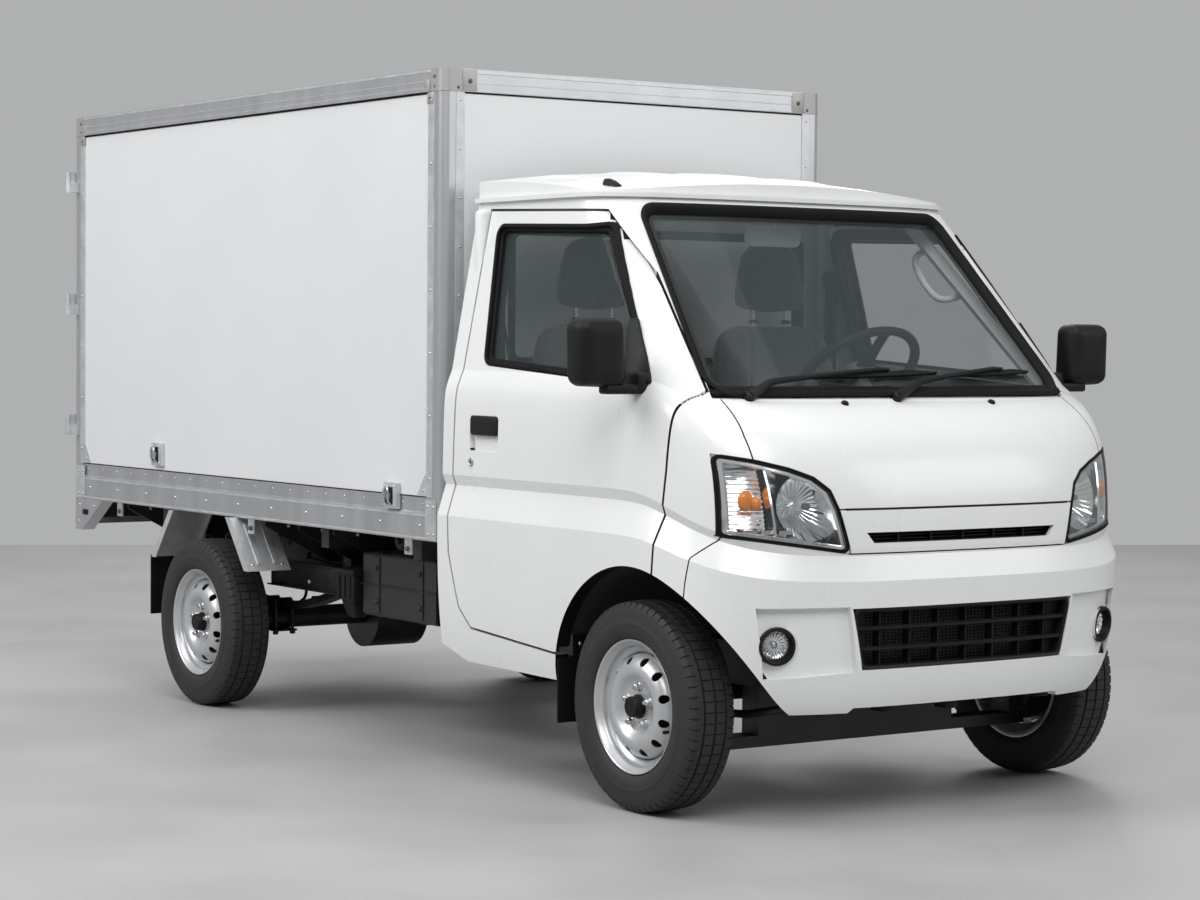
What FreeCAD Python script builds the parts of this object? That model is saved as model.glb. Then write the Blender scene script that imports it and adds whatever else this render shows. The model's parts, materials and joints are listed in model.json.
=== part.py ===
import FreeCAD, Part
import math
import os

V = FreeCAD.Vector

# Light cab-over van-body truck. Millimetres. The front faces -Y, +X is the
# vehicle's left and the wheels stand on z = 0.

# Whole vehicle
overall_length = 3930
wheelbase = 2425
front_overhang = 472

# Cab
cab_half_width = 735
cab_length = 1365
cab_top_height = 1560
screen_setback = 722
corner_depth = 465
cab_wall = 42
panel_groove = 3.5
groove_depth = 9
seam_fit = 0.3

# Wheels
tyre_radius = 267
tyre_width = 146
rim_flange_radius = 170
rim_seat_radius = 152
wheel_centre_x = 642
axle_pin_radius = 15
running_clearance = 0.08
arch_radius = 356
arch_lead = 17

# Cargo box
box_length = 2452
box_half_width = 673
box_height = 1323
box_floor_height = 615
box_wall = 40
post_width = 62

# Chassis
rail_spacing = 660
rail_height = 110
rail_width = 50
rail_low_height = 300
rail_rear_rise = 140

# Rear doors' lock rods and hinges, which end the vehicle
rear_gear_depth = 25

# Moving gaps
door_gap = 7
door_skin = 12
door_rebate = 12
clear = 6
overrun = 60

front_y = -overall_length / 2
rear_y = overall_length / 2
front_axle_y = front_y + front_overhang
rear_axle_y = front_axle_y + wheelbase
cab_rear_y = front_y + cab_length
box_rear_y = rear_y - rear_gear_depth
box_front_y = box_rear_y - box_length
box_top_height = box_floor_height + box_height


def box(x0, x1, y0, y1, z0, z1):
    return Part.makeBox(x1 - x0, y1 - y0, z1 - z0, V(x0, y0, z0))


def fuse(shapes):
    """One solid from pieces that touch or overlap."""
    first, rest = shapes[0], shapes[1:]
    return first.fuse(rest).removeSplitter() if rest else first


def group(shapes):
    """Pieces of one node that do not touch."""
    return Part.makeCompound([solid for shape in shapes for solid in shape.Solids])


def mirrored(shape):
    return shape.mirror(V(0, 0, 0), V(1, 0, 0))


def both_sides(shape):
    return group([shape, mirrored(shape)])


def rounded_box(x0, x1, y0, y1, z0, z1, radius, along):
    """A block with its four edges along one axis rounded."""
    block = box(x0, x1, y0, y1, z0, z1)
    edges = [e for e in block.Edges if abs(e.tangentAt(e.FirstParameter).dot(along)) > math.sqrt(0.5)]
    return block.makeFillet(radius, edges)


def prism_x(points, x0, x1):
    """A side-view outline of (y, z) points, pushed along X."""
    wire = Part.makePolygon([V(x0, y, z) for y, z in points + points[:1]])
    return Part.Face(wire).extrude(V(x1 - x0, 0, 0))


def prism_y(points, y0, y1):
    """A front-view outline of (x, z) points, pushed along Y."""
    wire = Part.makePolygon([V(x, y0, z) for x, z in points + points[:1]])
    return Part.Face(wire).extrude(V(0, y1 - y0, 0))


def cylinder_x(radius, x0, x1, y, z):
    return Part.makeCylinder(radius, x1 - x0, V(x0, y, z), V(1, 0, 0))


def cylinder_y(radius, y0, y1, x, z):
    return Part.makeCylinder(radius, y1 - y0, V(x, y0, z), V(0, 1, 0))


def cylinder_z(radius, z0, z1, x, y):
    return Part.makeCylinder(radius, z1 - z0, V(x, y, z0), V(0, 0, 1))


ring_flats = 60


def turned_x(profile):
    """A ring of narrow flats about the X axis, from (x, radius) points."""
    rings = []
    for k in range(ring_flats):
        angle = 2 * math.pi * k / ring_flats
        rings.append([V(x, -r * math.sin(angle), r * math.cos(angle)) for x, r in profile])
    faces = []
    for near, far in zip(rings, rings[1:] + rings[:1]):
        for i in range(len(profile)):
            corners = [near[i - 1], near[i], far[i], far[i - 1]]
            faces.append(Part.Face(Part.makePolygon(corners + corners[:1])))
    return closed_solid(faces)


def closed_solid(faces):
    """A solid from faces that close on each other."""
    shell = Part.makeShell(faces)
    shell.sewShape()
    solid = Part.makeSolid(shell)
    if solid.Volume < 0:
        solid.reverse()
    return solid


def grown(points, distance):
    """A closed outline moved outward, or inward if the distance is negative."""
    wire = Part.makePolygon([V(a, b, 0) for a, b in points + points[:1]])
    moved = wire.makeOffset2D(distance, join=2)
    return [(vertex.X, vertex.Y) for vertex in moved.OrderedVertexes]


# Cab skin: level curves from the bumper's lower edge to the windscreen's top.
# Each row gives shares of cab_top_height at the side and at the front, of
# cab_half_width, of screen_setback and of corner_depth.
level_shares = [
    (0.176, 0.176, 0.950, 0.050, 1.000),
    (0.222, 0.211, 0.990, 0.012, 1.000),
    (0.333, 0.288, 1.000, 0.000, 1.000),
    (0.449, 0.385, 1.000, 0.003, 1.000),
    (0.503, 0.424, 0.963, 0.030, 0.990),
    (0.521, 0.436, 0.978, 0.028, 0.990),
    (0.577, 0.500, 0.976, 0.030, 0.968),
    (0.631, 0.564, 0.974, 0.066, 0.925),
    (0.663, 0.606, 0.970, 0.118, 0.860),
    (0.680, 0.641, 0.963, 0.208, 0.731),
    (0.705, 0.663, 0.939, 0.312, 0.613),
    (1.000, 1.000, 0.823, 1.000, 0.366),
]
# Rows where one smooth band ends and the next begins.
crease_rows = [0, 3, 4, 5, 10, 11]
corner_squareness = 3.2
corner_steps = 9
side_pole_shares = [0.0, 0.4, 0.8, 1.0]


def clamped_knots(count, degree):
    inner = count - degree - 1
    return [degree + 1] + [1] * inner + [degree + 1], list(range(inner + 2))


def bspline_surface(rows, degree_u, degree_v):
    """A smooth sheet from rows of control points."""
    mults_u, knots_u = clamped_knots(len(rows[0]), degree_u)
    mults_v, knots_v = clamped_knots(len(rows), degree_v)
    poles = [[row[i] for row in rows] for i in range(len(rows[0]))]
    sheet = Part.BSplineSurface()
    sheet.buildFromPolesMultsKnots(
        poles, mults_u, mults_v, knots_u, knots_v, False, False, degree_u, degree_v
    )
    return sheet.toShape()


def bspline_edge(points, degree):
    mults, knots = clamped_knots(len(points), degree)
    curve = Part.BSplineCurve()
    curve.buildFromPolesMultsKnots(points, mults, knots, False, degree)
    return curve.toShape()


def level_curve(shares, inset, rear):
    """Control points round the cab at one level, from its right rear corner to the left."""
    side_share, front_share, half_share, setback_share, corner_share = shares
    z_side = cab_top_height * side_share
    z_front = cab_top_height * front_share
    half = cab_half_width * half_share - inset
    depth = corner_depth * corner_share - inset
    corner_y = front_y + screen_setback * setback_share + corner_depth * corner_share
    points = [V(-half, rear + (corner_y - rear) * share, z_side) for share in side_pole_shares[:-1]]
    for step in range(corner_steps + 1):
        angle = math.pi / 2 * step / corner_steps
        across, ahead = math.cos(angle), math.sin(angle)
        reach = (across ** corner_squareness + ahead ** corner_squareness) ** (-1 / corner_squareness)
        forward = ahead * reach
        ease = forward * forward * (3 - 2 * forward)
        z = z_side + (z_front - z_side) * ease
        points.append(V(-half * across * reach, corner_y - depth * forward, z))
    return points + [V(-p.x, p.y, p.z) for p in reversed(points[:-1])]


def cab_solid(inset=0, open_ends=0):
    """The cab's closed outer form, or one inset from it with its ends run out."""
    rear = cab_rear_y + open_ends
    rows = [level_curve(shares, inset, rear) for shares in level_shares]
    if open_ends:
        drop = V(0, 0, -open_ends)
        rows[0] = [p + drop for p in rows[0]]
    faces = []
    ends = []
    for low, high in zip(crease_rows, crease_rows[1:]):
        band = rows[low:high + 1]
        degree = min(3, len(band) - 1)
        faces.append(bspline_surface(band, 3, degree))
        ends.append([bspline_edge([row[0] for row in band], degree),
                     bspline_edge([row[-1] for row in band], degree)])
    bottom, top = rows[0], rows[-1]
    bottom_edge = bspline_edge(bottom, 3)
    top_edge = bspline_edge(top, 3)
    bottom_line = Part.makeLine(bottom[0], bottom[-1])
    top_line = Part.makeLine(top[0], top[-1])
    faces.append(Part.Face(Part.Wire([bottom_edge, bottom_line])))
    faces.append(Part.Face(Part.Wire([top_edge, top_line])))
    right_edges = [pair[0] for pair in ends]
    left_edges = [pair[1] for pair in ends]
    rim = Part.Wire(Part.__sortEdges__([bottom_line, top_line] + right_edges + left_edges))
    faces.append(Part.Face(rim))
    return closed_solid(faces)


def side_outline(shares):
    """(y, z) points from shares of the cab's length and of its height."""
    return [(front_y + cab_length * a, cab_top_height * b) for a, b in shares]


def front_outline(shares):
    """(x, z) points from shares of the cab's half width and of its height."""
    return [(cab_half_width * a, cab_top_height * b) for a, b in shares]


def symmetric(points):
    """A closed front-view outline from its right half, listed from the top centre down."""
    return points + [(-x, z) for x, z in reversed(points)]


# Panel outlines in side view: shares of cab_length from the front, and of cab_top_height.
door_shares = [
    (0.234, 0.711), (0.440, 0.872), (0.568, 0.974), (0.947, 0.984), (0.954, 0.705),
    (0.960, 0.476), (0.956, 0.385), (0.923, 0.292), (0.883, 0.259), (0.590, 0.240),
    (0.400, 0.256), (0.266, 0.380), (0.260, 0.437), (0.244, 0.556),
]
door_window_shares = [
    (0.307, 0.684), (0.541, 0.950), (0.917, 0.960), (0.884, 0.714),
]
nose_shares = [
    (-0.050, -0.050), (0.340, -0.050), (0.340, 0.380), (0.290, 0.709), (-0.050, 0.709),
]
bumper_side_shares = [
    (-0.050, 0.050), (0.196, 0.050), (0.190, 0.320), (0.182, 0.381), (0.173, 0.422),
    (0.136, 0.456), (0.136, 0.500), (-0.050, 0.500),
]
sill_cut_shares = [
    (0.420, 0.100), (0.420, 0.190), (0.914, 0.196), (1.010, 0.224), (1.010, 0.100),
]

# Panel outlines in front view: shares of cab_half_width and of cab_top_height.
windscreen_shares = [(-0.688, 0.981), (-0.806, 0.669)]
bonnet_shares = [
    (-0.781, 0.669), (-0.790, 0.637), (-0.795, 0.610), (-0.790, 0.576), (-0.684, 0.563),
    (-0.607, 0.549), (-0.554, 0.529), (-0.527, 0.498),
]
headlamp_shares = [
    (-0.897, 0.585), (-0.893, 0.456), (-0.486, 0.428), (-0.527, 0.498), (-0.554, 0.529),
    (-0.607, 0.549), (-0.684, 0.563), (-0.790, 0.576),
]
grille_shares = [(-0.527, 0.498), (-0.486, 0.428)]
slot_shares = [(-0.426, 0.461), (-0.397, 0.444)]
bumper_front_shares = [
    (-1.100, 0.050), (-1.100, 0.461), (-0.893, 0.456), (-0.486, 0.428),
]
lower_grille_shares = [(-0.497, 0.343), (-0.450, 0.245)]
fog_pocket_shares = [(-0.816, 0.346), (-0.506, 0.346), (-0.469, 0.243), (-0.782, 0.234)]
lip_notch_shares = [(-0.460, 0.184), (-0.490, 0.170)]
rear_window_shares = [(-0.700, 0.955), (-0.700, 0.718)]

window_corner = 34
screen_corner = 50
glass_depth = 16
glass_thickness = 5
seal_width = 20
seal_proud = 2.5
lamp_depth = 105
lamp_wall = 6
lens_thickness = 5
pocket_depth = 16
fog_radius = 46
fog_x_share = 0.738
fog_z_share = 0.286
fog_depth = 28
lamp_reach = 285
fog_lens_setback = 8

pillar_inner_shares = [(-0.816, 0.600), (-0.816, 0.667), (-0.721, 1.020)]

nose_reach = front_y - overrun
screen_zone_depth = 500
pillar_reach = cab_rear_y - screen_zone_depth


def rounded_prism_x(points, x0, x1, radius):
    body = prism_x(points, x0, x1)
    edges = [e for e in body.Edges if e.BoundBox.XLength > (x1 - x0) / 2]
    return body.makeFillet(radius, edges)


def rounded_prism_y(points, y0, y1, radius):
    body = prism_y(points, y0, y1)
    edges = [e for e in body.Edges if e.BoundBox.YLength > (y1 - y0) / 2]
    return body.makeFillet(radius, edges)


# Shared cab forms
cab_outer = cab_solid()
cab_inner = cab_solid(cab_wall, overrun)
cab_seat_inner = cab_solid(cab_wall + seam_fit, overrun)
cab_skin = cab_outer.cut(cab_inner)

side_reach = cab_half_width + overrun
right_reach = -side_reach

door_points = side_outline(door_shares)
window_points = side_outline(door_window_shares)
windscreen_points = symmetric(front_outline(windscreen_shares))
nose_prism = prism_x(side_outline(nose_shares), right_reach, side_reach)
arch_centre_y = front_axle_y - arch_lead
arch_inner_x = rail_spacing / 2 + rail_width / 2 + clear
arch_void = cylinder_x(arch_radius, right_reach, -arch_inner_x, arch_centre_y, tyre_radius)
arch_both = both_sides(arch_void)


def door_form(growth):
    """The right door's outline pushed through the side of the cab, ending at the windscreen pillar."""
    low, middle, high = front_outline(pillar_inner_shares)
    side = [low, middle, high, (right_reach, high[1]), (right_reach, -overrun), (low[0], -overrun)]
    inner = prism_y(grown(side, growth), nose_reach, cab_rear_y + overrun)
    return prism_x(grown(door_points, growth), right_reach, 0).common(inner)


def layer(outer_inset, inner_inset):
    """The shell between two insets of the cab's form."""
    outer = cab_solid(outer_inset) if outer_inset else cab_outer
    return outer.cut(cab_solid(inner_inset, overrun))


# Cab panels
def seam_band(points, axis_prism, low, high):
    """The thin band of a panel seam, along one outline."""
    return axis_prism(grown(points, panel_groove / 2), low, high).cut(
        axis_prism(grown(points, -panel_groove / 2), low, high))


def build_front():
    """Bonnet, lamps, grille panel, bumper and fenders, cut from the nose."""
    skin_face = layer(0, groove_depth)
    bonnet_prism = prism_y(symmetric(front_outline(bonnet_shares)), nose_reach, front_axle_y)
    lamp_points = front_outline(headlamp_shares)
    grille_points = symmetric(front_outline(grille_shares))
    bumper_points = symmetric(front_outline(bumper_front_shares))
    bumper_prism = prism_y(bumper_points, nose_reach, cab_rear_y).common(
        prism_x(side_outline(bumper_side_shares), right_reach, side_reach))

    door_hole = both_sides(door_form(door_gap))
    nose = cab_skin.common(nose_prism).cut(arch_both).cut(door_hole)
    nose = nose.cut(prism_y(windscreen_points, nose_reach, pillar_reach))
    lamp_prism = both_sides(prism_y(lamp_points, nose_reach, front_axle_y))
    nose = nose.cut(lamp_prism)
    bumper = nose.common(bumper_prism)
    nose = nose.cut(bumper_prism)
    bonnet = nose.common(bonnet_prism)
    nose = nose.cut(bonnet_prism)
    grille_prism = prism_y(grille_points, nose_reach, front_axle_y)
    grille = nose.common(grille_prism)
    fenders = nose.cut(grille_prism)

    grooves = [
        seam_band(symmetric(front_outline(bonnet_shares)), prism_y, nose_reach, front_axle_y),
        seam_band(grille_points, prism_y, nose_reach, front_axle_y),
        bumper_seam(),
    ]
    seams = skin_face.common(fuse(grooves))
    right_fender = group([solid for solid in fenders.cut(seams).Solids if solid.CenterOfMass.x < 0])
    return bonnet.cut(seams), grille.cut(seams), bumper.cut(seams), both_sides(right_fender)


def bumper_seam():
    """The seam between bumper and fender, all round the bumper's upper edge."""
    half = panel_groove / 2
    front_points = symmetric(front_outline(bumper_front_shares))
    side_points = side_outline(bumper_side_shares)
    wide, narrow = [
        prism_y(grown(front_points, growth), nose_reach, cab_rear_y).common(
            prism_x(grown(side_points, growth), right_reach, side_reach))
        for growth in (half, -half)
    ]
    return wide.cut(narrow)


def build_cab_frame():
    """Pillars, header, quarter strips and sills: the rigid ring round both doors."""
    windscreen_hole = rounded_prism_y(windscreen_points, nose_reach, pillar_reach, screen_corner)
    door_hole = both_sides(door_form(door_gap))
    sill_cut = prism_x(side_outline(sill_cut_shares), right_reach, side_reach)
    frame = cab_skin.cut(nose_prism).cut(windscreen_hole).cut(arch_both)
    return frame.cut(door_hole).cut(sill_cut)


handle_length = 142
handle_height = 54
handle_recess_depth = 14
handle_recess_height = 96
handle_setback = 208
handle_y = cab_rear_y - handle_setback
handle_top_z = 978
handle_proud = 5
handle_corner = 12
lock_radius = 9
lock_setback = 147
lock_y = cab_rear_y - lock_setback
lock_z = 851
mirror_height = 165
mirror_width = 128
mirror_thickness = 74
mirror_corner = 26
mirror_setback = 425
mirror_y = front_y + mirror_setback
mirror_base_z = 1075
mirror_gap = 34
mirror_arm_height = 44
mirror_plate_thickness = 14
mirror_plate_shares = [(0.305, 0.684), (0.303, 0.708), (0.346, 0.752), (0.378, 0.752), (0.378, 0.689)]


def build_door():
    """The right door's slab, with its window, its share of the wheel arch and a handle recess."""
    ring = door_form(overrun).cut(door_form(-door_rebate))
    slab = cab_skin.common(door_form(0)).cut(ring.common(cab_solid(door_skin, overrun)))
    slab = slab.cut(rounded_prism_x(window_points, right_reach, 0, window_corner))
    slab = slab.cut(arch_void)
    recess_zone = rounded_box(right_reach, 0, handle_y - handle_length / 2, handle_y + handle_length / 2,
                              handle_top_z - handle_recess_height, handle_top_z, handle_corner, V(1, 0, 0))
    recess = recess_zone.common(layer(0, handle_recess_depth))
    lock_hole = cylinder_x(lock_radius + seam_fit, right_reach, 0, lock_y, lock_z).common(
        layer(0, handle_recess_depth))
    return slab.cut(recess).cut(lock_hole)


def build_door_glass():
    pane = grown(window_points, -seam_fit)
    return layer(glass_depth, glass_depth + glass_thickness).common(
        rounded_prism_x(pane, right_reach, 0, window_corner))


def build_door_fittings():
    """Window seal, mirror on its triangular base, flap handle and key cylinder."""
    inner = rounded_prism_x(grown(window_points, -seal_width), right_reach, 0, window_corner)
    hole = rounded_prism_x(grown(window_points, -seam_fit), right_reach, 0, window_corner)
    seal = layer(0, glass_depth - seam_fit).common(hole).cut(inner)
    handle_low = handle_top_z - handle_height
    flap = rounded_box(right_reach, 0, handle_y - handle_length / 2 + seam_fit,
                       handle_y + handle_length / 2 - seam_fit,
                       handle_low, handle_top_z - seam_fit, handle_corner, V(1, 0, 0))
    flap = flap.common(layer(-handle_proud, handle_recess_depth - seam_fit))
    lock = cylinder_x(lock_radius, right_reach, 0, lock_y, lock_z).common(
        layer(-seal_proud, handle_recess_depth - seam_fit))
    plate = layer(-mirror_plate_thickness, -seam_fit).common(
        prism_x(side_outline(mirror_plate_shares), right_reach, 0))
    head_inner = -cab_half_width - mirror_gap
    head = rounded_box(head_inner - mirror_width, head_inner, mirror_y, mirror_y + mirror_thickness,
                       mirror_base_z, mirror_base_z + mirror_height, mirror_corner, V(0, 1, 0))
    arm = rounded_box(head_inner - mirror_corner, -cab_half_width + 4 * mirror_plate_thickness,
                      mirror_y + mirror_thickness / 4, mirror_y + mirror_thickness * 3 / 4,
                      mirror_base_z + seal_proud, mirror_base_z + mirror_arm_height,
                      handle_corner, V(1, 0, 0))
    return group([seal, flap, lock, fuse([plate, arm.cut(cab_solid(-seam_fit)), head])])


roof_rise = 105
roof_camber = 48
roof_overhang = 8
roof_thickness = 26
drip_rail_width = 14
drip_rail_height = 12
roof_block_depth = 400
roof_rise_shares = [(-0.1, 0.38), (0.15, 0.62), (0.45, 0.84), (0.75, 0.96), (1.0, 1.0)]
roof_camber_shares = [(-0.95, 1.25), (-0.5, 0.2), (0.0, -0.05), (0.5, 0.2), (0.95, 1.25)]


def roof_sheet(lift=0):
    """Control rows of the roof's crown, front to rear."""
    rows = []
    depth = cab_length - screen_setback + roof_overhang
    for y_share, rise_share in roof_rise_shares:
        y = cab_rear_y + roof_overhang - depth * (1 - y_share)
        rows.append([V(cab_half_width * x_share, y,
                       cab_top_height + lift + roof_rise * rise_share - roof_camber * drop_share)
                     for x_share, drop_share in roof_camber_shares])
    return bspline_surface(rows, 3, 3)


def roof_outline(margin, low, high):
    """The cab's top outline with a margin, pushed up between two heights."""
    level = level_curve(level_shares[-1], -margin, cab_rear_y)
    drop = V(0, 0, low - cab_top_height)
    face = Part.Face(Part.Wire([bspline_edge(level, 3), Part.makeLine(level[-1], level[0])]))
    face.translate(drop)
    return face.extrude(V(0, 0, high - low))


def build_roof():
    """Crowned roof skin with lengthwise ribs, resting on a drip rail round the cab's top."""
    under = V(0, 0, -roof_block_depth)
    high = cab_top_height + roof_block_depth
    cap = roof_outline(0, cab_top_height, high).common(roof_sheet().extrude(under))
    hollow = roof_outline(-cab_wall, cab_top_height - overrun, high).common(
        roof_sheet(-roof_thickness).extrude(under))
    rail = roof_outline(drip_rail_width, cab_top_height, cab_top_height + drip_rail_height)
    rail = rail.cut(roof_outline(-cab_wall, cab_top_height - overrun, high))
    return fuse([cap.cut(hollow), rail])


panel_thickness = 22
floor_top_z = 452
floor_thickness = 32
firewall_thickness = 28
firewall_lead = 128
firewall_y = front_axle_y - firewall_lead
firewall_top_z = 905
riser_height = 262
riser_half_width = 560
riser_length = 590
riser_front_y = cab_rear_y - riser_length
riser_wall = 12


def build_back_panel():
    """Rear wall of the cab, with its window opening."""
    slab = box(-side_reach, side_reach, cab_rear_y - panel_thickness, cab_rear_y,
               floor_top_z + seam_fit, cab_top_height + overrun)
    wall = cab_seat_inner.common(slab)
    hole = rounded_prism_y(symmetric(front_outline(rear_window_shares)), pillar_reach,
                           cab_rear_y + overrun, window_corner)
    return wall.cut(hole)


def build_cab_windows():
    """Windscreen and rear window panes with their black surrounds left as one sheet each."""
    pane = rounded_prism_y(grown(windscreen_points, -seam_fit), nose_reach, pillar_reach, screen_corner)
    windscreen = layer(glass_depth, glass_depth + glass_thickness).common(pane)
    rear_points = grown(symmetric(front_outline(rear_window_shares)), -seam_fit)
    middle = cab_rear_y - panel_thickness / 2
    rear = rounded_prism_y(rear_points, middle - glass_thickness / 2, middle + glass_thickness / 2,
                           window_corner)
    return group([windscreen, rear])


def build_cab_floor():
    """Floor pan, front bulkhead and seat riser, pressed as one tub between the sills."""
    low = floor_top_z - floor_thickness
    pan = box(-side_reach, side_reach, firewall_y, cab_rear_y, low, floor_top_z)
    bulkhead = box(-side_reach, side_reach, firewall_y - firewall_thickness, firewall_y, low, firewall_top_z)
    riser = box(-riser_half_width, riser_half_width, riser_front_y, cab_rear_y - panel_thickness - clear,
                floor_top_z, floor_top_z + riser_height)
    inside = box(-riser_half_width + riser_wall, riser_half_width - riser_wall, riser_front_y + riser_wall,
                 cab_rear_y - panel_thickness - clear - riser_wall, low - overrun,
                 floor_top_z + riser_height - riser_wall)
    tub = fuse([pan, bulkhead, riser]).cut(inside).common(cab_seat_inner)
    wheelhouse = both_sides(cylinder_x(arch_radius + clear, right_reach, -arch_inner_x, arch_centre_y,
                                       tyre_radius))
    liner = both_sides(cylinder_x(arch_radius + clear + riser_wall, right_reach, -arch_inner_x + riser_wall,
                                  arch_centre_y, tyre_radius)).common(cab_seat_inner)
    liner = liner.cut(box(-side_reach, side_reach, nose_reach, pillar_reach + wheelbase, -overrun, low))
    return fuse([tub, liner]).cut(wheelhouse)


seat_x = 310
seat_width = 450
seat_depth = 460
cushion_height = 120
seat_gap = 0.3
seat_overhang = 10
seat_front_y = riser_front_y - seat_overhang
back_height = 410
back_thickness = 120
back_lean_share = 0.16
headrest_width = 250
headrest_height = 205
headrest_thickness = 95
headrest_stem_radius = 7
headrest_stem_gap = 25
headrest_stem_pitch = 120
soft_corner = 40


def seat_at(shape_maker):
    return group([shape_maker(-seat_x), shape_maker(seat_x)])


def cushion(x):
    z = floor_top_z + riser_height + seat_gap
    return rounded_box(x - seat_width / 2, x + seat_width / 2, seat_front_y, seat_front_y + seat_depth,
                       z, z + cushion_height, soft_corner, V(0, 1, 0))


def seat_back(x):
    """Leaning backrest with its headrest on two stems."""
    foot_y = seat_front_y + seat_depth - back_thickness + soft_corner
    z = floor_top_z + riser_height + cushion_height + 2 * seat_gap
    lean = back_lean_share * back_height
    outline = [(foot_y - soft_corner, z), (foot_y + back_thickness - soft_corner, z),
               (foot_y + back_thickness - soft_corner + lean, z + back_height),
               (foot_y - soft_corner + lean, z + back_height)]
    body = prism_x(outline, x - seat_width / 2, x + seat_width / 2)
    corners = [e for e in body.Edges if e.BoundBox.XLength < soft_corner and e.BoundBox.ZLength > soft_corner]
    body = body.makeFillet(soft_corner, corners)
    head_z = z + back_height + headrest_stem_gap
    head_y = foot_y - soft_corner + lean + back_thickness / 2
    head = rounded_box(x - headrest_width / 2, x + headrest_width / 2, head_y - headrest_thickness / 2,
                       head_y + headrest_thickness / 2, head_z, head_z + headrest_height, soft_corner,
                       V(0, 1, 0))
    stems = [cylinder_z(headrest_stem_radius, z + back_height - soft_corner, head_z + soft_corner,
                        x + side * headrest_stem_pitch / 2, head_y) for side in (-1, 1)]
    return fuse([body, head] + stems)


dash_top_z = 985
dash_bottom_z = 790
dash_depth = 250
dash_rear_y = firewall_y + dash_depth
dash_shares = [(0.0, 0.0), (0.0, 1.0), (0.55, 1.0), (0.9, 0.82), (1.0, 0.45), (0.72, 0.0)]
hood_radius = 78
hood_length = 170
wheel_x = 310
column_angle = math.radians(47)
steering_radius = 183
steering_tube = 15
steering_setback = 372
steering_y = front_axle_y + steering_setback
steering_z = 1103
column_radius = 26
column_length = 420
hub_radius = 52
hub_depth = 46
spoke_width = 40
spoke_thickness = 16
grip_flats = 8
half_step_share = 0.5


def build_dashboard():
    """Dashboard moulding with the instrument hood and the steering column under it."""
    depth, height = dash_rear_y - firewall_y, dash_top_z - dash_bottom_z
    outline = [(firewall_y + depth * a, dash_bottom_z + height * b) for a, b in dash_shares]
    body = prism_x(outline, -side_reach, side_reach).common(cab_seat_inner)
    body = body.cut(box(-side_reach, side_reach, nose_reach, firewall_y, -overrun, firewall_top_z))
    hood = cylinder_y(hood_radius, dash_rear_y - hood_length - clear, dash_rear_y - clear, wheel_x,
                      dash_top_z - clear)
    axis = V(0, math.cos(column_angle), math.sin(column_angle))
    centre = V(wheel_x, steering_y, steering_z)
    start = centre - axis * (column_length + hub_depth)
    column = Part.makeCylinder(column_radius, column_length - seam_fit, start, axis)
    return fuse([body, hood, column]).cut(door_keepout())


def door_keepout():
    """The room that the doors' inner faces need beside the fixed trim."""
    reach = box(-side_reach, side_reach, nose_reach, cab_rear_y + overrun, 0, cab_top_height)
    return reach.cut(cab_solid(cab_wall + clear, overrun))


def build_steering_wheel():
    """Rim, three spokes and hub, in the tilted plane of the column."""
    axis = V(0, math.cos(column_angle), math.sin(column_angle))
    centre = V(wheel_x, steering_y, steering_z)
    section = []
    for k in range(grip_flats):
        angle = 2 * math.pi * (k + half_step_share) / grip_flats
        section.append((steering_tube * math.cos(angle), steering_radius + steering_tube * math.sin(angle)))
    rim = turned_x(section)
    rim.rotate(V(0, 0, 0), V(0, 1, 0), -90)
    hub = cylinder_z(hub_radius, -hub_depth, 0, 0, 0)
    spokes = []
    for turn in (0, 90, 180):
        spoke = box(0, steering_radius, -spoke_width / 2, spoke_width / 2,
                    -hub_depth / 2, -hub_depth / 2 + spoke_thickness)
        spoke.rotate(V(0, 0, 0), V(0, 0, 1), turn)
        spokes.append(spoke)
    rim.translate(V(0, 0, -hub_depth / 2 + spoke_thickness / 2))
    wheel = fuse([rim, hub] + spokes)
    wheel.rotate(V(0, 0, 0), V(1, 0, 0), math.degrees(column_angle) - 90)
    wheel.translate(centre)
    return wheel


# Lamps and grilles
grille_bar_count = 2
grille_post_count = 7
grille_bar = 11
grille_post = 5
grille_frame = 12
grille_depth = 34
grille_setback = 10
slot_cells = 6
wiper_arm = 9
wiper_pivot_shares = [(-0.600, 0.672), (0.040, 0.672)]
wiper_tip_shares = [(-0.010, 0.684), (0.560, 0.684)]
blade_height = 26
blade_width = 12
cowl_height = 26


def build_front_lamps():
    """Headlamp buckets and fog lamp cans, open to the front."""
    points = front_outline(headlamp_shares)
    pocket = prism_y(grown(points, -seam_fit), nose_reach, front_y + lamp_reach)
    hollow = prism_y(grown(points, -lamp_wall - seam_fit), nose_reach, front_y + lamp_reach)
    rind = layer(lens_thickness + seam_fit, lamp_depth)
    inner = layer(0, lamp_depth - lamp_wall)
    bucket = rind.common(pocket).cut(inner.common(hollow))
    x, z = -cab_half_width * fog_x_share, cab_top_height * fog_z_share
    can = cylinder_y(fog_radius - seam_fit, nose_reach, front_y + lamp_reach, x, z).common(
        layer(pocket_depth - clear, pocket_depth + fog_depth))
    can = can.cut(cylinder_y(fog_radius - lamp_wall, nose_reach, front_y + lamp_reach, x, z).common(
        layer(0, pocket_depth + fog_depth - lamp_wall)))
    wheelhouse = cylinder_x(arch_radius + clear + riser_wall + seam_fit, right_reach, 0,
                            arch_centre_y, tyre_radius)
    return both_sides(group([bucket.cut(wheelhouse), can.cut(wheelhouse)]))


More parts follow.
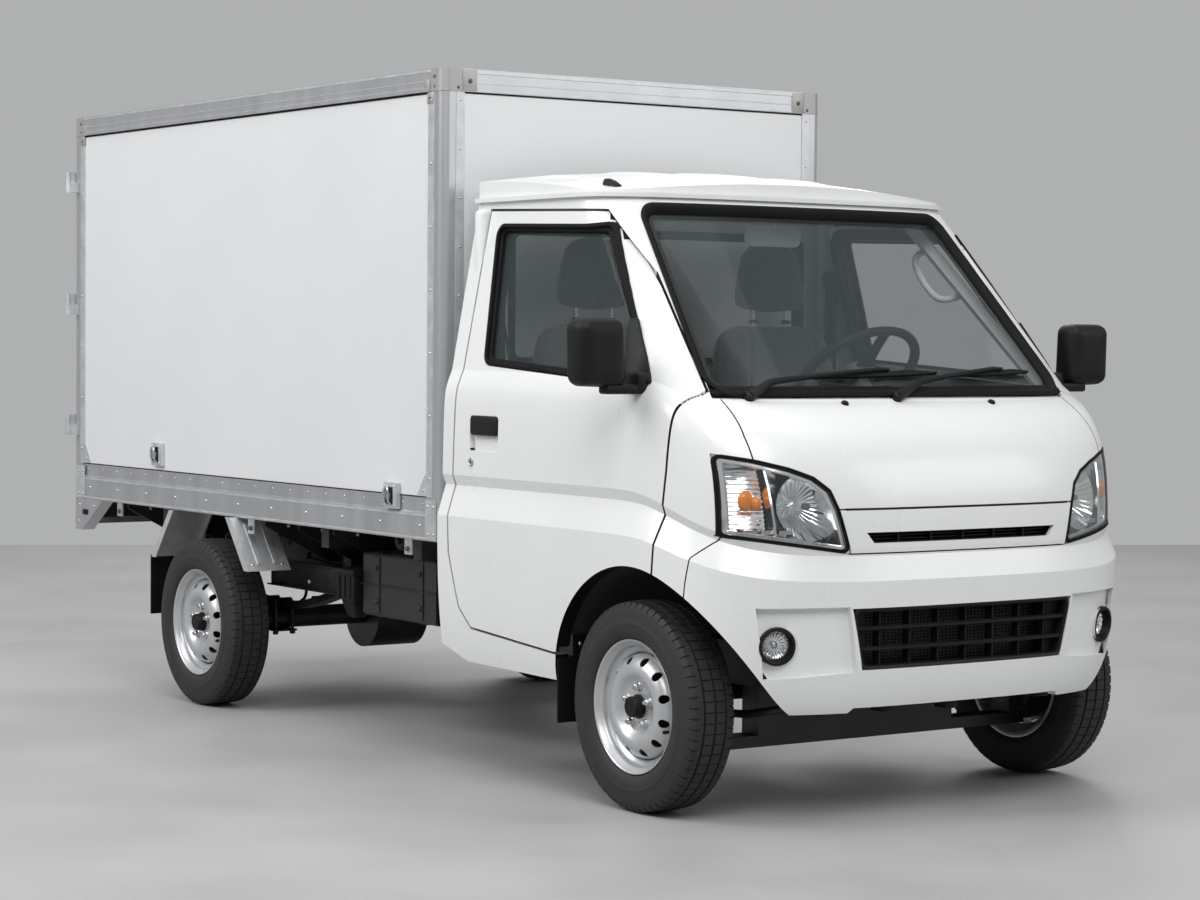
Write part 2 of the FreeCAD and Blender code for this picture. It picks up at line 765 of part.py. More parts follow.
def build_front_lenses():
    points = front_outline(headlamp_shares)
    pocket = prism_y(grown(points, -seam_fit), nose_reach, front_y + lamp_reach)
    lens = layer(0, lens_thickness).common(pocket)
    x, z = -cab_half_width * fog_x_share, cab_top_height * fog_z_share
    fog = cylinder_y(fog_radius - lamp_wall - seam_fit, nose_reach, front_y + lamp_reach, x, z).common(
        layer(pocket_depth + fog_lens_setback, pocket_depth + fog_lens_setback + lens_thickness))
    return both_sides(group([lens, fog]))


def finish_bumper(bumper):
    """Lower grille opening, fog lamp pockets and holes, and the raised middle of the lip."""
    opening = prism_y(symmetric(front_outline(lower_grille_shares)), nose_reach, front_axle_y)
    pocket = both_sides(prism_y(front_outline(fog_pocket_shares), nose_reach, front_axle_y)).common(
        layer(0, pocket_depth))
    x, z = cab_half_width * fog_x_share, cab_top_height * fog_z_share
    fogs = both_sides(cylinder_y(fog_radius, nose_reach, front_axle_y, x, z))
    notch = prism_y(symmetric(front_outline(lip_notch_shares)), nose_reach, front_axle_y)
    return bumper.cut(opening).cut(pocket).cut(fogs).cut(notch)


def build_lower_grille():
    """Black grille in the bumper and the celled insert in the grille panel's slot."""
    points = symmetric(front_outline(lower_grille_shares))
    top_z = cab_top_height * lower_grille_shares[0][1]
    low_z = cab_top_height * lower_grille_shares[1][1]
    half = -cab_half_width * lower_grille_shares[0][0]
    zone = layer(grille_setback, grille_setback + grille_depth).common(
        prism_y(grown(points, -seam_fit), nose_reach, front_axle_y))
    rim = zone.cut(prism_y(grown(points, -grille_frame), nose_reach, front_axle_y))
    bars = []
    for row in range(1, grille_bar_count + 1):
        z = low_z + (top_z - low_z) * row / (grille_bar_count + 1)
        bars.append(box(-half, half, nose_reach, front_axle_y, z - grille_bar / 2, z + grille_bar / 2))
    for column in range(1, grille_post_count + 1):
        x = -half + 2 * half * column / (grille_post_count + 1)
        bars.append(box(x - grille_post / 2, x + grille_post / 2, nose_reach, front_axle_y,
                        low_z - clear, top_z + clear))
    grid = zone.common(fuse(bars))
    lower = fuse([rim, grid])
    slot_points = symmetric(front_outline(slot_shares))
    slot_zone = layer(grille_setback, grille_setback + grille_depth).common(
        prism_y(grown(slot_points, -seam_fit), nose_reach, front_axle_y))
    slot_half = -cab_half_width * slot_shares[0][0]
    slot_low, slot_high = cab_top_height * slot_shares[1][1], cab_top_height * slot_shares[0][1]
    ribs = []
    for cell in range(slot_cells + 1):
        x = -slot_half + 2 * slot_half * cell / slot_cells
        ribs.append(box(x - grille_post / 2, x + grille_post / 2, nose_reach, front_axle_y,
                        slot_low, slot_high))
    back = layer(grille_depth, grille_setback + grille_depth).common(slot_zone)
    slot = fuse([back, slot_zone.common(fuse(ribs))])
    return group([lower, slot])


def finish_grille_panel(panel):
    return panel.cut(prism_y(symmetric(front_outline(slot_shares)), nose_reach, front_axle_y))


def build_wipers():
    """Cowl strip at the foot of the windscreen, with two wiper arms and blades."""
    top_z = cab_top_height * windscreen_shares[-1][1]
    strip_zone = prism_y(grown(windscreen_points, -seam_fit), nose_reach, pillar_reach).common(
        box(-side_reach, side_reach, nose_reach, pillar_reach, 0, top_z + cowl_height))
    cowl = layer(0, glass_depth - seam_fit).common(strip_zone)
    pieces = [cowl]
    for pivot, tip in zip(wiper_pivot_shares, wiper_tip_shares):
        (x0, z0), (x1, z1) = front_outline([pivot])[0], front_outline([tip])[0]
        arm = prism_y([(x0, z0), (x0, z0 + blade_height), (x1, z1 + blade_height), (x1, z1)],
                      nose_reach, pillar_reach)
        pieces.append(layer(-blade_width, -seam_fit).common(arm))
        pieces.append(cylinder_y(wiper_arm, nose_reach, pillar_reach, x0 + wiper_arm, z0 + wiper_arm).common(
            layer(-blade_width, clear)))
    return pieces


# Chassis
rail_front_inset = 150
rail_front_y = front_y + rail_front_inset
rail_rear_inset = 90
cross_height = 60
cross_width = 60
cross_count = 6
engine_length = 480
engine_width = 420
engine_height = 330
engine_base_z = 355
engine_setback = 330
engine_front_y = front_axle_y + engine_setback
axle_tube_radius = 34
diff_radius = 112
diff_width = 190
drum_radius = 118
drum_width = 52
rear_track_face = 565
hub_face_x = 600
hub_nut_length = 52
spring_x = 410
spring_width = 50
spring_span = 1000
spring_thickness = 24
spring_rise = 100
shaft_radius = 30
tank_length = 420
tank_width = 200
tank_height = 190
exhaust_radius = 22
muffler_radius = 75
muffler_length = 360


kick_start = 40
kick_length = 220
cab_mount_width = 60
bearer_width = 45
bearer_count = 5
hanger_length = 50


def rail_outline():
    """A chassis rail from the side: low under the cab, raised behind it."""
    low = rail_low_height
    start, end = rail_front_y, rear_y - rail_rear_inset
    kick = cab_rear_y + kick_start
    return [(start, low), (start, low + rail_height), (kick, low + rail_height),
            (kick + kick_length, low + rail_height + rail_rear_rise),
            (end, low + rail_height + rail_rear_rise), (end, low + rail_rear_rise),
            (kick + kick_length, low + rail_rear_rise), (kick, low)]


def cross_places():
    """Front edge and base height of each cross member."""
    start, end = rail_front_y, rear_y - rail_rear_inset
    pitch = (end - start - cross_width) / (cross_count - 1)
    places = []
    for k in range(cross_count):
        y = start + pitch * k
        raised = y > cab_rear_y + kick_start + kick_length / 2
        rise = rail_rear_rise if raised else 0
        places.append((y, rail_low_height + rise + (rail_height - cross_height) / 2))
    return places


def build_chassis():
    """Ladder frame: two rails, their cross members, cab mounts and spring hangers."""
    half = rail_spacing / 2
    pieces = [prism_x(rail_outline(), side * half - rail_width / 2, side * half + rail_width / 2)
              for side in (-1, 1)]
    for y, z in cross_places():
        pieces.append(box(-half, half, y, y + cross_width, z, z + cross_height))
    rail_top = rail_low_height + rail_height
    for side in (-1, 1):
        for y in (firewall_y + cab_mount_width, cab_rear_y - 2 * cab_mount_width):
            x = side * half
            pieces.append(box(x - rail_width / 2, x + rail_width / 2, y, y + cab_mount_width,
                              rail_top - clear, floor_top_z - floor_thickness))
        for y in spring_ends():
            x0, x1 = sorted((side * (half + rail_width / 2 - clear), side * (spring_x + spring_width / 2)))
            pieces.append(box(x0, x1, y - hanger_length / 2, y + hanger_length / 2,
                              tyre_radius + axle_tube_radius + spring_rise + spring_thickness + seam_fit,
                              rail_low_height + rail_rear_rise + rail_height))
    engine_room = box(-engine_width / 2 - seam_fit, engine_width / 2 + seam_fit,
                      engine_front_y - seam_fit, engine_front_y + engine_length + seam_fit,
                      engine_base_z - clear, engine_base_z + engine_height + clear)
    mounts = [box(min(side * engine_width / 2, side * half), max(side * engine_width / 2, side * half),
                  engine_front_y + engine_length / 2 - cross_width / 2,
                  engine_front_y + engine_length / 2 + cross_width / 2,
                  engine_base_z, rail_low_height + rail_height) for side in (-1, 1)]
    return fuse(pieces + mounts).cut(engine_room)


def build_engine():
    return rounded_box(-engine_width / 2, engine_width / 2, engine_front_y, engine_front_y + engine_length,
                       engine_base_z, engine_base_z + engine_height, soft_corner, V(0, 1, 0))


def spring_ends():
    return (rear_axle_y - spring_span / 2, rear_axle_y + spring_span / 2)


def build_springs():
    """A bowed leaf pack over each end of the rear axle."""
    low = tyre_radius + axle_tube_radius + seam_fit
    y0, y1 = spring_ends()

    def bow(base):
        high = base + spring_rise
        return Part.Arc(V(0, y0, high), V(0, rear_axle_y, base), V(0, y1, high)).toShape()

    under, upper = bow(low), bow(low + spring_thickness)
    sides = [Part.makeLine(V(0, y, low + spring_rise), V(0, y, low + spring_rise + spring_thickness))
             for y in (y0, y1)]
    face = Part.Face(Part.Wire(Part.__sortEdges__([under, upper] + sides)))
    face.translate(V(spring_x - spring_width / 2, 0, 0))
    return both_sides(face.extrude(V(spring_width, 0, 0)))


def build_rear_axle():
    """Axle tube with its differential, drums, wheel pins and the propeller shaft."""
    z = tyre_radius
    tube = cylinder_x(axle_tube_radius, -rear_track_face, rear_track_face, rear_axle_y, z)
    diff = cylinder_x(diff_radius, -diff_width / 2, diff_width / 2, rear_axle_y, z)
    pin_reach = hub_face_x + hub_nut_length
    pin = cylinder_x(axle_pin_radius, -pin_reach, pin_reach, rear_axle_y, z)
    drums = [cylinder_x(drum_radius, side * rear_track_face - drum_width / 2,
                        side * rear_track_face + drum_width / 2, rear_axle_y, z) for side in (-1, 1)]
    start = V(0, engine_front_y + engine_length + 2 * clear, engine_base_z + shaft_radius + clear)
    end = V(0, rear_axle_y - diff_radius / 2, z)
    shaft = Part.makeCylinder(shaft_radius, (end - start).Length, start, end - start)
    return fuse([tube, diff, pin, shaft] + drums)


knuckle_x = 555
kingpin_x = 570
knuckle_half_height = 95
knuckle_depth = 70
knuckle_thickness = 34
backing_radius = 93
backing_thickness = 10
strut_radius = 26
strut_x = 480
strut_top_gap = 3
arm_height = 30
arm_width = 70
cap_height = 20
suspension_beam = 70
steering_arm_length = 110
steering_arm_width = 24


def build_knuckle():
    """Front upright with its backing plate, steering arm and wheel pin."""
    y, z = front_axle_y, tyre_radius
    upright = box(-knuckle_x - knuckle_thickness / 2, -knuckle_x + knuckle_thickness / 2,
                  y - knuckle_depth / 2, y + knuckle_depth / 2,
                  z - knuckle_half_height, z + knuckle_half_height)
    plate = cylinder_x(backing_radius, -knuckle_x - knuckle_thickness / 2 - backing_thickness,
                       -knuckle_x - knuckle_thickness / 2 + seam_fit, y, z)
    pin = cylinder_x(axle_pin_radius, -hub_face_x - hub_nut_length, -knuckle_x, y, z)
    arm = box(-knuckle_x, -knuckle_x + steering_arm_width, y, y + steering_arm_length,
              z - steering_arm_width / 2, z + steering_arm_width / 2)
    return fuse([upright, plate, pin, arm])


def build_front_suspension():
    """Cross beam, lower arms that carry the knuckles, struts and the steering rack."""
    y, z = front_axle_y, tyre_radius
    arm_top = z - knuckle_half_height - seam_fit
    half = rail_spacing / 2
    beam = box(-half, half, y - suspension_beam / 2, y + suspension_beam / 2,
               arm_top, rail_low_height - seam_fit)
    pieces = [beam]
    for side in (-1, 1):
        x0, x1 = sorted((side * (half - suspension_beam), side * (kingpin_x + steering_arm_width)))
        pieces.append(box(x0, x1, y - arm_width / 2, y + arm_width / 2, arm_top - arm_height, arm_top))
    pieces.append(box(-half, half, y - suspension_beam / 2, y + suspension_beam / 2,
                      arm_top - arm_height, arm_top))
    frame = fuse(pieces)
    strut_foot = z + knuckle_half_height + seam_fit
    cap = both_sides(fuse([
        Part.makeCylinder(strut_radius, z + arch_radius + strut_top_gap - strut_foot,
                          V(-strut_x - strut_radius, y, strut_foot), V(0, 0, 1)),
        box(-knuckle_x - knuckle_thickness / 2, -strut_x, y - strut_radius, y + strut_radius,
            strut_foot, strut_foot + cap_height),
    ]))
    rack = cylinder_x(strut_radius, -half - rail_width, half + rail_width,
                      y + steering_arm_length, rail_low_height - strut_radius - seam_fit)
    return group([frame, cap, rack])


# Wheels
# Half of the tyre's section: shares of its half width and of its height over the rim seat.
tyre_section_shares = [
    (0.918, 0.000), (1.000, 0.420), (1.000, 0.610), (0.945, 0.870), (0.800, 0.965), (0.270, 1.000),
]
rim_lip = 6
barrel_wall = 5
disc_thickness = 7
disc_outset = 38
hub_radius_outer = 62
hub_outset = 4
hub_bore_radius = axle_pin_radius + running_clearance
cap_radius = 27
cap_length = 30
hand_hole_count = 12
hand_hole_radius = 11
hand_hole_circle = 119
hand_ring_half = 15
wheel_sides = (("front", front_axle_y), ("rear", rear_axle_y))


def build_tyre():
    """Tyre with its bead, bulged walls, rounded shoulders and crowned tread."""
    half = tyre_width / 2
    wall = tyre_radius - rim_seat_radius
    side = [(half * a, rim_seat_radius + wall * b) for a, b in tyre_section_shares]
    return turned_x([(-x, r) for x, r in side] + side[::-1])


def build_rim():
    """Steel wheel with its outer side at -X: barrel, dished disc with hand holes, hub cap."""
    half = tyre_width / 2
    inner = rim_seat_radius - barrel_wall
    profile = [(-half - seam_fit, rim_flange_radius), (-half - seam_fit, inner),
               (half + seam_fit, inner), (half + seam_fit, rim_flange_radius),
               (half - rim_lip + seam_fit, rim_seat_radius - seam_fit),
               (-half + rim_lip - seam_fit, rim_seat_radius - seam_fit)]
    barrel = turned_x(profile)
    hub_front = -hub_outset - disc_thickness
    edge = inner + clear / 2
    ring_front = -disc_outset - disc_thickness
    ring_outer, ring_inner = hand_hole_circle + hand_ring_half, hand_hole_circle - hand_ring_half
    disc = turned_x([(-disc_outset, edge), (ring_front, ring_outer), (ring_front, ring_inner),
                     (hub_front, hub_radius_outer), (hub_front, axle_pin_radius),
                     (hub_outset, axle_pin_radius), (hub_outset, hub_radius_outer),
                     (-disc_outset, ring_inner), (-disc_outset, ring_outer),
                     (-disc_outset + disc_thickness, edge)])
    cap = cylinder_x(cap_radius, hub_front - cap_length, -hub_outset, 0, 0)
    hole = cylinder_x(hand_hole_radius, -overrun, overrun, 0, hand_hole_circle)
    holes = [cylinder_x(hub_bore_radius, hub_front - cap_length + barrel_wall, overrun, 0, 0)]
    for k in range(hand_hole_count):
        copy = hole.copy()
        copy.rotate(V(0, 0, 0), V(1, 0, 0), 360 * k / hand_hole_count)
        holes.append(copy)
    return fuse([barrel, disc, cap]).cut(holes)


# Cargo box
casting = 64
rail_lip = 5
lower_rail_height = 122
lower_step_height = 76
lower_step = 5
bolt_tab_width = 40
bolt_tab_height = 46
bolt_tab_thickness = 5
bolt_tab_shares = [0.074, 0.465, 0.857]
floor_panel = 60
sill_height = 78
corner_round = 24
catch_width = 72
catch_height = 74
catch_thickness = 12
catch_shares = [0.090, 0.713]
catch_z = [697, 755]


def outer_rounded(block, radius, x_sign, y_sign):
    """Round the one vertical edge of a block that is the vehicle's corner."""
    bounds = block.BoundBox
    x = bounds.XMax if x_sign > 0 else bounds.XMin
    y = bounds.YMax if y_sign > 0 else bounds.YMin
    edges = [e for e in block.Edges if e.BoundBox.ZLength > radius / 2
             and abs(e.CenterOfMass.x - x) < seam_fit and abs(e.CenterOfMass.y - y) < seam_fit]
    return block.makeFillet(radius, edges)


def corner_columns(width, low, high):
    """Four corner blocks with a rounded outer edge."""
    blocks = []
    for x_sign in (-1, 1):
        for y_sign, y_corner in ((-1, box_front_y), (1, box_rear_y)):
            x = x_sign * box_half_width
            block = box(min(x, x - x_sign * width), max(x, x - x_sign * width),
                        min(y_corner, y_corner - y_sign * width), max(y_corner, y_corner - y_sign * width),
                        low, high)
            radius = corner_round if y_sign < 0 else corner_round / 4
            blocks.append(outer_rounded(block, radius, x_sign, y_sign))
    return blocks


def build_box_frame():
    """Corner posts and the rails between them."""
    top = box_top_height
    pieces = corner_columns(post_width, box_floor_height, top - casting - seam_fit)
    y0, y1 = box_front_y + casting + seam_fit, box_rear_y - casting - seam_fit
    x0, x1 = -box_half_width + casting + seam_fit, box_half_width - casting - seam_fit
    outline = [(box_half_width - box_wall, top - casting), (box_half_width + rail_lip, top - casting),
               (box_half_width + rail_lip, top - casting + 2 * rail_lip),
               (box_half_width, top - casting + 3 * rail_lip), (box_half_width, top),
               (box_half_width - casting, top), (box_half_width - casting, top - box_wall / 2),
               (box_half_width - box_wall, top - box_wall / 2)]
    pieces.append(both_sides(prism_y(outline, y0, y1)))
    pieces.append(box(x0, x1, box_front_y, box_front_y + box_wall, top - casting, top))
    pieces.append(box(x0, x1, box_rear_y - casting, box_rear_y, top - casting, top))
    low = box_floor_height
    ya, yb = box_front_y + post_width + seam_fit, box_rear_y - post_width - seam_fit
    lower = [(box_half_width - box_wall, low), (box_half_width, low),
             (box_half_width, low + lower_step_height),
             (box_half_width - lower_step, low + lower_step_height + lower_step),
             (box_half_width - lower_step, low + lower_rail_height),
             (box_half_width - box_wall, low + lower_rail_height)]
    rail = [prism_y(lower, ya, yb)]
    for share in bolt_tab_shares:
        y = box_front_y + box_length * share
        rail.append(box(box_half_width - 2 * lower_step, box_half_width - 2 * lower_step + bolt_tab_thickness,
                        y - bolt_tab_width / 2, y + bolt_tab_width / 2, low - bolt_tab_height, low))
    pieces.append(both_sides(fuse(rail)))
    xa, xb = -box_half_width + post_width + seam_fit, box_half_width - post_width - seam_fit
    pieces.append(box(xa, xb, box_front_y, box_front_y + box_wall, low, low + sill_height))
    pieces.append(box(xa, xb, box_rear_y - post_width, box_rear_y, low, low + sill_height))
    return group(pieces)


def build_castings():
    return group(corner_columns(casting, box_top_height - casting, box_top_height))


def build_box_floor():
    """Floor panel on its cross bearers, which rest on the chassis rails."""
    low = box_floor_height
    x = box_half_width - box_wall - seam_fit
    y0, y1 = box_front_y + box_wall + seam_fit, box_rear_y - post_width - seam_fit
    notch = corner_columns(post_width + seam_fit, low - overrun, low + box_height)
    bearer_half = box_half_width - bearer_width - seam_fit
    pieces = [box(-x, x, y0, y1, low, low + floor_panel)]
    rail_top = rail_low_height + rail_height + rail_rear_rise
    start = cab_rear_y + kick_start + kick_length
    pitch = (y1 - bearer_width - start) / (bearer_count - 1)
    for k in range(bearer_count):
        y = start + pitch * k
        pieces.append(box(-bearer_half, bearer_half, y, y + bearer_width, rail_top, low))
    return fuse(pieces).cut(notch)


def build_box_walls():
    """Side walls, front wall and roof panel, seated in the frame."""
    low = box_floor_height
    y0, y1 = box_front_y + post_width + seam_fit, box_rear_y - post_width - seam_fit
    side = box(box_half_width - box_wall, box_half_width - lower_step / 2, y0, y1,
               low + lower_rail_height + seam_fit, box_top_height - casting - seam_fit)
    x = box_half_width - post_width - seam_fit
    front = box(-x, x, box_front_y + lower_step / 2, box_front_y + box_wall,
                low + sill_height + seam_fit, box_top_height - casting - seam_fit)
    xr = box_half_width - casting - seam_fit
    roof = box(-xr, xr, box_front_y + box_wall + seam_fit, box_rear_y - casting - seam_fit,
               box_top_height - box_wall / 2 - seam_fit - box_wall, box_top_height - box_wall / 2)
    roof = roof.cut(corner_columns(casting + seam_fit, box_top_height - 2 * casting,
                                   box_top_height + casting))
    return group([both_sides(side), front, roof])


# Rear doors
leaf_gap = 3
leaf_thickness = 40
strap_gap = 5
strap_thickness = 6
strap_height = 36
strap_length = 200
barrel_radius = 9
hinge_pin_radius = 5
hinge_out = 25
hinge_back = 10
hinge_heights = [870, 1290, 1715]
rod_radius = 10
rod_x = 110
keeper_height = 40
keeper_count = 4


def build_rear_door():
    """Right rear door leaf."""
    outer = -box_half_width + post_width + door_gap
    low = box_floor_height + sill_height + door_gap
    high = box_top_height - casting - door_gap
    return box(outer, -leaf_gap, box_rear_y - leaf_thickness, box_rear_y, low, high)


def hinge_pin_place():
    return -box_half_width - hinge_out, box_rear_y + hinge_back


def build_rear_gear():
    """Lock rod in its keepers and the moving hinge halves of the right rear door."""
    pin_x, pin_y = hinge_pin_place()
    low = box_floor_height + sill_height + door_gap
    high = box_top_height - casting - door_gap
    rod_y = box_rear_y + rear_gear_depth - rod_radius
    rod = cylinder_z(rod_radius, low, high, -rod_x, rod_y)
    pieces = [rod]
    pitch = (high - low - keeper_height) / (keeper_count - 1)
    for k in range(keeper_count):
        z = low + pitch * k
        pieces.append(box(-rod_x - 2 * rod_radius, -rod_x + 2 * rod_radius, box_rear_y + seam_fit, rod_y,
                          z, z + keeper_height))
    result = [fuse(pieces)]
    strap_back = box_rear_y + strap_gap + strap_thickness
    for z in hinge_heights:
        barrel = cylinder_z(barrel_radius, z + seam_fit, z + strap_height, pin_x, pin_y)
        strap = box(pin_x, pin_x + strap_length, box_rear_y + strap_gap, strap_back,
                    z + seam_fit, z + strap_height)
        pad = box(-box_half_width + post_width + 2 * door_gap, pin_x + strap_length,
                  box_rear_y + seam_fit, strap_back, z + seam_fit, z + strap_height)
        half = fuse([barrel, strap, pad]).cut(
            cylinder_z(hinge_pin_radius + running_clearance, z - overrun, z + 2 * overrun, pin_x, pin_y))
        result.append(half)
    return group(result)


def build_rear_fittings():
    """Fixed hinge halves with their pins, side catches, tabs, and the tail corner brackets."""
    pin_x, pin_y = hinge_pin_place()
    pieces = []
    for z in hinge_heights:
        barrel = cylinder_z(barrel_radius, z - strap_height, z, pin_x, pin_y)
        ear = box(pin_x, -box_half_width - seam_fit, box_rear_y - 3 * barrel_radius, pin_y,
                  z - strap_height, z)
        pin = cylinder_z(hinge_pin_radius, z - strap_height, z + strap_height, pin_x, pin_y)
        pieces.append(fuse([barrel, ear, pin]))
    for share, z in zip(catch_shares, catch_z):
        y = box_front_y + box_length * share
        pieces.append(box(-box_half_width - catch_thickness, -box_half_width + lower_step / 2 - seam_fit,
                          y, y + catch_width, z, z + catch_height))
    return both_sides(group(pieces))


# Mudguards, flaps and tail
guard_gap = 34
guard_low_share = 1.13
guard_high_share = 0.70
guard_drop_share = 0.62
guard_width = 150
guard_thickness = 5
guard_lip = 26
guard_rib_height = 5
guard_rib_width = 14
guard_rib_shares = (0.32, 0.70)
guard_rib_start_share = 0.14
guard_rib_end_share = 0.88
flap_thickness = 6
flap_height = 190
front_flap_low = 192
flap_shoulder = 62
lamp_bar_height = 90
tail_lamp_width = 150
tail_lamp_height = 70
tail_lamp_depth = 30
tail_drop = 110
plate_hole_pitch = 210
plate_hole_radius = 3.5


def guard_strip(sign, near, far, start_share, end_share):
    """A (y, z) outline along the slope of a mudguard, between two distances from its inner face."""
    top = box_floor_height - seam_fit
    inner_r = tyre_radius + guard_gap
    y0 = rear_axle_y + sign * inner_r * guard_low_share
    y1 = rear_axle_y + sign * inner_r * guard_high_share
    low = tyre_radius + inner_r * guard_drop_share
    ends = [(y0 + (y1 - y0) * share, low + (top - low) * share) for share in (start_share, end_share)]
    (ya, za), (yb, zb) = ends
    return [(ya + sign * near, za), (ya + sign * far, za), (yb + sign * far, zb), (yb + sign * near, zb)]


def guard_side(sign):
    """The plate of the mudguard before or behind a rear wheel, from the side."""
    return guard_strip(sign, 0, guard_thickness, 0, 1)


def build_guard(sign):
    """One sloping guard with turned-in edges and two pressed ribs."""
    x_out = -box_half_width - guard_lip
    x_in = x_out + guard_width
    pieces = [prism_x(guard_side(sign), x_out, x_in)]
    lip = guard_strip(sign, -guard_lip, guard_thickness, 0, 1)
    for x in (x_out, x_in - guard_thickness):
        pieces.append(prism_x(lip, x, x + guard_thickness))
    rib = guard_strip(sign, guard_thickness, guard_thickness + guard_rib_height,
                      guard_rib_start_share, guard_rib_end_share)
    for share in guard_rib_shares:
        x = x_out + guard_width * share
        pieces.append(prism_x(rib, x - guard_rib_width / 2, x + guard_rib_width / 2))
    return fuse(pieces)


def build_mudguards():
    """Ribbed sloping guards before and behind each rear wheel."""
    return both_sides(group([build_guard(sign) for sign in (-1, 1)]))


def build_mudflaps():
    """Rubber flaps behind the front and rear wheels."""
    pan_z = floor_top_z - floor_thickness
    y = arch_centre_y + math.sqrt((arch_radius + clear) ** 2 - (pan_z - tyre_radius) ** 2) - seam_fit
    x_out, x_mid = -cab_half_width + 2 * clear, -cab_half_width + cab_wall + 3 * clear
    x_in = -cab_half_width + guard_width
    front = fuse([
        box(x_mid, x_in, y - flap_thickness, y, front_flap_low, pan_z - seam_fit),
        box(x_out, x_in, y - flap_thickness, y, front_flap_low, pan_z - flap_shoulder),
    ])
    outline = guard_side(1)
    y_rear = outline[1][0] + seam_fit
    rear = box(-box_half_width - guard_lip, -box_half_width - guard_lip + guard_width,
               y_rear, y_rear + flap_thickness, outline[0][1] - flap_height, outline[0][1] + clear)
    return both_sides(group([front, rear]))


def build_tail():
    """Silver corner brackets and the lamp bar under the box's rear edge."""
    top = box_floor_height - seam_fit
    y1 = box_rear_y
    bracket = [(y1 - 2 * tail_drop, top), (y1, top), (y1, top - tail_drop),
               (y1 - tail_drop / 2, top - tail_drop)]
    ear = prism_x(bracket, -box_half_width, -box_half_width + bearer_width)
    bar = box(-box_half_width + bearer_width + seam_fit, box_half_width - bearer_width - seam_fit,
              y1 - bearer_width, y1, top - lamp_bar_height, top)
    for x in (-plate_hole_pitch / 2, plate_hole_pitch / 2):
        bar = bar.cut(cylinder_y(plate_hole_radius, y1 - overrun, y1 + overrun, x, top - lamp_bar_height / 2))
    return group([both_sides(ear), bar])


def build_tail_lamps():
    top = box_floor_height - seam_fit - (lamp_bar_height - tail_lamp_height) / 2
    x = -box_half_width + bearer_width + 2 * clear
    return both_sides(rounded_box(x, x + tail_lamp_width, box_rear_y + seam_fit,
                                  box_rear_y + seam_fit + tail_lamp_depth - clear,
                                  top - tail_lamp_height, top, clear, V(0, 1, 0)))


# Tank and exhaust
def build_tank():
    top = rail_low_height + rail_rear_rise + rail_height - clear
    x0 = -rail_spacing / 2 - rail_width / 2 - seam_fit - tank_width
    y0 = cab_rear_y + 2 * kick_start + kick_length
    return rounded_box(x0, x0 + tank_width, y0, y0 + tank_length, top - tank_height, top,
                       2 * clear, V(0, 1, 0))


def build_exhaust():
    x = rail_spacing / 2 - rail_width / 2 - muffler_radius - clear
    z = cross_places()[-1][1] - muffler_radius - seam_fit
    y0 = rear_axle_y + diff_radius + 4 * clear
    can = cylinder_y(muffler_radius, y0, y0 + muffler_length, x, z)
    tail = cylinder_y(exhaust_radius, y0, rear_y - rail_rear_inset + overrun, x, z)
    return fuse([can, tail])


def placed_wheel(shape, y, side):
    """A wheel piece modelled for the right side, set at one hub."""
    piece = shape.copy()
    if side > 0:
        piece = mirrored(piece)
    piece.translate(V(side * wheel_centre_x, y, tyre_radius))
    return piece


mirror_y_share = 0.86
mirror_glass_width = 190
mirror_glass_height = 60
mirror_glass_depth = 20
mirror_glass_z = 1440


def build_cab_fittings():
    """Interior mirror on its stalk under the roof."""
    glass_y = cab_rear_y - (cab_length - screen_setback) * mirror_y_share
    head = rounded_box(-mirror_glass_width / 2, mirror_glass_width / 2, glass_y, glass_y + mirror_glass_depth,
                       mirror_glass_z, mirror_glass_z + mirror_glass_height, mirror_glass_depth, V(0, 1, 0))
    stalk = cylinder_z(headrest_stem_radius, mirror_glass_z + mirror_glass_height / 2,
                       cab_top_height + roof_rise, 0, glass_y + mirror_glass_depth / 2)
    under_roof = roof_sheet(-roof_thickness - seam_fit).extrude(V(0, 0, -roof_block_depth))
    return fuse([head, stalk.common(under_roof)])


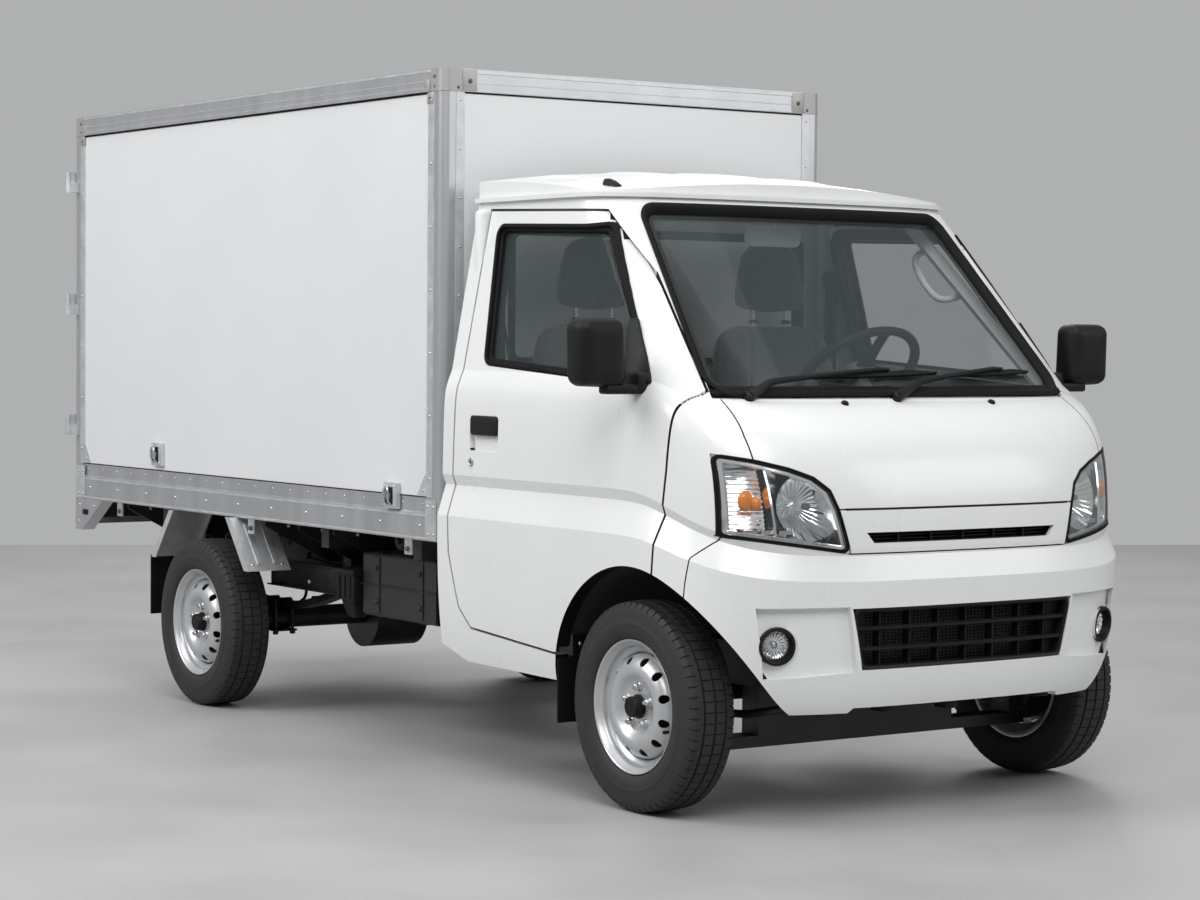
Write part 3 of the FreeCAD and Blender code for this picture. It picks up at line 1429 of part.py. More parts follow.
def all_parts():
    bonnet, grille, bumper, fenders = build_front()
    door, glass, fittings = build_door(), build_door_glass(), build_door_fittings()
    leaf, gear = build_rear_door(), build_rear_gear()
    knuckle = build_knuckle()
    tyre, rim = build_tyre(), build_rim()
    parts = {
        "chassis_frame": build_chassis(),
        "engine_block": build_engine(),
        "front_suspension": build_front_suspension(),
        "rear_axle": build_rear_axle(),
        "leaf_springs": build_springs(),
        "fuel_tank": build_tank(),
        "exhaust": build_exhaust(),
        "cab_floor": build_cab_floor(),
        "cab_frame": build_cab_frame(),
        "front_fenders": fenders,
        "cab_roof": build_roof(),
        "cab_back_panel": build_back_panel(),
        "bonnet_panel": bonnet,
        "grille_panel": finish_grille_panel(grille),
        "front_bumper": finish_bumper(bumper),
        "front_grilles": build_lower_grille(),
        "front_lamps": build_front_lamps(),
        "front_lenses": build_front_lenses(),
        "cab_windows": build_cab_windows(),
        "cowl_and_wipers": group(build_wipers()),
        "dashboard": build_dashboard(),
        "steering_wheel": build_steering_wheel(),
        "seat_cushions": seat_at(cushion),
        "seat_backs": seat_at(seat_back),
        "cab_mirror": build_cab_fittings(),
        "box_floor": build_box_floor(),
        "box_walls": build_box_walls(),
        "box_frame": build_box_frame(),
        "corner_castings": build_castings(),
        "box_fittings": build_rear_fittings(),
        "mudguards": build_mudguards(),
        "mudflaps": build_mudflaps(),
        "tail_frame": build_tail(),
        "tail_lamps": build_tail_lamps(),
    }
    for side, name in ((-1, "right"), (1, "left")):
        turn = mirrored if side > 0 else Part.Shape.copy
        parts["door_" + name] = turn(door)
        parts["door_glass_" + name] = turn(glass)
        parts["door_fittings_" + name] = turn(fittings)
        parts["rear_door_" + name] = turn(leaf)
        parts["rear_door_gear_" + name] = turn(gear)
        parts["knuckle_" + name] = turn(knuckle)
        for axle, y in wheel_sides:
            parts["tyre_" + axle + "_" + name] = placed_wheel(tyre, y, side)
            parts["rim_" + axle + "_" + name] = placed_wheel(rim, y, side)
    return parts


os.makedirs("parts", exist_ok=True)
for node, shape in all_parts().items():
    shape.exportStep("parts/" + node + ".step")
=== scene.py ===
import json
import math

import bmesh
import bpy
from mathutils import Matrix, Vector
from mathutils.bvhtree import BVHTree


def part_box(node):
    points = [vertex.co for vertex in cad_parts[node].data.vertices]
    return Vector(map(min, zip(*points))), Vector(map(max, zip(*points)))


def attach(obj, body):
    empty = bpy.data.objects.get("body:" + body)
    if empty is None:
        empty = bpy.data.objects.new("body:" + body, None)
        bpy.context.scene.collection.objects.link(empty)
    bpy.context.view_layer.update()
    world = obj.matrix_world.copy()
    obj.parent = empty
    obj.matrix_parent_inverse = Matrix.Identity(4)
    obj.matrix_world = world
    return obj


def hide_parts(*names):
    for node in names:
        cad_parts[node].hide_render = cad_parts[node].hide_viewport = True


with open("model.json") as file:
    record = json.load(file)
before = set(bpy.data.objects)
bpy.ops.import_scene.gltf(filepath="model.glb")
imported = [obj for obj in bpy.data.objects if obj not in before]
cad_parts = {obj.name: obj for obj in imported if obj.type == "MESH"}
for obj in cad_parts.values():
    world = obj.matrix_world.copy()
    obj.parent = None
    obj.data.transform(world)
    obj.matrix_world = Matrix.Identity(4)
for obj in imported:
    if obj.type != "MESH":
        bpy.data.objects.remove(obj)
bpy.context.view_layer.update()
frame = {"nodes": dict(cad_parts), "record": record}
nodes = frame["nodes"]
SIDES = (("right", -1), ("left", 1))


# Materials
def material(name, color, roughness, metallic=0.0, **inputs):
    """A Principled material with its plain values on the shader's own sockets."""
    mat = bpy.data.materials.new(name)
    mat.use_nodes = True
    shader = mat.node_tree.nodes["Principled BSDF"]
    shader.inputs["Base Color"].default_value = (*color, 1)
    shader.inputs["Roughness"].default_value = roughness
    shader.inputs["Metallic"].default_value = metallic
    for key, value in inputs.items():
        shader.inputs[key.replace("_", " ").title().replace("Ior", "IOR")].default_value = value
    return mat


def shader_of(mat):
    return mat.node_tree.nodes["Principled BSDF"]


def link(mat, source, target):
    mat.node_tree.links.new(source, target)


def coordinates(mat, scale=(1, 1, 1)):
    """Places on the object, in metres, times a scale for each axis."""
    tree = mat.node_tree
    place = tree.nodes.new("ShaderNodeTexCoord")
    mapping = tree.nodes.new("ShaderNodeMapping")
    mapping.inputs["Scale"].default_value = scale
    link(mat, place.outputs["Object"], mapping.inputs["Vector"])
    return mapping.outputs["Vector"]


def noise(mat, scale, detail=3.0, stretch=(1, 1, 1)):
    texture = mat.node_tree.nodes.new("ShaderNodeTexNoise")
    texture.inputs["Scale"].default_value = scale
    texture.inputs["Detail"].default_value = detail
    link(mat, coordinates(mat, stretch), texture.inputs["Vector"])
    return texture.outputs["Fac"]


def ramp(mat, factor, low, high, start=0.3, end=0.7):
    """A colour that runs from low to high as the factor goes from start to end."""
    node = mat.node_tree.nodes.new("ShaderNodeValToRGB")
    first, last = node.color_ramp.elements
    first.position, first.color = start, (*low, 1)
    last.position, last.color = end, (*high, 1)
    link(mat, factor, node.inputs["Fac"])
    return node.outputs["Color"]


def spread(mat, factor, low, high):
    """A number that runs from low to high as the factor goes from 0.3 to 0.7."""
    node = mat.node_tree.nodes.new("ShaderNodeMapRange")
    for name, value in (("From Min", 0.3), ("From Max", 0.7), ("To Min", low), ("To Max", high)):
        node.inputs[name].default_value = value
    link(mat, factor, node.inputs["Value"])
    return node.outputs["Result"]


def bump(mat, height, distance, strength=0.6):
    node = mat.node_tree.nodes.new("ShaderNodeBump")
    node.inputs["Distance"].default_value = distance
    node.inputs["Strength"].default_value = strength
    link(mat, height, node.inputs["Height"])
    link(mat, node.outputs["Normal"], shader_of(mat).inputs["Normal"])
    return node


def tinted(color, share):
    return tuple(min(1.0, channel * share) for channel in color)


def surface(name, color, roughness, metallic=0.0, tint=0.06, rough_spread=0.05, scale=6.0,
            grain=0.0, grain_scale=900.0, stretch=(1, 1, 1), **inputs):
    """A material whose colour and roughness drift a little, with an optional fine grain."""
    mat = material(name, color, roughness, metallic, **inputs)
    drift = noise(mat, scale, 4.0, stretch)
    link(mat, ramp(mat, drift, tinted(color, 1 - tint), tinted(color, 1 + tint)),
         shader_of(mat).inputs["Base Color"])
    link(mat, spread(mat, drift, roughness - rough_spread, roughness + rough_spread),
         shader_of(mat).inputs["Roughness"])
    if grain:
        bump(mat, noise(mat, grain_scale, 2.0, stretch), grain)
    return mat


def weave_fabric(name, color):
    """Woven seat cloth: two crossed sets of threads with a soft sheen."""
    mat = surface(name, color, 0.9, tint=0.12, rough_spread=0.04, scale=30.0,
                  sheen_weight=0.5, sheen_roughness=0.4)
    tree = mat.node_tree
    waves = []
    for direction in ("X", "Z"):
        wave = tree.nodes.new("ShaderNodeTexWave")
        wave.bands_direction = direction
        wave.inputs["Scale"].default_value = 160.0
        wave.inputs["Distortion"].default_value = 0.6
        link(mat, coordinates(mat), wave.inputs["Vector"])
        waves.append(wave.outputs["Fac"])
    product = tree.nodes.new("ShaderNodeMath")
    product.operation = "MULTIPLY"
    link(mat, waves[0], product.inputs[0])
    link(mat, waves[1], product.inputs[1])
    bump(mat, product.outputs[0], 0.0012, 0.7)
    return mat


def clear(name, color, alpha, glancing, roughness=0.03, **inputs):
    """Thin glass or clear plastic: see-through, more mirror-like at a low angle."""
    mat = material(name, color, roughness, **inputs)
    tree = mat.node_tree
    weight = tree.nodes.new("ShaderNodeLayerWeight")
    weight.inputs["Blend"].default_value = 0.25
    span = tree.nodes.new("ShaderNodeMapRange")
    span.inputs["To Min"].default_value = alpha
    span.inputs["To Max"].default_value = glancing
    link(mat, weight.outputs["Fresnel"], span.inputs["Value"])
    link(mat, span.outputs["Result"], shader_of(mat).inputs["Alpha"])
    return mat


BRUSHED = (1, 1, 0.03)
MATERIALS = {
    "white_paint": surface("white_paint", (0.80, 0.81, 0.81), 0.3, tint=0.012, rough_spread=0.04, scale=3.0,
                           grain=0.00025, grain_scale=420.0, coat_weight=0.25, coat_roughness=0.16),
    "white_panel": surface("white_panel", (0.74, 0.75, 0.76), 0.42, tint=0.02, scale=1.6,
                           grain=0.0006, grain_scale=26.0),
    "silver_frame": surface("silver_frame", (0.52, 0.53, 0.545), 0.36, 0.75, tint=0.05, rough_spread=0.07,
                            scale=16.0, grain=0.0002, grain_scale=700.0, stretch=BRUSHED),
    "cast_corner": surface("cast_corner", (0.42, 0.42, 0.41), 0.48, 0.55, tint=0.08, grain=0.0006,
                           grain_scale=420.0),
    "galvanised": surface("galvanised", (0.60, 0.61, 0.62), 0.42, 0.6, tint=0.10, scale=22.0,
                          grain=0.0003, grain_scale=260.0),
    "chassis_black": surface("chassis_black", (0.012, 0.012, 0.013), 0.46, tint=0.35, scale=9.0,
                             grain=0.0005, grain_scale=180.0),
    "engine_iron": surface("engine_iron", (0.10, 0.10, 0.10), 0.6, 0.3, tint=0.25, grain=0.001,
                           grain_scale=240.0),
    "silver_wheel": surface("silver_wheel", (0.52, 0.53, 0.54), 0.34, 0.55, tint=0.03, scale=24.0,
                            grain=0.00015, grain_scale=900.0),
    "tyre": surface("tyre", (0.016, 0.016, 0.017), 0.68, tint=0.25, scale=40.0, grain=0.0003,
                    grain_scale=700.0),
    "flap_rubber": surface("flap_rubber", (0.006, 0.006, 0.0063), 0.6, tint=0.3, grain=0.0004,
                           grain_scale=300.0, specular_ior_level=0.12),
    "black_plastic": surface("black_plastic", (0.0075, 0.008, 0.0085), 0.48, tint=0.15, scale=30.0,
                             grain=0.00035, grain_scale=1100.0, specular_ior_level=0.2),
    "grey_plastic": surface("grey_plastic", (0.105, 0.115, 0.12), 0.55, tint=0.08, scale=20.0,
                            grain=0.0004, grain_scale=900.0),
    "seat_fabric": weave_fabric("seat_fabric", (0.095, 0.102, 0.105)),
    "lamp_chrome": surface("lamp_chrome", (0.86, 0.87, 0.88), 0.12, 1.0, tint=0.02, rough_spread=0.03,
                           scale=30.0),
    "clear_lens": clear("clear_lens", (0.36, 0.38, 0.39), 0.04, 0.42),
    "red_lens": surface("red_lens", (0.45, 0.012, 0.012), 0.16, tint=0.08, scale=60.0, coat_weight=0.5),
    "cab_glass": clear("cab_glass", (0.11, 0.138, 0.142), 0.035, 0.36),
}
TRIM = {
    "light_trim": surface("light_trim", (0.76, 0.80, 0.79), 0.7, tint=0.05, grain=0.0004, grain_scale=600.0),
    "glass_border": surface("glass_border", (0.010, 0.011, 0.012), 0.25, tint=0.1, scale=14.0,
                            specular_ior_level=0.25),
    "amber": surface("amber", (0.85, 0.25, 0.02), 0.2, tint=0.06, scale=60.0, coat_weight=0.4),
    "bulb_glass": clear("bulb_glass", (0.8, 0.82, 0.85), 0.25, 0.8),
    "nut_steel": surface("nut_steel", (0.55, 0.56, 0.58), 0.25, 0.9, tint=0.05, scale=80.0),
    "mirror_glass": surface("mirror_glass", (0.80, 0.82, 0.84), 0.04, 1.0, tint=0.01, rough_spread=0.01),
    "belt_webbing": surface("belt_webbing", (0.03, 0.03, 0.032), 0.8, tint=0.1, scale=120.0,
                            grain=0.0008, grain_scale=900.0),
    "headliner": surface("headliner", (0.80, 0.82, 0.80), 0.9, tint=0.03, grain=0.0006, grain_scale=700.0),
    "floor_carpet": surface("floor_carpet", (0.03, 0.031, 0.033), 0.95, tint=0.3, scale=80.0, grain=0.002,
                            grain_scale=500.0),
    # near-black painted shade for the panel gaps, the key slot, the slot grille's cells, the bonnet seam, the
    # catch recesses and the rail holes
    "painted_shade": surface("painted_shade", (0.006, 0.006, 0.006), 0.9, tint=0.2),
}


def finish_of(name):
    return MATERIALS.get(name) or TRIM[name]


def smooth_by_angle(obj, degrees):
    """Soft shading across edges flatter than the angle, hard beyond it."""
    mesh = obj.data
    for polygon in mesh.polygons:
        polygon.use_smooth = True
    bm = bmesh.new()
    bm.from_mesh(mesh)
    limit = math.radians(degrees)
    sharp = [edge.index for edge in bm.edges if len(edge.link_faces) != 2 or edge.calc_face_angle(0) > limit]
    bm.free()
    attribute = mesh.attributes.get("sharp_edge") or mesh.attributes.new("sharp_edge", "BOOLEAN", "EDGE")
    values = [False] * len(mesh.edges)
    for index in sharp:
        values[index] = True
    attribute.data.foreach_set("value", values)


def dress_cad_nodes():
    """Give each CAD node the material of its slot in the record."""
    for row in frame["record"]["subparts"]:
        obj = nodes[row["node"]]
        obj.data.materials.clear()
        obj.data.materials.append(MATERIALS[row["material_slot"]])


# Shape helpers
def make_object(name, bm, body, mat, smooth=30):
    """Turn a bmesh into a piece that rides on a body."""
    bmesh.ops.recalc_face_normals(bm, faces=bm.faces)
    mesh = bpy.data.meshes.new(name)
    bm.to_mesh(mesh)
    bm.free()
    obj = bpy.data.objects.new(name, mesh)
    bpy.context.scene.collection.objects.link(obj)
    mesh.materials.append(finish_of(mat))
    if smooth:
        smooth_by_angle(obj, smooth)
    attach(obj, body)
    return obj


def piece(name, body, mat, add, *shape, slot=None, smooth=30, **options):
    """A piece made by one call of a shape helper."""
    bm = bmesh.new()
    add(bm, *shape, **options)
    return make_object(name, bm, body, mat, smooth)


def add_block(bm, low, high, bevel=0.0, segments=2):
    """A block between two corners, with rounded edges."""
    made = bmesh.ops.create_cube(bm, size=1.0)["verts"]
    low, high = Vector(low), Vector(high)
    size, middle = high - low, (low + high) / 2
    for vert in made:
        vert.co = Vector(a * b for a, b in zip(vert.co, size)) + middle
    if bevel:
        edges = list({edge for vert in made for edge in vert.link_edges})
        bmesh.ops.bevel(bm, geom=edges, offset=bevel, segments=segments, affect="EDGES", profile=0.5)
    return made


def add_loft(bm, rings, closed=True, cap=True):
    """Faces between rings of points with the same count."""
    loops = [[bm.verts.new(point) for point in ring] for ring in rings]
    count = len(loops[0])
    for low, high in zip(loops, loops[1:]):
        for k in range(count if closed else count - 1):
            bm.faces.new((low[k], low[(k + 1) % count], high[(k + 1) % count], high[k]))
    if cap and closed:
        bm.faces.new(list(reversed(loops[0])))
        bm.faces.new(loops[-1])
    return loops


MERGE = 1e-6


def add_band(bm, rings, closed=True):
    """A loft that runs on into its own first ring."""
    add_loft(bm, rings + [rings[0]], closed, cap=False)
    bmesh.ops.remove_doubles(bm, verts=bm.verts, dist=MERGE)


def fill_holes(bm):
    bmesh.ops.holes_fill(bm, edges=[edge for edge in bm.edges if edge.is_boundary])


def add_sheet(bm, rows, offset):
    """Rows of points with a second face behind them, closed all round."""
    back = [[point + Vector(offset) for point in line] for line in reversed(rows)]
    add_band(bm, rows + back, closed=False)
    fill_holes(bm)


def side_block(bm, side, xs, ys, zs, bevel=0.0, segments=2):
    """A block on one side of the vehicle, between two distances from its middle."""
    near, far = sorted(side * x for x in xs)
    add_block(bm, (near, ys[0], zs[0]), (far, ys[1], zs[1]), bevel, segments)


def spaced(start, end, count):
    """Evenly spaced numbers from start to end."""
    return [start + (end - start) * k / count for k in range(count + 1)]


def ring_points(centre, u, v, radius, steps, phase=0.0):
    return [centre + (u * math.cos(a) + v * math.sin(a)) * radius
            for a in (phase + 2 * math.pi * k / steps for k in range(steps))]


def add_tube(bm, path, radius, steps=10, cap=True):
    """A round bar along a path of points."""
    path = [Vector(p) for p in path]
    rings = []
    side = None
    for k, point in enumerate(path):
        ahead = (path[min(k + 1, len(path) - 1)] - path[max(k - 1, 0)]).normalized()
        if side is None:
            side = ahead.orthogonal().normalized()
        side = (side - ahead * side.dot(ahead)).normalized()
        rings.append(ring_points(point, side, ahead.cross(side), radius, steps))
    add_loft(bm, rings, cap=cap)


def add_lathe(bm, profile, centre, axis, steps=48, cap=True):
    """A turned form: (distance along the axis, radius) points turned about it."""
    axis = Vector(axis).normalized()
    u = axis.orthogonal().normalized()
    v = axis.cross(u)
    rings = [ring_points(Vector(centre) + axis * d, u, v, max(r, 1e-5), steps) for d, r in profile]
    add_loft(bm, rings, cap=cap)


def add_rivet(bm, place, normal, radius=0.0045, height=0.0028, steps=8):
    """One domed rivet head."""
    add_lathe(bm, [(-0.0005, radius), (height * 0.45, radius * 0.9), (height * 0.85, radius * 0.55),
                   (height, radius * 0.15)], place, normal, steps)


def smooth_path(points, steps=8):
    """Points along a Catmull-Rom curve through a few given ones."""
    points = [Vector(p) for p in points]
    ends = [2 * points[0] - points[1]] + points + [2 * points[-1] - points[-2]]
    result = []
    for a, b, c, d in zip(ends, ends[1:], ends[2:], ends[3:]):
        for k in range(steps):
            t = k / steps
            result.append(0.5 * ((2 * b) + (c - a) * t + (2 * a - 5 * b + 4 * c - d) * t * t
                                 + (3 * b - a - 3 * c + d) * t ** 3))
    return result + [points[-1]]


# Wheels
TYRE_RADIUS = 0.267
TREAD_HALF = 0.0585
GROOVES = (-0.0325, 0.0, 0.0325)
GROOVE_HALF = 0.0032
GROOVE_DEPTH = 0.0062
SIPE_DEPTH = 0.0045
PITCHES = 62
SHOULDER_RIB = 0.040
SHOULDER_RADIUS = 0.2475


def tyre_profile():
    """(place across, radius) stations from bead to bead, with the main grooves cut in."""
    wall = [(0.0470, 0.1580), (0.0545, 0.1690), (0.0590, 0.1712), (0.0655, 0.1765), (0.0703, 0.190),
            (0.0724, 0.204), (0.0724, 0.2065), (0.0730, 0.208), (0.0730, 0.2115), (0.0722, 0.213),
            (0.0716, 0.226), (0.0700, 0.238), (0.0676, 0.2475), (0.0645, 0.2545)]
    crown = []
    edges = [(groove + step * GROOVE_HALF, depth) for groove in GROOVES
             for step, depth in ((-1.0, 0.0), (-0.72, 1.0), (0.72, 1.0), (1.0, 0.0))]
    ribs = [(sign * across, 0.0) for sign in (-1, 1)
            for across in (0.010, 0.018, 0.040, 0.050, 0.0585, 0.0612)]
    for across, depth in sorted(edges + ribs):
        share = across / TREAD_HALF
        drop = 0.0042 * share * share + (0.0032 if abs(share) > 1.02 else 0.0)
        crown.append((across, TYRE_RADIUS - drop - GROOVE_DEPTH * depth, depth))
    left = [(-a, r, 0.0) for a, r in wall]
    right = [(a, r, 0.0) for a, r in reversed(wall)]
    return left + crown + right


def build_tyre(name, side, centre, body, node):
    """A road tyre: three grooves, slotted shoulders and narrow cuts in the middle ribs."""
    profile = tyre_profile()
    bm = bmesh.new()
    turns = []
    for pitch in range(PITCHES):
        for share, outer, inner in ((0.0, 0, 0), (0.05, 1, 0), (0.17, 1, 0), (0.22, 0, 0),
                                    (0.52, 0, 0), (0.55, 0, 1), (0.61, 0, 1), (0.64, 0, 0)):
            turns.append((2 * math.pi * (pitch + share) / PITCHES, outer, inner))
    rings = []
    for angle, outer, inner in turns:
        ring = []
        for across, radius, depth in profile:
            cut = 0.0
            reach = abs(across)
            if outer and reach > SHOULDER_RIB and radius > SHOULDER_RADIUS:
                cut = SIPE_DEPTH * min(1.0, (radius - SHOULDER_RADIUS) / 0.006)
            elif inner and reach < SHOULDER_RIB and not depth:
                cut = SIPE_DEPTH * 0.8
            r = radius - cut
            ring.append(Vector((centre[0] + across * side, centre[1] + r * math.cos(angle),
                                centre[2] + r * math.sin(angle))))
        rings.append(ring)
    add_band(bm, rings, closed=False)
    tyre = make_object(name, bm, body, "tyre", smooth=32)
    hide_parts(node)


RIM_PROFILE = [
    (0.061, 0.1700), (0.0625, 0.1688), (0.0620, 0.1665), (0.0580, 0.1640), (0.0530, 0.1615), (0.0475, 0.1560),
    (0.0440, 0.1535), (0.0390, 0.1525), (0.0340, 0.1505), (0.0300, 0.1455), (0.0270, 0.1400),
    (0.0240, 0.1368), (0.0190, 0.1350), (0.0000, 0.1330), (-0.020, 0.1330), (-0.032, 0.1380),
    (-0.040, 0.1490), (-0.052, 0.1520), (-0.060, 0.1600), (-0.061, 0.1700), (-0.058, 0.1700),
    (-0.055, 0.1600), (-0.050, 0.1550), (-0.036, 0.1525), (-0.028, 0.1410), (-0.018, 0.1370), (0.000, 0.1365),
    (0.0210, 0.1390), (0.0250, 0.1430), (0.0280, 0.1480), (0.0320, 0.1535), (0.0420, 0.1560),
    (0.0500, 0.1640), (0.0540, 0.1690),
]
DISC_PROFILE = [
    (0.0190, 0.1345), (0.0230, 0.1335), (0.0290, 0.1318), (0.0360, 0.1290), (0.0430, 0.1250),
    (0.0485, 0.1200), (0.0530, 0.1140), (0.0566, 0.1075), (0.0592, 0.1005), (0.0603, 0.0940),
    (0.0600, 0.0885), (0.0583, 0.0830), (0.0550, 0.0775), (0.0507, 0.0725), (0.0466, 0.0680),
    (0.0436, 0.0635), (0.0420, 0.0590), (0.0415, 0.0540),
]
HOLE_COUNT = 12
HOLE_RING = 0.1185
HOLE_RADIUS = 0.0112
HOLE_DEPTH = 0.0492
DISC_STEPS = 240
LUG_RING = 0.0500
LUG_COUNT = 5


def build_rim(name, side, centre, body, node):
    """Pressed steel wheel: rolled rim, dished disc with round hand holes, nuts and hub cap."""
    axis = Vector((side, 0, 0))
    bm = bmesh.new()
    u, v = Vector((0, 1, 0)), Vector((0, 0, 1))
    middle = Vector(centre)
    add_band(bm, [ring_points(middle + axis * d, u, v, r, 120) for d, r in RIM_PROFILE])
    rim = make_object(name, bm, body, "silver_wheel", smooth=50)
    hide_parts(node)

    bm = bmesh.new()
    inner = add_loft(bm, [ring_points(middle + axis * d, u, v, r, DISC_STEPS) for d, r in DISC_PROFILE],
                     cap=False)[-1]
    flat = [bm.verts.new(point) for point in ring_points(middle + axis * 0.0415, u, v, 0.028, DISC_STEPS)]
    for k in range(DISC_STEPS):
        after = (k + 1) % DISC_STEPS
        bm.faces.new((inner[k], inner[after], flat[after], flat[k]))
    for spot in ring_points(middle + axis * HOLE_DEPTH, u, v, HOLE_RING, HOLE_COUNT, math.pi / HOLE_COUNT):
        gone = [face for face in bm.faces if (face.calc_center_median() - spot).length < HOLE_RADIUS]
        bmesh.ops.delete(bm, geom=gone, context="FACES")
    pull_hole_edges(bm, middle, axis, u, v)
    bmesh.ops.solidify(bm, geom=bm.faces[:], thickness=-0.0028)
    make_object(name + "_disc", bm, body, "silver_wheel", smooth=40)

    bm = bmesh.new()
    for foot in ring_points(middle + axis * 0.0410, u, v, LUG_RING, LUG_COUNT, math.pi / 2):
        add_lathe(bm, [(0, 0.0118), (0.003, 0.0112), (0.0045, 0.0096)], foot, axis, 20)
        add_lathe(bm, [(0.003, 0.0094), (0.0125, 0.0094), (0.0150, 0.0078), (0.0165, 0.0052),
                       (0.0170, 0.001)],
                  foot, axis, 6)
        add_lathe(bm, [(0.015, 0.0050), (0.0205, 0.0048), (0.0212, 0.001)], foot, axis, 12)
    make_object(name + "_nuts", bm, body, "nut_steel", smooth=35)

    piece(name + "_hub_cap", body, "black_plastic", add_lathe,
          [(0.036, 0.031), (0.046, 0.0305), (0.047, 0.0275), (0.0655, 0.0265), (0.0685, 0.0245),
           (0.0692, 0.0215), (0.0680, 0.0200), (0.0680, 0.0040), (0.0686, 0.0010)], middle, axis, 48,
          smooth=35)

    piece(name + "_drum", body, "chassis_black", add_lathe,
          [(-0.020, 0.118), (0.020, 0.118), (0.026, 0.112), (0.028, 0.05), (0.040, 0.045),
           (0.040, 0.01)],
          middle, axis, 48, smooth=35)

    bm = bmesh.new()
    a = math.radians(200)
    foot = middle + axis * 0.030 + (u * math.cos(a) + v * math.sin(a)) * 0.1420
    add_lathe(bm, [(0, 0.0055), (0.012, 0.0045), (0.020, 0.0042), (0.0205, 0.0048), (0.031, 0.0048),
                   (0.032, 0.001)],
              foot, axis, 16)
    make_object(name + "_valve", bm, body, "black_plastic", smooth=35)


def pull_hole_edges(bm, middle, axis, u, v):
    """Move the ragged edges of each hand hole onto its circle."""
    for vert in bm.verts:
        if not vert.is_boundary:
            continue
        place = vert.co - middle
        out = place - axis * place.dot(axis)
        if not 0.098 < out.length < 0.138:
            continue
        hole = round(math.atan2(out.dot(v), out.dot(u)) / (2 * math.pi) * HOLE_COUNT - 0.5)
        a = 2 * math.pi * (hole + 0.5) / HOLE_COUNT
        spot = (u * math.cos(a) + v * math.sin(a)) * HOLE_RING
        offset = out - spot
        if offset.length > 0.019:
            continue
        fitted = spot + offset.normalized() * HOLE_RADIUS
        vert.co = middle + fitted + axis * disc_depth(fitted.length)


def disc_depth(radius):
    """Height of the disc's face at a radius."""
    for (d0, r0), (d1, r1) in zip(DISC_PROFILE, DISC_PROFILE[1:]):
        if r1 <= radius <= r0:
            return d0 + (d1 - d0) * (r0 - radius) / (r0 - r1)
    return DISC_PROFILE[-1][0]


def build_wheels():
    for side_name, side in SIDES:
        for axle in ("front", "rear"):
            tyre_node, rim_node = f"tyre_{axle}_{side_name}", f"rim_{axle}_{side_name}"
            body = f"wheel_{axle}_{side_name}"
            low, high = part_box(tyre_node)
            centre = (low + high) / 2
            build_tyre(f"road_tyre_{axle}_{side_name}", side, centre, body, tyre_node)
            build_rim(f"steel_wheel_{axle}_{side_name}", side, centre, body, rim_node)


# Outlines on the cab's skin
CAB_FRONT = -1.965
CAB_LENGTH = 1.365
CAB_HALF = 0.735
CAB_TOP = 1.560
WINDSCREEN = [(-0.688, 0.981), (-0.806, 0.669), (0.806, 0.669), (0.688, 0.981)]
HEADLAMP = [(-0.897, 0.585), (-0.893, 0.456), (-0.486, 0.428), (-0.527, 0.498), (-0.554, 0.529),
            (-0.607, 0.549), (-0.684, 0.563), (-0.790, 0.576)]
DOOR_WINDOW = [(0.307, 0.684), (0.541, 0.950), (0.917, 0.960), (0.884, 0.714)]
REAR_WINDOW = [(-0.700, 0.955), (-0.700, 0.718), (0.700, 0.718), (0.700, 0.955)]
REAR_WINDOW_Y = -0.611
GLASS_DEPTH = 0.016
EDGE_STEP = 0.030


def front_corners(shares):
    return [Vector((CAB_HALF * a, CAB_TOP * b)) for a, b in shares]


def side_corners(shares):
    return [Vector((CAB_FRONT + CAB_LENGTH * a, CAB_TOP * b)) for a, b in shares]


def rounded_outline(corners, radius, inset=0.0, arc=6):
    """A closed outline with rounded corners, moved inward; its point count ignores the inset."""
    count = len(corners)
    area = sum(p.x * q.y - q.x * p.y for p, q in zip(corners, corners[1:] + corners[:1]))
    turn = 1 if area > 0 else -1
    points = []
    for k in range(count):
        before, corner, after = corners[k - 1], corners[k], corners[(k + 1) % count]
        d0, d1 = (corner - before).normalized(), (after - corner).normalized()
        n0, n1 = Vector((-d0.y, d0.x)) * turn, Vector((-d1.y, d1.x)) * turn
        bend = math.atan2(d0.x * d1.y - d0.y * d1.x, d0.dot(d1)) * turn
        moved = corner + (n0 + n1) * (inset / (1 + n0.dot(n1)))
        convex = 1 if bend > 0 else -1
        reach = min(radius, 0.45 * (corner - before).length / max(math.tan(abs(bend) / 2), 1e-3),
                    0.45 * (after - corner).length / max(math.tan(abs(bend) / 2), 1e-3))
        r = max(reach - inset * convex, 0.002)
        start = moved - d0 * (r * math.tan(abs(bend) / 2))
        centre = start + n0 * (r * convex)
        arm = start - centre
        for step in range(arc + 1):
            angle = bend * turn * step / arc
            points.append(centre + Vector((arm.x * math.cos(angle) - arm.y * math.sin(angle),
                                           arm.x * math.sin(angle) + arm.y * math.cos(angle))))
        end = points[-1]
        steps = max(1, round((after - corner).length / EDGE_STEP))
        follow = corners[(k + 2) % count]
        d2 = (follow - after).normalized()
        n2 = Vector((-d2.y, d2.x)) * turn
        next_bend = abs(math.atan2(d1.x * d2.y - d1.y * d2.x, d1.dot(d2)))
        next_convex = 1 if (d1.x * d2.y - d1.y * d2.x) * turn > 0 else -1
        next_reach = min(radius, 0.45 * (after - corner).length / max(math.tan(next_bend / 2), 1e-3),
                         0.45 * (follow - after).length / max(math.tan(next_bend / 2), 1e-3))
        next_r = max(next_reach - inset * next_convex, 0.002)
        next_moved = after + (n1 + n2) * (inset / (1 + n1.dot(n2)))
        next_start = next_moved - d1 * (next_r * math.tan(next_bend / 2))
        for step in range(1, steps):
            points.append(end.lerp(next_start, step / steps))
    return points


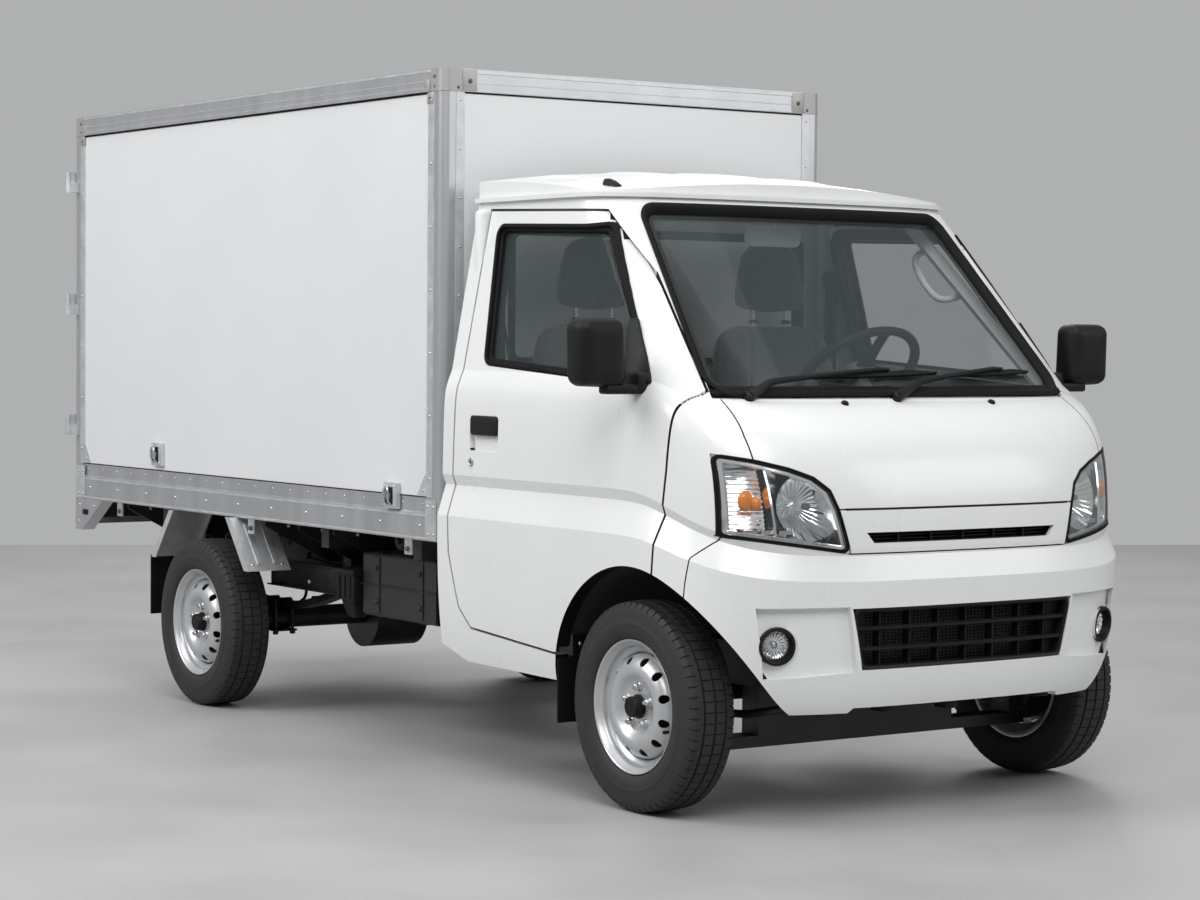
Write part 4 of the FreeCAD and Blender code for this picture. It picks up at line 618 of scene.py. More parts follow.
def tree_of(*names):
    """One surface for ray tests from several CAD nodes."""
    bm = bmesh.new()
    for name in names:
        bm.from_mesh(nodes[name].data)
    tree = BVHTree.FromBMesh(bm)
    bm.free()
    return tree


FAR = 3.0


def seen_from(tree, view, point, centre):
    """Place and outward normal of a surface under a point of one view, run on flat past its edge.

    The view is 0 for the front (points are x, z), or the sign of the side (points are y, z)."""
    for share in (1.0, 0.985, 0.97, 0.95, 0.92, 0.88, 0.82, 0.75, 0.65, 0.55):
        spot = centre.lerp(point, share)
        if view:
            origin, ahead = Vector((view * FAR, spot.x, spot.y)), Vector((-view, 0, 0))
            target = Vector((0, point.x, point.y))
        else:
            origin, ahead = Vector((spot.x, -FAR, spot.y)), Vector((0, 1, 0))
            target = Vector((point.x, 0, point.y))
        place, normal, _, _ = tree.ray_cast(origin, ahead)
        if place is None:
            continue
        if normal.dot(ahead) > 0:
            normal = -normal
        along = (place - target).dot(normal) / ahead.dot(normal)
        return target + ahead * along, normal
    raise ValueError(f"no surface under {point}, towards {centre}")


def middle_of(points):
    return sum(points, Vector((0, 0))) / len(points)


def skin_band(bm, tree, view, corners, radius, section, arc=6):
    """A closed strip round an outline: its section is a list of (inset, height over the surface)."""
    centre = middle_of(corners)
    rings = []
    for inset, height in section:
        ring = []
        for point in rounded_outline(corners, radius, inset, arc):
            place, normal = seen_from(tree, view, point, centre)
            ring.append(place + normal * height)
        rings.append(ring)
    add_band(bm, rings)


def outline_rings(corners, radius, section, place, arc=6):
    """Rings round an outline, one for each (inset, depth): place turns a point and a depth into a spot."""
    return [[place(point, depth) for point in rounded_outline(corners, radius, inset, arc)]
            for inset, depth in section]


def facing_y(point, y):
    """A front-view point at a depth."""
    return Vector((point.x, y, point.y))


def mirror_points(corners):
    return [Vector((-p.x, p.y)) for p in corners]


# Windows
def build_windscreen_trim():
    """Rubber round the windscreen and the dark border printed on its edge."""
    tree = tree_of("cab_windows")
    corners = front_corners(WINDSCREEN)
    skin = GLASS_DEPTH
    piece("windscreen_rubber", "vehicle", "flap_rubber", skin_band, tree, 0, corners, 0.050, [
        (-0.0035, skin - 0.004), (-0.0040, skin + 0.0015), (-0.0015, skin + 0.0035), (0.0050, skin + 0.0035),
        (0.0085, skin + 0.0010), (0.0150, 0.0060), (0.0175, 0.0010), (0.0175, 0.0002), (0.0020, 0.0002),
    ], arc=10, smooth=40)
    piece("windscreen_border", "vehicle", "glass_border", skin_band, tree, 0, corners, 0.050, [
        (0.0150, 0.0004), (0.0150, 0.0012), (0.0270, 0.0012), (0.0270, 0.0004)], arc=10,
          slot="cab_glass", smooth=40)


def build_rear_window_trim():
    """Rubber round the rear window, outside and inside."""
    bm = bmesh.new()
    for sign in (-1, 1):
        face = REAR_WINDOW_Y + sign * 0.013
        section = [(inset, face + sign * rise) for inset, rise in (
            (-0.010, 0.000), (-0.008, 0.004), (0.004, 0.0045), (0.014, 0.001), (0.014, -0.010))]
        add_band(bm, outline_rings(front_corners(REAR_WINDOW), 0.034, section, facing_y))
    make_object("rear_window_rubber", bm, "vehicle", "flap_rubber", smooth=40)


def build_door_trim(side_name, side):
    """Stepped window rubber, flap handle, key cylinder and the door mirror."""
    body = f"cab_door_{side_name}"
    glass = tree_of(f"door_glass_{side_name}")
    corners = side_corners(DOOR_WINDOW)
    skin = GLASS_DEPTH
    seal = piece(f"door_window_rubber_{side_name}", body, "flap_rubber", skin_band,
                 glass, side, corners, 0.034, [
        (0.0000, 0.0006), (0.0000, skin + 0.0020), (0.0030, skin + 0.0030), (0.0085, skin + 0.0028),
        (0.0105, skin + 0.0005), (0.0112, 0.0090), (0.0165, 0.0080), (0.0190, 0.0060),
        (0.0200, 0.0006)], arc=8, smooth=35)
    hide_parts(f"door_fittings_{side_name}")
    piece(f"door_frame_trim_{side_name}", body, "black_plastic", skin_band, glass, side, corners, 0.034, [
        (-0.0280, -0.0350), (-0.0280, -0.0280), (0.0060, -0.0250), (0.0120, -0.0070), (0.0120, -0.0052),
        (0.0000, -0.0052), (0.0000, -0.0350)], arc=8, smooth=35)

    door = tree_of(f"door_{side_name}")
    handle = [Vector((y, z)) for y, z in ((-0.877, 0.9245), (-0.739, 0.9245), (-0.739, 0.9775),
                                          (-0.877, 0.9775))]
    above = Vector((-0.808, 1.010))
    face = seen_from(door, side, above, above)[0].x
    bm = bmesh.new()
    section = ((0.0000, -0.0130), (0.0000, 0.0015), (0.0020, 0.0045), (0.0060, 0.0060), (0.0200, 0.0064))
    add_loft(bm, outline_rings(handle, 0.013, section, lambda p, out: Vector((face + side * out, p.x, p.y))))
    make_object(f"door_handle_{side_name}", bm, body, "black_plastic", smooth=40)
    lock = Vector((-0.747, 0.851))
    above = lock + Vector((0, 0.016))
    place = seen_from(door, side, above, above)[0]
    place.z = lock.y
    piece(f"key_cylinder_{side_name}", body, "nut_steel", add_lathe,
          [(-0.012, 0.0088), (-0.0010, 0.0122), (0.0022, 0.0122), (0.0036, 0.0108), (0.0036, 0.0092),
           (0.0022, 0.0084), (0.0030, 0.0060), (0.0030, 0.0005)], place, (side, 0, 0), 32,
          slot="lamp_chrome", smooth=40)
    # the key slot is a near-black block: painted shade of the slot's recess
    bm = bmesh.new()
    slot = place + Vector((side * 0.0036, 0, 0))
    half = Vector((0.0008, 0.0008, 0.0045))
    add_block(bm, slot - half, slot + half, 0.0003)
    make_object(f"key_slot_{side_name}", bm, body, "painted_shade", smooth=0)
    build_mirror(side_name, side, body, glass)


MIRROR_PLATE = [(0.3085, 0.6860), (0.3985, 0.7900), (0.4130, 0.7900), (0.3800, 0.6900)]


def build_mirror(side_name, side, body, glass):
    """Door mirror: a domed shell on a folding arm, over a triangular base on the window's corner."""
    head = [Vector((x, z)) for x, z in ((0.7500, 1.0670), (0.8925, 1.0720), (0.8965, 1.2400),
                                        (0.7580, 1.2400))]

    def on_side(point, y):
        return Vector((side * point.x, y, point.y))

    def on_glass(point, height):
        place, normal = seen_from(glass, side, point, Vector((-1.300, 1.200)))
        return place + normal * (GLASS_DEPTH + height)

    piece(f"mirror_shell_{side_name}", body, "black_plastic", add_loft, outline_rings(head, 0.030, (
        (0.0480, -1.5395), (0.0300, -1.5392), (0.0160, -1.5360), (0.0065, -1.5285), (0.0015, -1.5160),
        (0.0000, -1.5000), (0.0000, -1.4760), (0.0025, -1.4675), (0.0065, -1.4665), (0.0075, -1.4720),
        (0.0500, -1.4725)), on_side), smooth=40)
    piece(f"mirror_glass_{side_name}", body, "mirror_glass", add_loft,
          outline_rings(head, 0.030, ((0.0085, -1.4718), (0.0085, -1.4700), (0.0500, -1.4697)),
                        on_side), slot="lamp_chrome", smooth=40)
    piece(f"mirror_neck_{side_name}", body, "black_plastic", side_block,
          side, (0.694, 0.812), (-1.5300, -1.4860), (1.0520, 1.0765), 0.0070, 3, smooth=40)
    piece(f"mirror_base_{side_name}", body, "black_plastic", add_loft,
          outline_rings(side_corners(MIRROR_PLATE), 0.0055, (
              (0.0, -0.004), (0.0, 0.0060), (0.0012, 0.0080), (0.0035, 0.0085)), on_glass), smooth=40)
    piece(f"mirror_foot_{side_name}", body, "black_plastic", side_block,
          side, (0.684, 0.722), (-1.5340, -1.4600), (1.0560, 1.1060), 0.0090, 3, smooth=40)


# Wipers
WIPERS = (
    ((-0.497, 1.038), (-0.421, 1.064), (-0.066, 1.098), (-0.270, 1.090), (0.138, 1.101)),
    ((-0.054, 1.035), (0.042, 1.064), (0.338, 1.100), (0.181, 1.094), (0.495, 1.103)),
)
NOZZLES = ((-0.235, 1.030), (0.261, 1.030))


def build_wipers():
    """Cowl strip, two wipers with arms, elbows and long blades, and the washer nozzles."""
    glass = tree_of("cab_windows")

    def glass_at(x, z):
        return seen_from(glass, 0, Vector((x, z)), Vector((0.0, 1.30)))

    def over_glass(x, z, height):
        place, normal = glass_at(x, z)
        return place + normal * height

    def part_way(a, b, share, height):
        return over_glass(a[0] * (1 - share) + b[0] * share, a[1] * (1 - share) + b[1] * share, height)

    bm = bmesh.new()
    low, high = 1.0451, 1.0696
    add_band(bm, [[over_glass(x, z, height) for x in spaced(-0.585, 0.585, 60)] for z, height in (
        (low, 0.0010), (low, 0.0150), (low + 0.010, 0.0165), (low + 0.012, 0.0110), (high - 0.004, 0.0100),
        (high, 0.0060), (high + 0.002, 0.0006))], closed=False)
    fill_holes(bm)
    cowl = make_object("cowl_strip", bm, "vehicle", "flap_rubber", smooth=35)
    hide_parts("cowl_and_wipers")

    for index, (pivot, elbow, tip, start, end) in enumerate(WIPERS):
        foot, normal = glass_at(*pivot)
        piece(f"wiper_pivot_{index}", "vehicle", "black_plastic", add_lathe,
              [(0.000, 0.0150), (0.012, 0.0145), (0.022, 0.0125), (0.0245, 0.0085), (0.025, 0.001)],
              foot + normal * 0.004, normal, 24, smooth=40)
        bm = bmesh.new()
        path = smooth_path([over_glass(*pivot, 0.022), part_way(pivot, elbow, 0.5, 0.030),
                            over_glass(*elbow, 0.033),
                            part_way(elbow, tip, 1 / 3, 0.034), part_way(elbow, tip, 2 / 3, 0.032),
                            over_glass(*tip, 0.027)], 6)
        rings = []
        for k, point in enumerate(path):
            slim = min(1.0, k / (len(path) - 1) / 0.6)
            ahead = (path[min(k + 1, len(path) - 1)] - path[max(k - 1, 0)]).normalized()
            up = ahead.cross(normal).normalized()
            half, thick = 0.0150 - 0.0085 * slim, 0.0080 - 0.0035 * slim
            rings.append([point + up * (half * a) + normal * (thick * b)
                          for a, b in ((-1, -0.6), (-0.7, 0.9), (0, 1.15), (0.7, 0.9), (1, -0.6))])
        add_loft(bm, rings)
        make_object(f"wiper_arm_{index}", bm, "vehicle", "black_plastic", smooth=45)
        rings, rubber = [], []
        for share in spaced(0, 1, 40):
            taper = min(1.0, 0.25 + 3.2 * min(share, 1 - share))
            base, n = glass_at(*Vector(start).lerp(Vector(end), share))
            up = (Vector((0, 0, 1)) - n * n.z).normalized()
            rings.append([base + up * (0.0100 * taper * p) + n * (0.0105 + 0.0110 * taper * q)
                          for p, q in ((-1, -0.2), (-0.8, 0.35), (-0.15, 0.75), (0.2, 1.0), (0.6, 0.3),
                                       (0.7, -0.2))])
            rubber.append([base + up * (0.0020 * p) + n * q
                           for p, q in ((-1, 0.0095), (-0.4, 0.0008), (0.4, 0.0008), (1, 0.0095))])
        for part, loops, look in (("blade", rings, "black_plastic"), ("rubber", rubber, "flap_rubber")):
            piece(f"wiper_{part}_{index}", "vehicle", look, add_loft, loops, smooth=30)
        bm = bmesh.new()
        spot, n = glass_at(*tip)
        up = (Vector((0, 0, 1)) - n * n.z).normalized()
        across = up.cross(n)
        add_loft(bm, [[spot + across * reach + up * (half * p) + n * (0.020 + 0.009 * q)
                       for p, q in ((-1, -1), (-0.6, 1), (0.6, 1), (1, -1))]
                      for reach, half in ((-0.030, 0.002), (-0.022, 0.006), (0.022, 0.006), (0.030, 0.002))])
        make_object(f"wiper_clip_{index}", bm, "vehicle", "black_plastic", smooth=30)

    bonnet = tree_of("bonnet_panel", "cab_frame", "front_fenders")
    bm = bmesh.new()
    for x, z in NOZZLES:
        place, normal = seen_from(bonnet, 0, Vector((x, z)), Vector((0, 0.9)))
        u = normal.orthogonal().normalized()
        add_loft(bm, [ring_points(place + normal * rise, u, normal.cross(u), half, 16) for half, rise in (
            (0.0100, -0.002), (0.0100, 0.003), (0.0080, 0.0065), (0.0040, 0.0078))])
    make_object("washer_nozzles", bm, "vehicle", "black_plastic", smooth=40)


# Lamps
LAMP_FOCUS = (-0.449, 0.783)
LAMP_RADIUS = 0.083
LAMP_WALL = Vector((0, 0.0015, 0))


def build_headlamp(side_name, side):
    """Rubber and chrome border, fluted reflector, capped bulb, divider and amber part behind the lens."""
    lens = tree_of("front_lenses")
    corners = front_corners(HEADLAMP)
    if side > 0:
        corners = mirror_points(corners)
    centre = middle_of(corners)

    def behind(x, z, depth):
        place, _ = seen_from(lens, 0, Vector((x, z)), centre)
        return Vector((x, place.y + depth, z))

    piece(f"headlamp_rubber_{side_name}", "vehicle", "flap_rubber", skin_band, lens, 0, corners, 0.016, [
        (-0.0010, -0.0045), (-0.0010, 0.0012), (0.0006, 0.0026), (0.0030, 0.0026), (0.0038, 0.0012),
        (0.0046, 0.0012), (0.0054, 0.0020), (0.0066, 0.0018), (0.0074, 0.0003), (0.0074, -0.0045)], arc=5,
          smooth=40)
    piece(f"headlamp_bezel_{side_name}", "vehicle", "lamp_chrome", skin_band, lens, 0, corners, 0.016, [
        (0.0060, -0.0060), (0.0060, -0.0240), (0.0165, -0.0260), (0.0175, -0.0090), (0.0150, -0.0060)], arc=5,
          smooth=40)

    fx, fz = LAMP_FOCUS[0] * -side, LAMP_FOCUS[1]
    heart = behind(fx, fz, 0.088)
    bm = bmesh.new()
    rings = []
    for share in spaced(1 / 16, 1, 15):
        ring = []
        for a in (2 * math.pi * k / 96 for k in range(96)):
            x, z = fx + LAMP_RADIUS * share * math.cos(a), fz + LAMP_RADIUS * share * math.sin(a)
            flute = 0.0016 * abs(math.sin(a * 12)) * min(1.0, share * 1.6)
            y = heart.y + (behind(x, z, 0.020).y - heart.y) * share * share + flute
            ring.append(Vector((x, y, z)))
        rings.append(ring)
    add_band(bm, rings + [[p + LAMP_WALL for p in ring] for ring in reversed(rings)])
    make_object(f"headlamp_reflector_{side_name}", bm, "vehicle", "lamp_chrome", smooth=20)

    bm = bmesh.new()
    foot = heart + Vector((0, 0.010, 0))
    add_lathe(bm, [(0.000, 0.020), (0.006, 0.020), (0.010, 0.011), (0.016, 0.009)], foot, (0, -1, 0), 28)
    make_object(f"headlamp_bulb_seat_{side_name}", bm, "vehicle", "lamp_chrome", smooth=40)
    piece(f"headlamp_bulb_{side_name}", "vehicle", "bulb_glass", add_lathe,
          [(0.014, 0.0075), (0.042, 0.0080), (0.052, 0.0078)], foot, (0, -1, 0), 24,
          slot="clear_lens", smooth=40)
    piece(f"headlamp_bulb_cap_{side_name}", "vehicle", "grey_plastic", add_lathe,
          [(0.050, 0.0086), (0.056, 0.0092), (0.064, 0.0088), (0.069, 0.0065), (0.0705, 0.001)],
          foot, (0, -1, 0), 24, smooth=40)

    bm = bmesh.new()
    rings = []
    for share in (0.0, 0.25, 0.5, 0.75, 1.0):
        x = (-0.556 + 0.016 * share) * -side
        z = 0.872 - 0.163 * share
        near, far = behind(x, z, 0.010), behind(x, z, 0.080)
        rings.append([near + Vector((-0.0035, 0, 0)), near + Vector((0.0035, 0, 0)),
                      far + Vector((0.0060, 0, 0)), far + Vector((-0.0060, 0, 0))])
    add_loft(bm, rings)
    make_object(f"headlamp_divider_{side_name}", bm, "vehicle", "lamp_chrome", smooth=30)

    bm = bmesh.new()
    sheet = []
    for row, z in enumerate(spaced(0.712, 0.885, 48)):
        ripple = 0.0022 * math.sin(row * math.pi / 1.5)
        line = []
        for share in spaced(0, 1, 12):
            x = (-0.640 + 0.078 * share + 0.012 * (0.885 - z) / 0.173 * share) * -side
            line.append(behind(x, z, 0.034 + 0.018 * math.sin(math.pi * share) + ripple))
        sheet.append(line)
    add_sheet(bm, sheet, LAMP_WALL)
    make_object(f"headlamp_ribbed_part_{side_name}", bm, "vehicle", "lamp_chrome", smooth=25)

    bm = bmesh.new()
    for cx, cz, rx, rz in ((-0.592, 0.798, 0.024, 0.026), (-0.572, 0.792, 0.015, 0.017)):
        spot = behind(cx * -side, cz, 0.030)
        across, up = Vector((rx, 0, 0)), Vector((0, 0, rz))
        add_loft(bm, [ring_points(spot + Vector((0, -0.016 * math.cos(a), 0)), across, up, math.sin(a), 32)
                      for a in (math.pi / 14 * step for step in range(1, 8))])
    make_object(f"turn_signal_{side_name}", bm, "vehicle", "amber", smooth=40)

    bm = bmesh.new()
    for k in range(3):
        x = (-0.600 + 0.036 * k) * -side
        near, far = behind(x, 0.7165, 0.014), behind(x, 0.7165, 0.060)
        add_loft(bm, [[near + Vector((0, 0, dz)), far + Vector((0, 0, dz)),
                       far + Vector((-0.030 * side, 0, dz)),
                       near + Vector((-0.030 * side, -0.006, dz))] for dz in (0.0, 0.010)])
    make_object(f"headlamp_steps_{side_name}", bm, "vehicle", "lamp_chrome", smooth=0)


FOG_X, FOG_Z = 0.5424, 0.4462
FOG_FLUTE = 0.0016


def build_fog_lamp(side_name, side):
    """Black bezel, bright reflector and bulb of one fog lamp."""
    bumper = tree_of("front_bumper")
    centre = Vector((side * FOG_X, FOG_Z))
    around = ring_points(centre, Vector((1, 0)), Vector((0, 1)), 0.052, 8)
    spots = [seen_from(bumper, 0, point, point)[0] for point in around]
    middle = sum(spots, Vector()) / len(spots)
    normal = (spots[2] - spots[6]).cross(spots[0] - spots[4]).normalized()
    if normal.y > 0:
        normal = -normal
    bm = bmesh.new()
    add_lathe(bm, [(-0.0030, 0.0470), (0.0060, 0.0480), (0.0110, 0.0470), (0.0125, 0.0445), (0.0120, 0.0405),
                   (0.0060, 0.0385), (-0.0060, 0.0375), (-0.0090, 0.0355), (-0.0110, 0.0350),
                   (-0.020, 0.0350), (-0.020, 0.0400), (-0.0030, 0.0470)], middle, normal, 64, cap=False)
    bmesh.ops.remove_doubles(bm, verts=bm.verts, dist=MERGE)
    make_object(f"fog_bezel_{side_name}", bm, "vehicle", "black_plastic", smooth=40)
    bm = bmesh.new()
    u = normal.orthogonal().normalized()
    v = normal.cross(u)
    rings = []
    for along, radius in ((-0.0110, 0.0350), (-0.0145, 0.0320), (-0.0180, 0.0265), (-0.0205, 0.0190),
                          (-0.0220, 0.0110), (-0.0222, 0.0070)):
        rings.append([point + normal * (along + (FOG_FLUTE if k % 4 in (1, 2) else 0))
                      for k, point in enumerate(ring_points(middle, u, v, radius, 72))])
    add_loft(bm, rings, cap=False)
    make_object(f"fog_reflector_{side_name}", bm, "vehicle", "lamp_chrome", smooth=20)
    piece(f"fog_bulb_{side_name}", "vehicle", "nut_steel", add_lathe,
          [(-0.0222, 0.0095), (-0.0190, 0.0092), (-0.0180, 0.0070), (-0.0120, 0.0066),
           (-0.0105, 0.0045), (-0.0102, 0.0010)], middle, normal, 24, slot="lamp_chrome", smooth=40)


# Grilles
GRILLE_TOP, GRILLE_LOW = 0.5351, 0.3822
GRILLE_TOP_HALF, GRILLE_LOW_HALF = 0.3653, 0.3308
SLOT_TOP, SLOT_LOW = 0.7192, 0.6926
SLOT_TOP_HALF, SLOT_LOW_HALF = 0.3131, 0.2918


def between_edges(tree, x, z, low, high):
    """Depth of a panel's skin across its opening, taken from the skin above and below it."""
    y0 = seen_from(tree, 0, Vector((x, low)), Vector((x * 0.97, low)))[0].y
    y1 = seen_from(tree, 0, Vector((x, high)), Vector((x * 0.97, high)))[0].y
    return y0 + (y1 - y0) * (z - low) / (high - low)


def opening_corners(top_half, low_half, low, top):
    """The four corners of a grille opening in front view."""
    return [Vector(p) for p in ((-top_half, top), (-low_half, low), (low_half, low), (top_half, top))]


def level_bar(bm, skin, half, z, steps, section):
    """A bar across the front at one height, kept at its distances behind the panel's skin."""
    add_loft(bm, [[Vector((x, skin(x, z) + dy, z + dz)) for dy, dz in section]
                  for x in spaced(-half, half, steps)])


def build_lower_grille():
    """Rim, two rounded bars standing forward, thin uprights behind them and the finned radiator."""
    bumper = tree_of("front_bumper")

    def skin(x, z):
        return between_edges(bumper, x, z, GRILLE_LOW - 0.012, GRILLE_TOP + 0.012)

    def on_skin(point, depth):
        return Vector((point.x, skin(point.x, min(max(point.y, GRILLE_LOW), GRILLE_TOP)) + depth, point.y))

    bm = bmesh.new()
    corners = opening_corners(GRILLE_TOP_HALF, GRILLE_LOW_HALF, GRILLE_LOW, GRILLE_TOP)
    add_band(bm, outline_rings(corners, 0.022, (
        (-0.0005, 0.042), (-0.0005, 0.0015), (0.0020, 0.0000), (0.0085, 0.0030), (0.0105, 0.0090),
        (0.0115, 0.042)), on_skin))
    rim = make_object("lower_grille_rim", bm, "vehicle", "black_plastic", smooth=40)

    bm = bmesh.new()
    for share in (1 / 3, 2 / 3):
        half = GRILLE_LOW_HALF + (GRILLE_TOP_HALF - GRILLE_LOW_HALF) * share - 0.006
        level_bar(bm, skin, half, GRILLE_LOW + (GRILLE_TOP - GRILLE_LOW) * share, 40, (
            (0.030, -0.0045), (0.008, -0.0055), (0.0045, -0.0030), (0.0045, 0.0030), (0.008, 0.0055),
            (0.030, 0.0045)))
    make_object("lower_grille_bars", bm, "vehicle", "black_plastic", smooth=35)

    bm = bmesh.new()
    for x in spaced(-GRILLE_TOP_HALF, GRILLE_TOP_HALF, 8)[1:-1]:
        y = skin(x, GRILLE_TOP)
        add_block(bm, (x - 0.0022, y + 0.016, GRILLE_LOW + 0.001),
                  (x + 0.0022, y + 0.042, GRILLE_TOP - 0.001), 0.0008)
    make_object("lower_grille_uprights", bm, "vehicle", "black_plastic", smooth=0)

    bm = bmesh.new()
    for side in (-1, 1):
        y = skin(side * 0.330, GRILLE_TOP)
        side_block(bm, side, (0.300, 0.352), (y + 0.034, y + 0.038), (GRILLE_LOW - 0.002, GRILLE_TOP + 0.002),
                   0.001)
    make_object("lower_grille_blanks", bm, "vehicle", "black_plastic", smooth=0)

    bm = bmesh.new()
    add_block(bm, (-0.345, -1.872, 0.3600), (0.345, -1.852, 0.5500), 0.003)
    for z in (0.366 + 0.0082 * row for row in range(22)):
        add_block(bm, (-0.338, -1.8775, z), (0.338, -1.871, z + 0.0030), 0.0006, 1)
    for x in (-0.336 + 0.012 * column for column in range(57)):
        add_block(bm, (x, -1.8755, 0.3640), (x + 0.0012, -1.871, 0.5460))
    make_object("radiator_fins", bm, "vehicle", "chassis_black", smooth=0)
    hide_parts("front_grilles")


def build_slot_grille():
    """Bevelled lip round the slot under the bonnet, and a near-black sheet behind its cells as painted shade.
    """
    panel = tree_of("grille_panel")

    def skin(x, z):
        return between_edges(panel, x, z, SLOT_LOW - 0.006, SLOT_TOP + 0.006)

    bm = bmesh.new()
    add_band(bm, outline_rings(
        opening_corners(SLOT_TOP_HALF, SLOT_LOW_HALF, SLOT_LOW, SLOT_TOP), 0.004,
        ((0.0, 0.040), (0.0, 0.0120), (0.0020, 0.0100), (0.0030, 0.0115), (0.0030, 0.040)),
        lambda point, depth: Vector((point.x, skin(point.x, point.y) + depth, point.y))))
    for x in spaced(-SLOT_TOP_HALF, SLOT_TOP_HALF, 6)[1:-1]:
        y = skin(x, SLOT_TOP)
        add_block(bm, (x - 0.0028, y + 0.0120, SLOT_LOW + 0.001), (x + 0.0028, y + 0.040, SLOT_TOP - 0.001),
                  0.0008)
    for z in spaced(SLOT_LOW, SLOT_TOP, 3)[1:-1]:
        level_bar(bm, skin, 0.300, z, 24, ((0.036, -0.001), (0.022, -0.0012), (0.022, 0.0012),
                                           (0.036, 0.001)))
    make_object("slot_grille", bm, "vehicle", "black_plastic", smooth=35)
    # near-black sheet behind the slot: painted shade seen through its cells
    bm = bmesh.new()
    high = SLOT_TOP - SLOT_LOW
    level_bar(bm, lambda x, z: skin(x, SLOT_TOP), 0.308, SLOT_LOW, 24,
              ((0.040, 0), (0.040, high), (0.043, high), (0.043, 0)))
    make_object("slot_back", bm, "vehicle", "painted_shade", smooth=0)


BONNET_SEAM = 0.7769


def build_bonnet_seam_shade():
    """Near-black strip in the seam between the bonnet and the grille panel: painted shade of the seam."""
    front = tree_of("bonnet_panel", "grille_panel")
    piece("bonnet_seam_shade", "vehicle", "painted_shade", level_bar,
          lambda x, z: between_edges(front, x, z, z - 0.010, z + 0.010), 0.3855, BONNET_SEAM, 48,
          ((0.008, -0.0012), (-0.0006, -0.0030), (-0.0006, 0.0026), (0.008, 0.0012)),
          slot="black_plastic", smooth=0)


# Roof
ANTENNA = (-0.520, -1.120)


def build_roof_details():
    """Shallow lengthwise ribs and the antenna stub."""
    roof = tree_of("cab_roof")

    def over_roof(x, y, rise):
        return roof.ray_cast(Vector((x, y, FAR)), Vector((0, 0, -1)))[0] + Vector((0, 0, rise))

    bm = bmesh.new()
    for x in (-0.44, -0.22, 0.0, 0.22, 0.44):
        y0, y1 = -1.120 + abs(x) * 0.12, -0.640
        rings = []
        for share in spaced(0, 1, 30):
            y = y0 + (y1 - y0) * share
            fade = min(1.0, 6 * min(share, 1 - share) + 0.02)
            rings.append([over_roof(x + dx, y, rise * fade) for dx, rise in (
                (-0.026, -0.0004), (-0.018, 0.0026), (-0.008, 0.0044), (0.008, 0.0044), (0.018, 0.0026),
                (0.026, -0.0004))] + [over_roof(x + dx, y, -0.004) for dx in (0.020, -0.020)])
        add_loft(bm, rings)
    make_object("roof_ribs", bm, "vehicle", "white_paint", smooth=60)

    piece("antenna_stub", "vehicle", "black_plastic", add_loft,
          [[over_roof(ANTENNA[0] + half * a, ANTENNA[1] + along, rise * b if b > 0 else -0.003)
            for a, b in ((-1, -0.004), (-0.85, 0.55), (-0.4, 0.95), (0.4, 0.95), (0.85, 0.55),
                         (1, -0.004))]
           for along, half, rise in ((-0.034, 0.004, 0.003), (-0.030, 0.011, 0.007),
                                     (-0.010, 0.0135, 0.0150),
                                     (0.016, 0.0125, 0.0185), (0.030, 0.0100, 0.0170),
                                     (0.034, 0.005, 0.0120))], smooth=50)


# Cargo box
BOX_FRONT, BOX_REAR = -0.512, 1.940
BOX_SIDE = 0.673
BOX_LOW, BOX_TOP = 0.615, 1.938
CASTING = 0.064
POST = 0.062


def rivet_line(bm, start, end, pitch, normal, radius=0.0045, height=0.0026):
    """Evenly spaced rivets from one place to another."""
    start, end = Vector(start), Vector(end)
    count = max(1, round((end - start).length / pitch))
    for k in range(count + 1):
        add_rivet(bm, start.lerp(end, k / count), normal, radius, height)


def strip(bm, low, high, bevel=0.0007):
    add_block(bm, low, high, bevel, 1)


def side_strip(bm, side, xs, ys, zs, bevel=0.0007):
    side_block(bm, side, xs, ys, zs, bevel, 1)


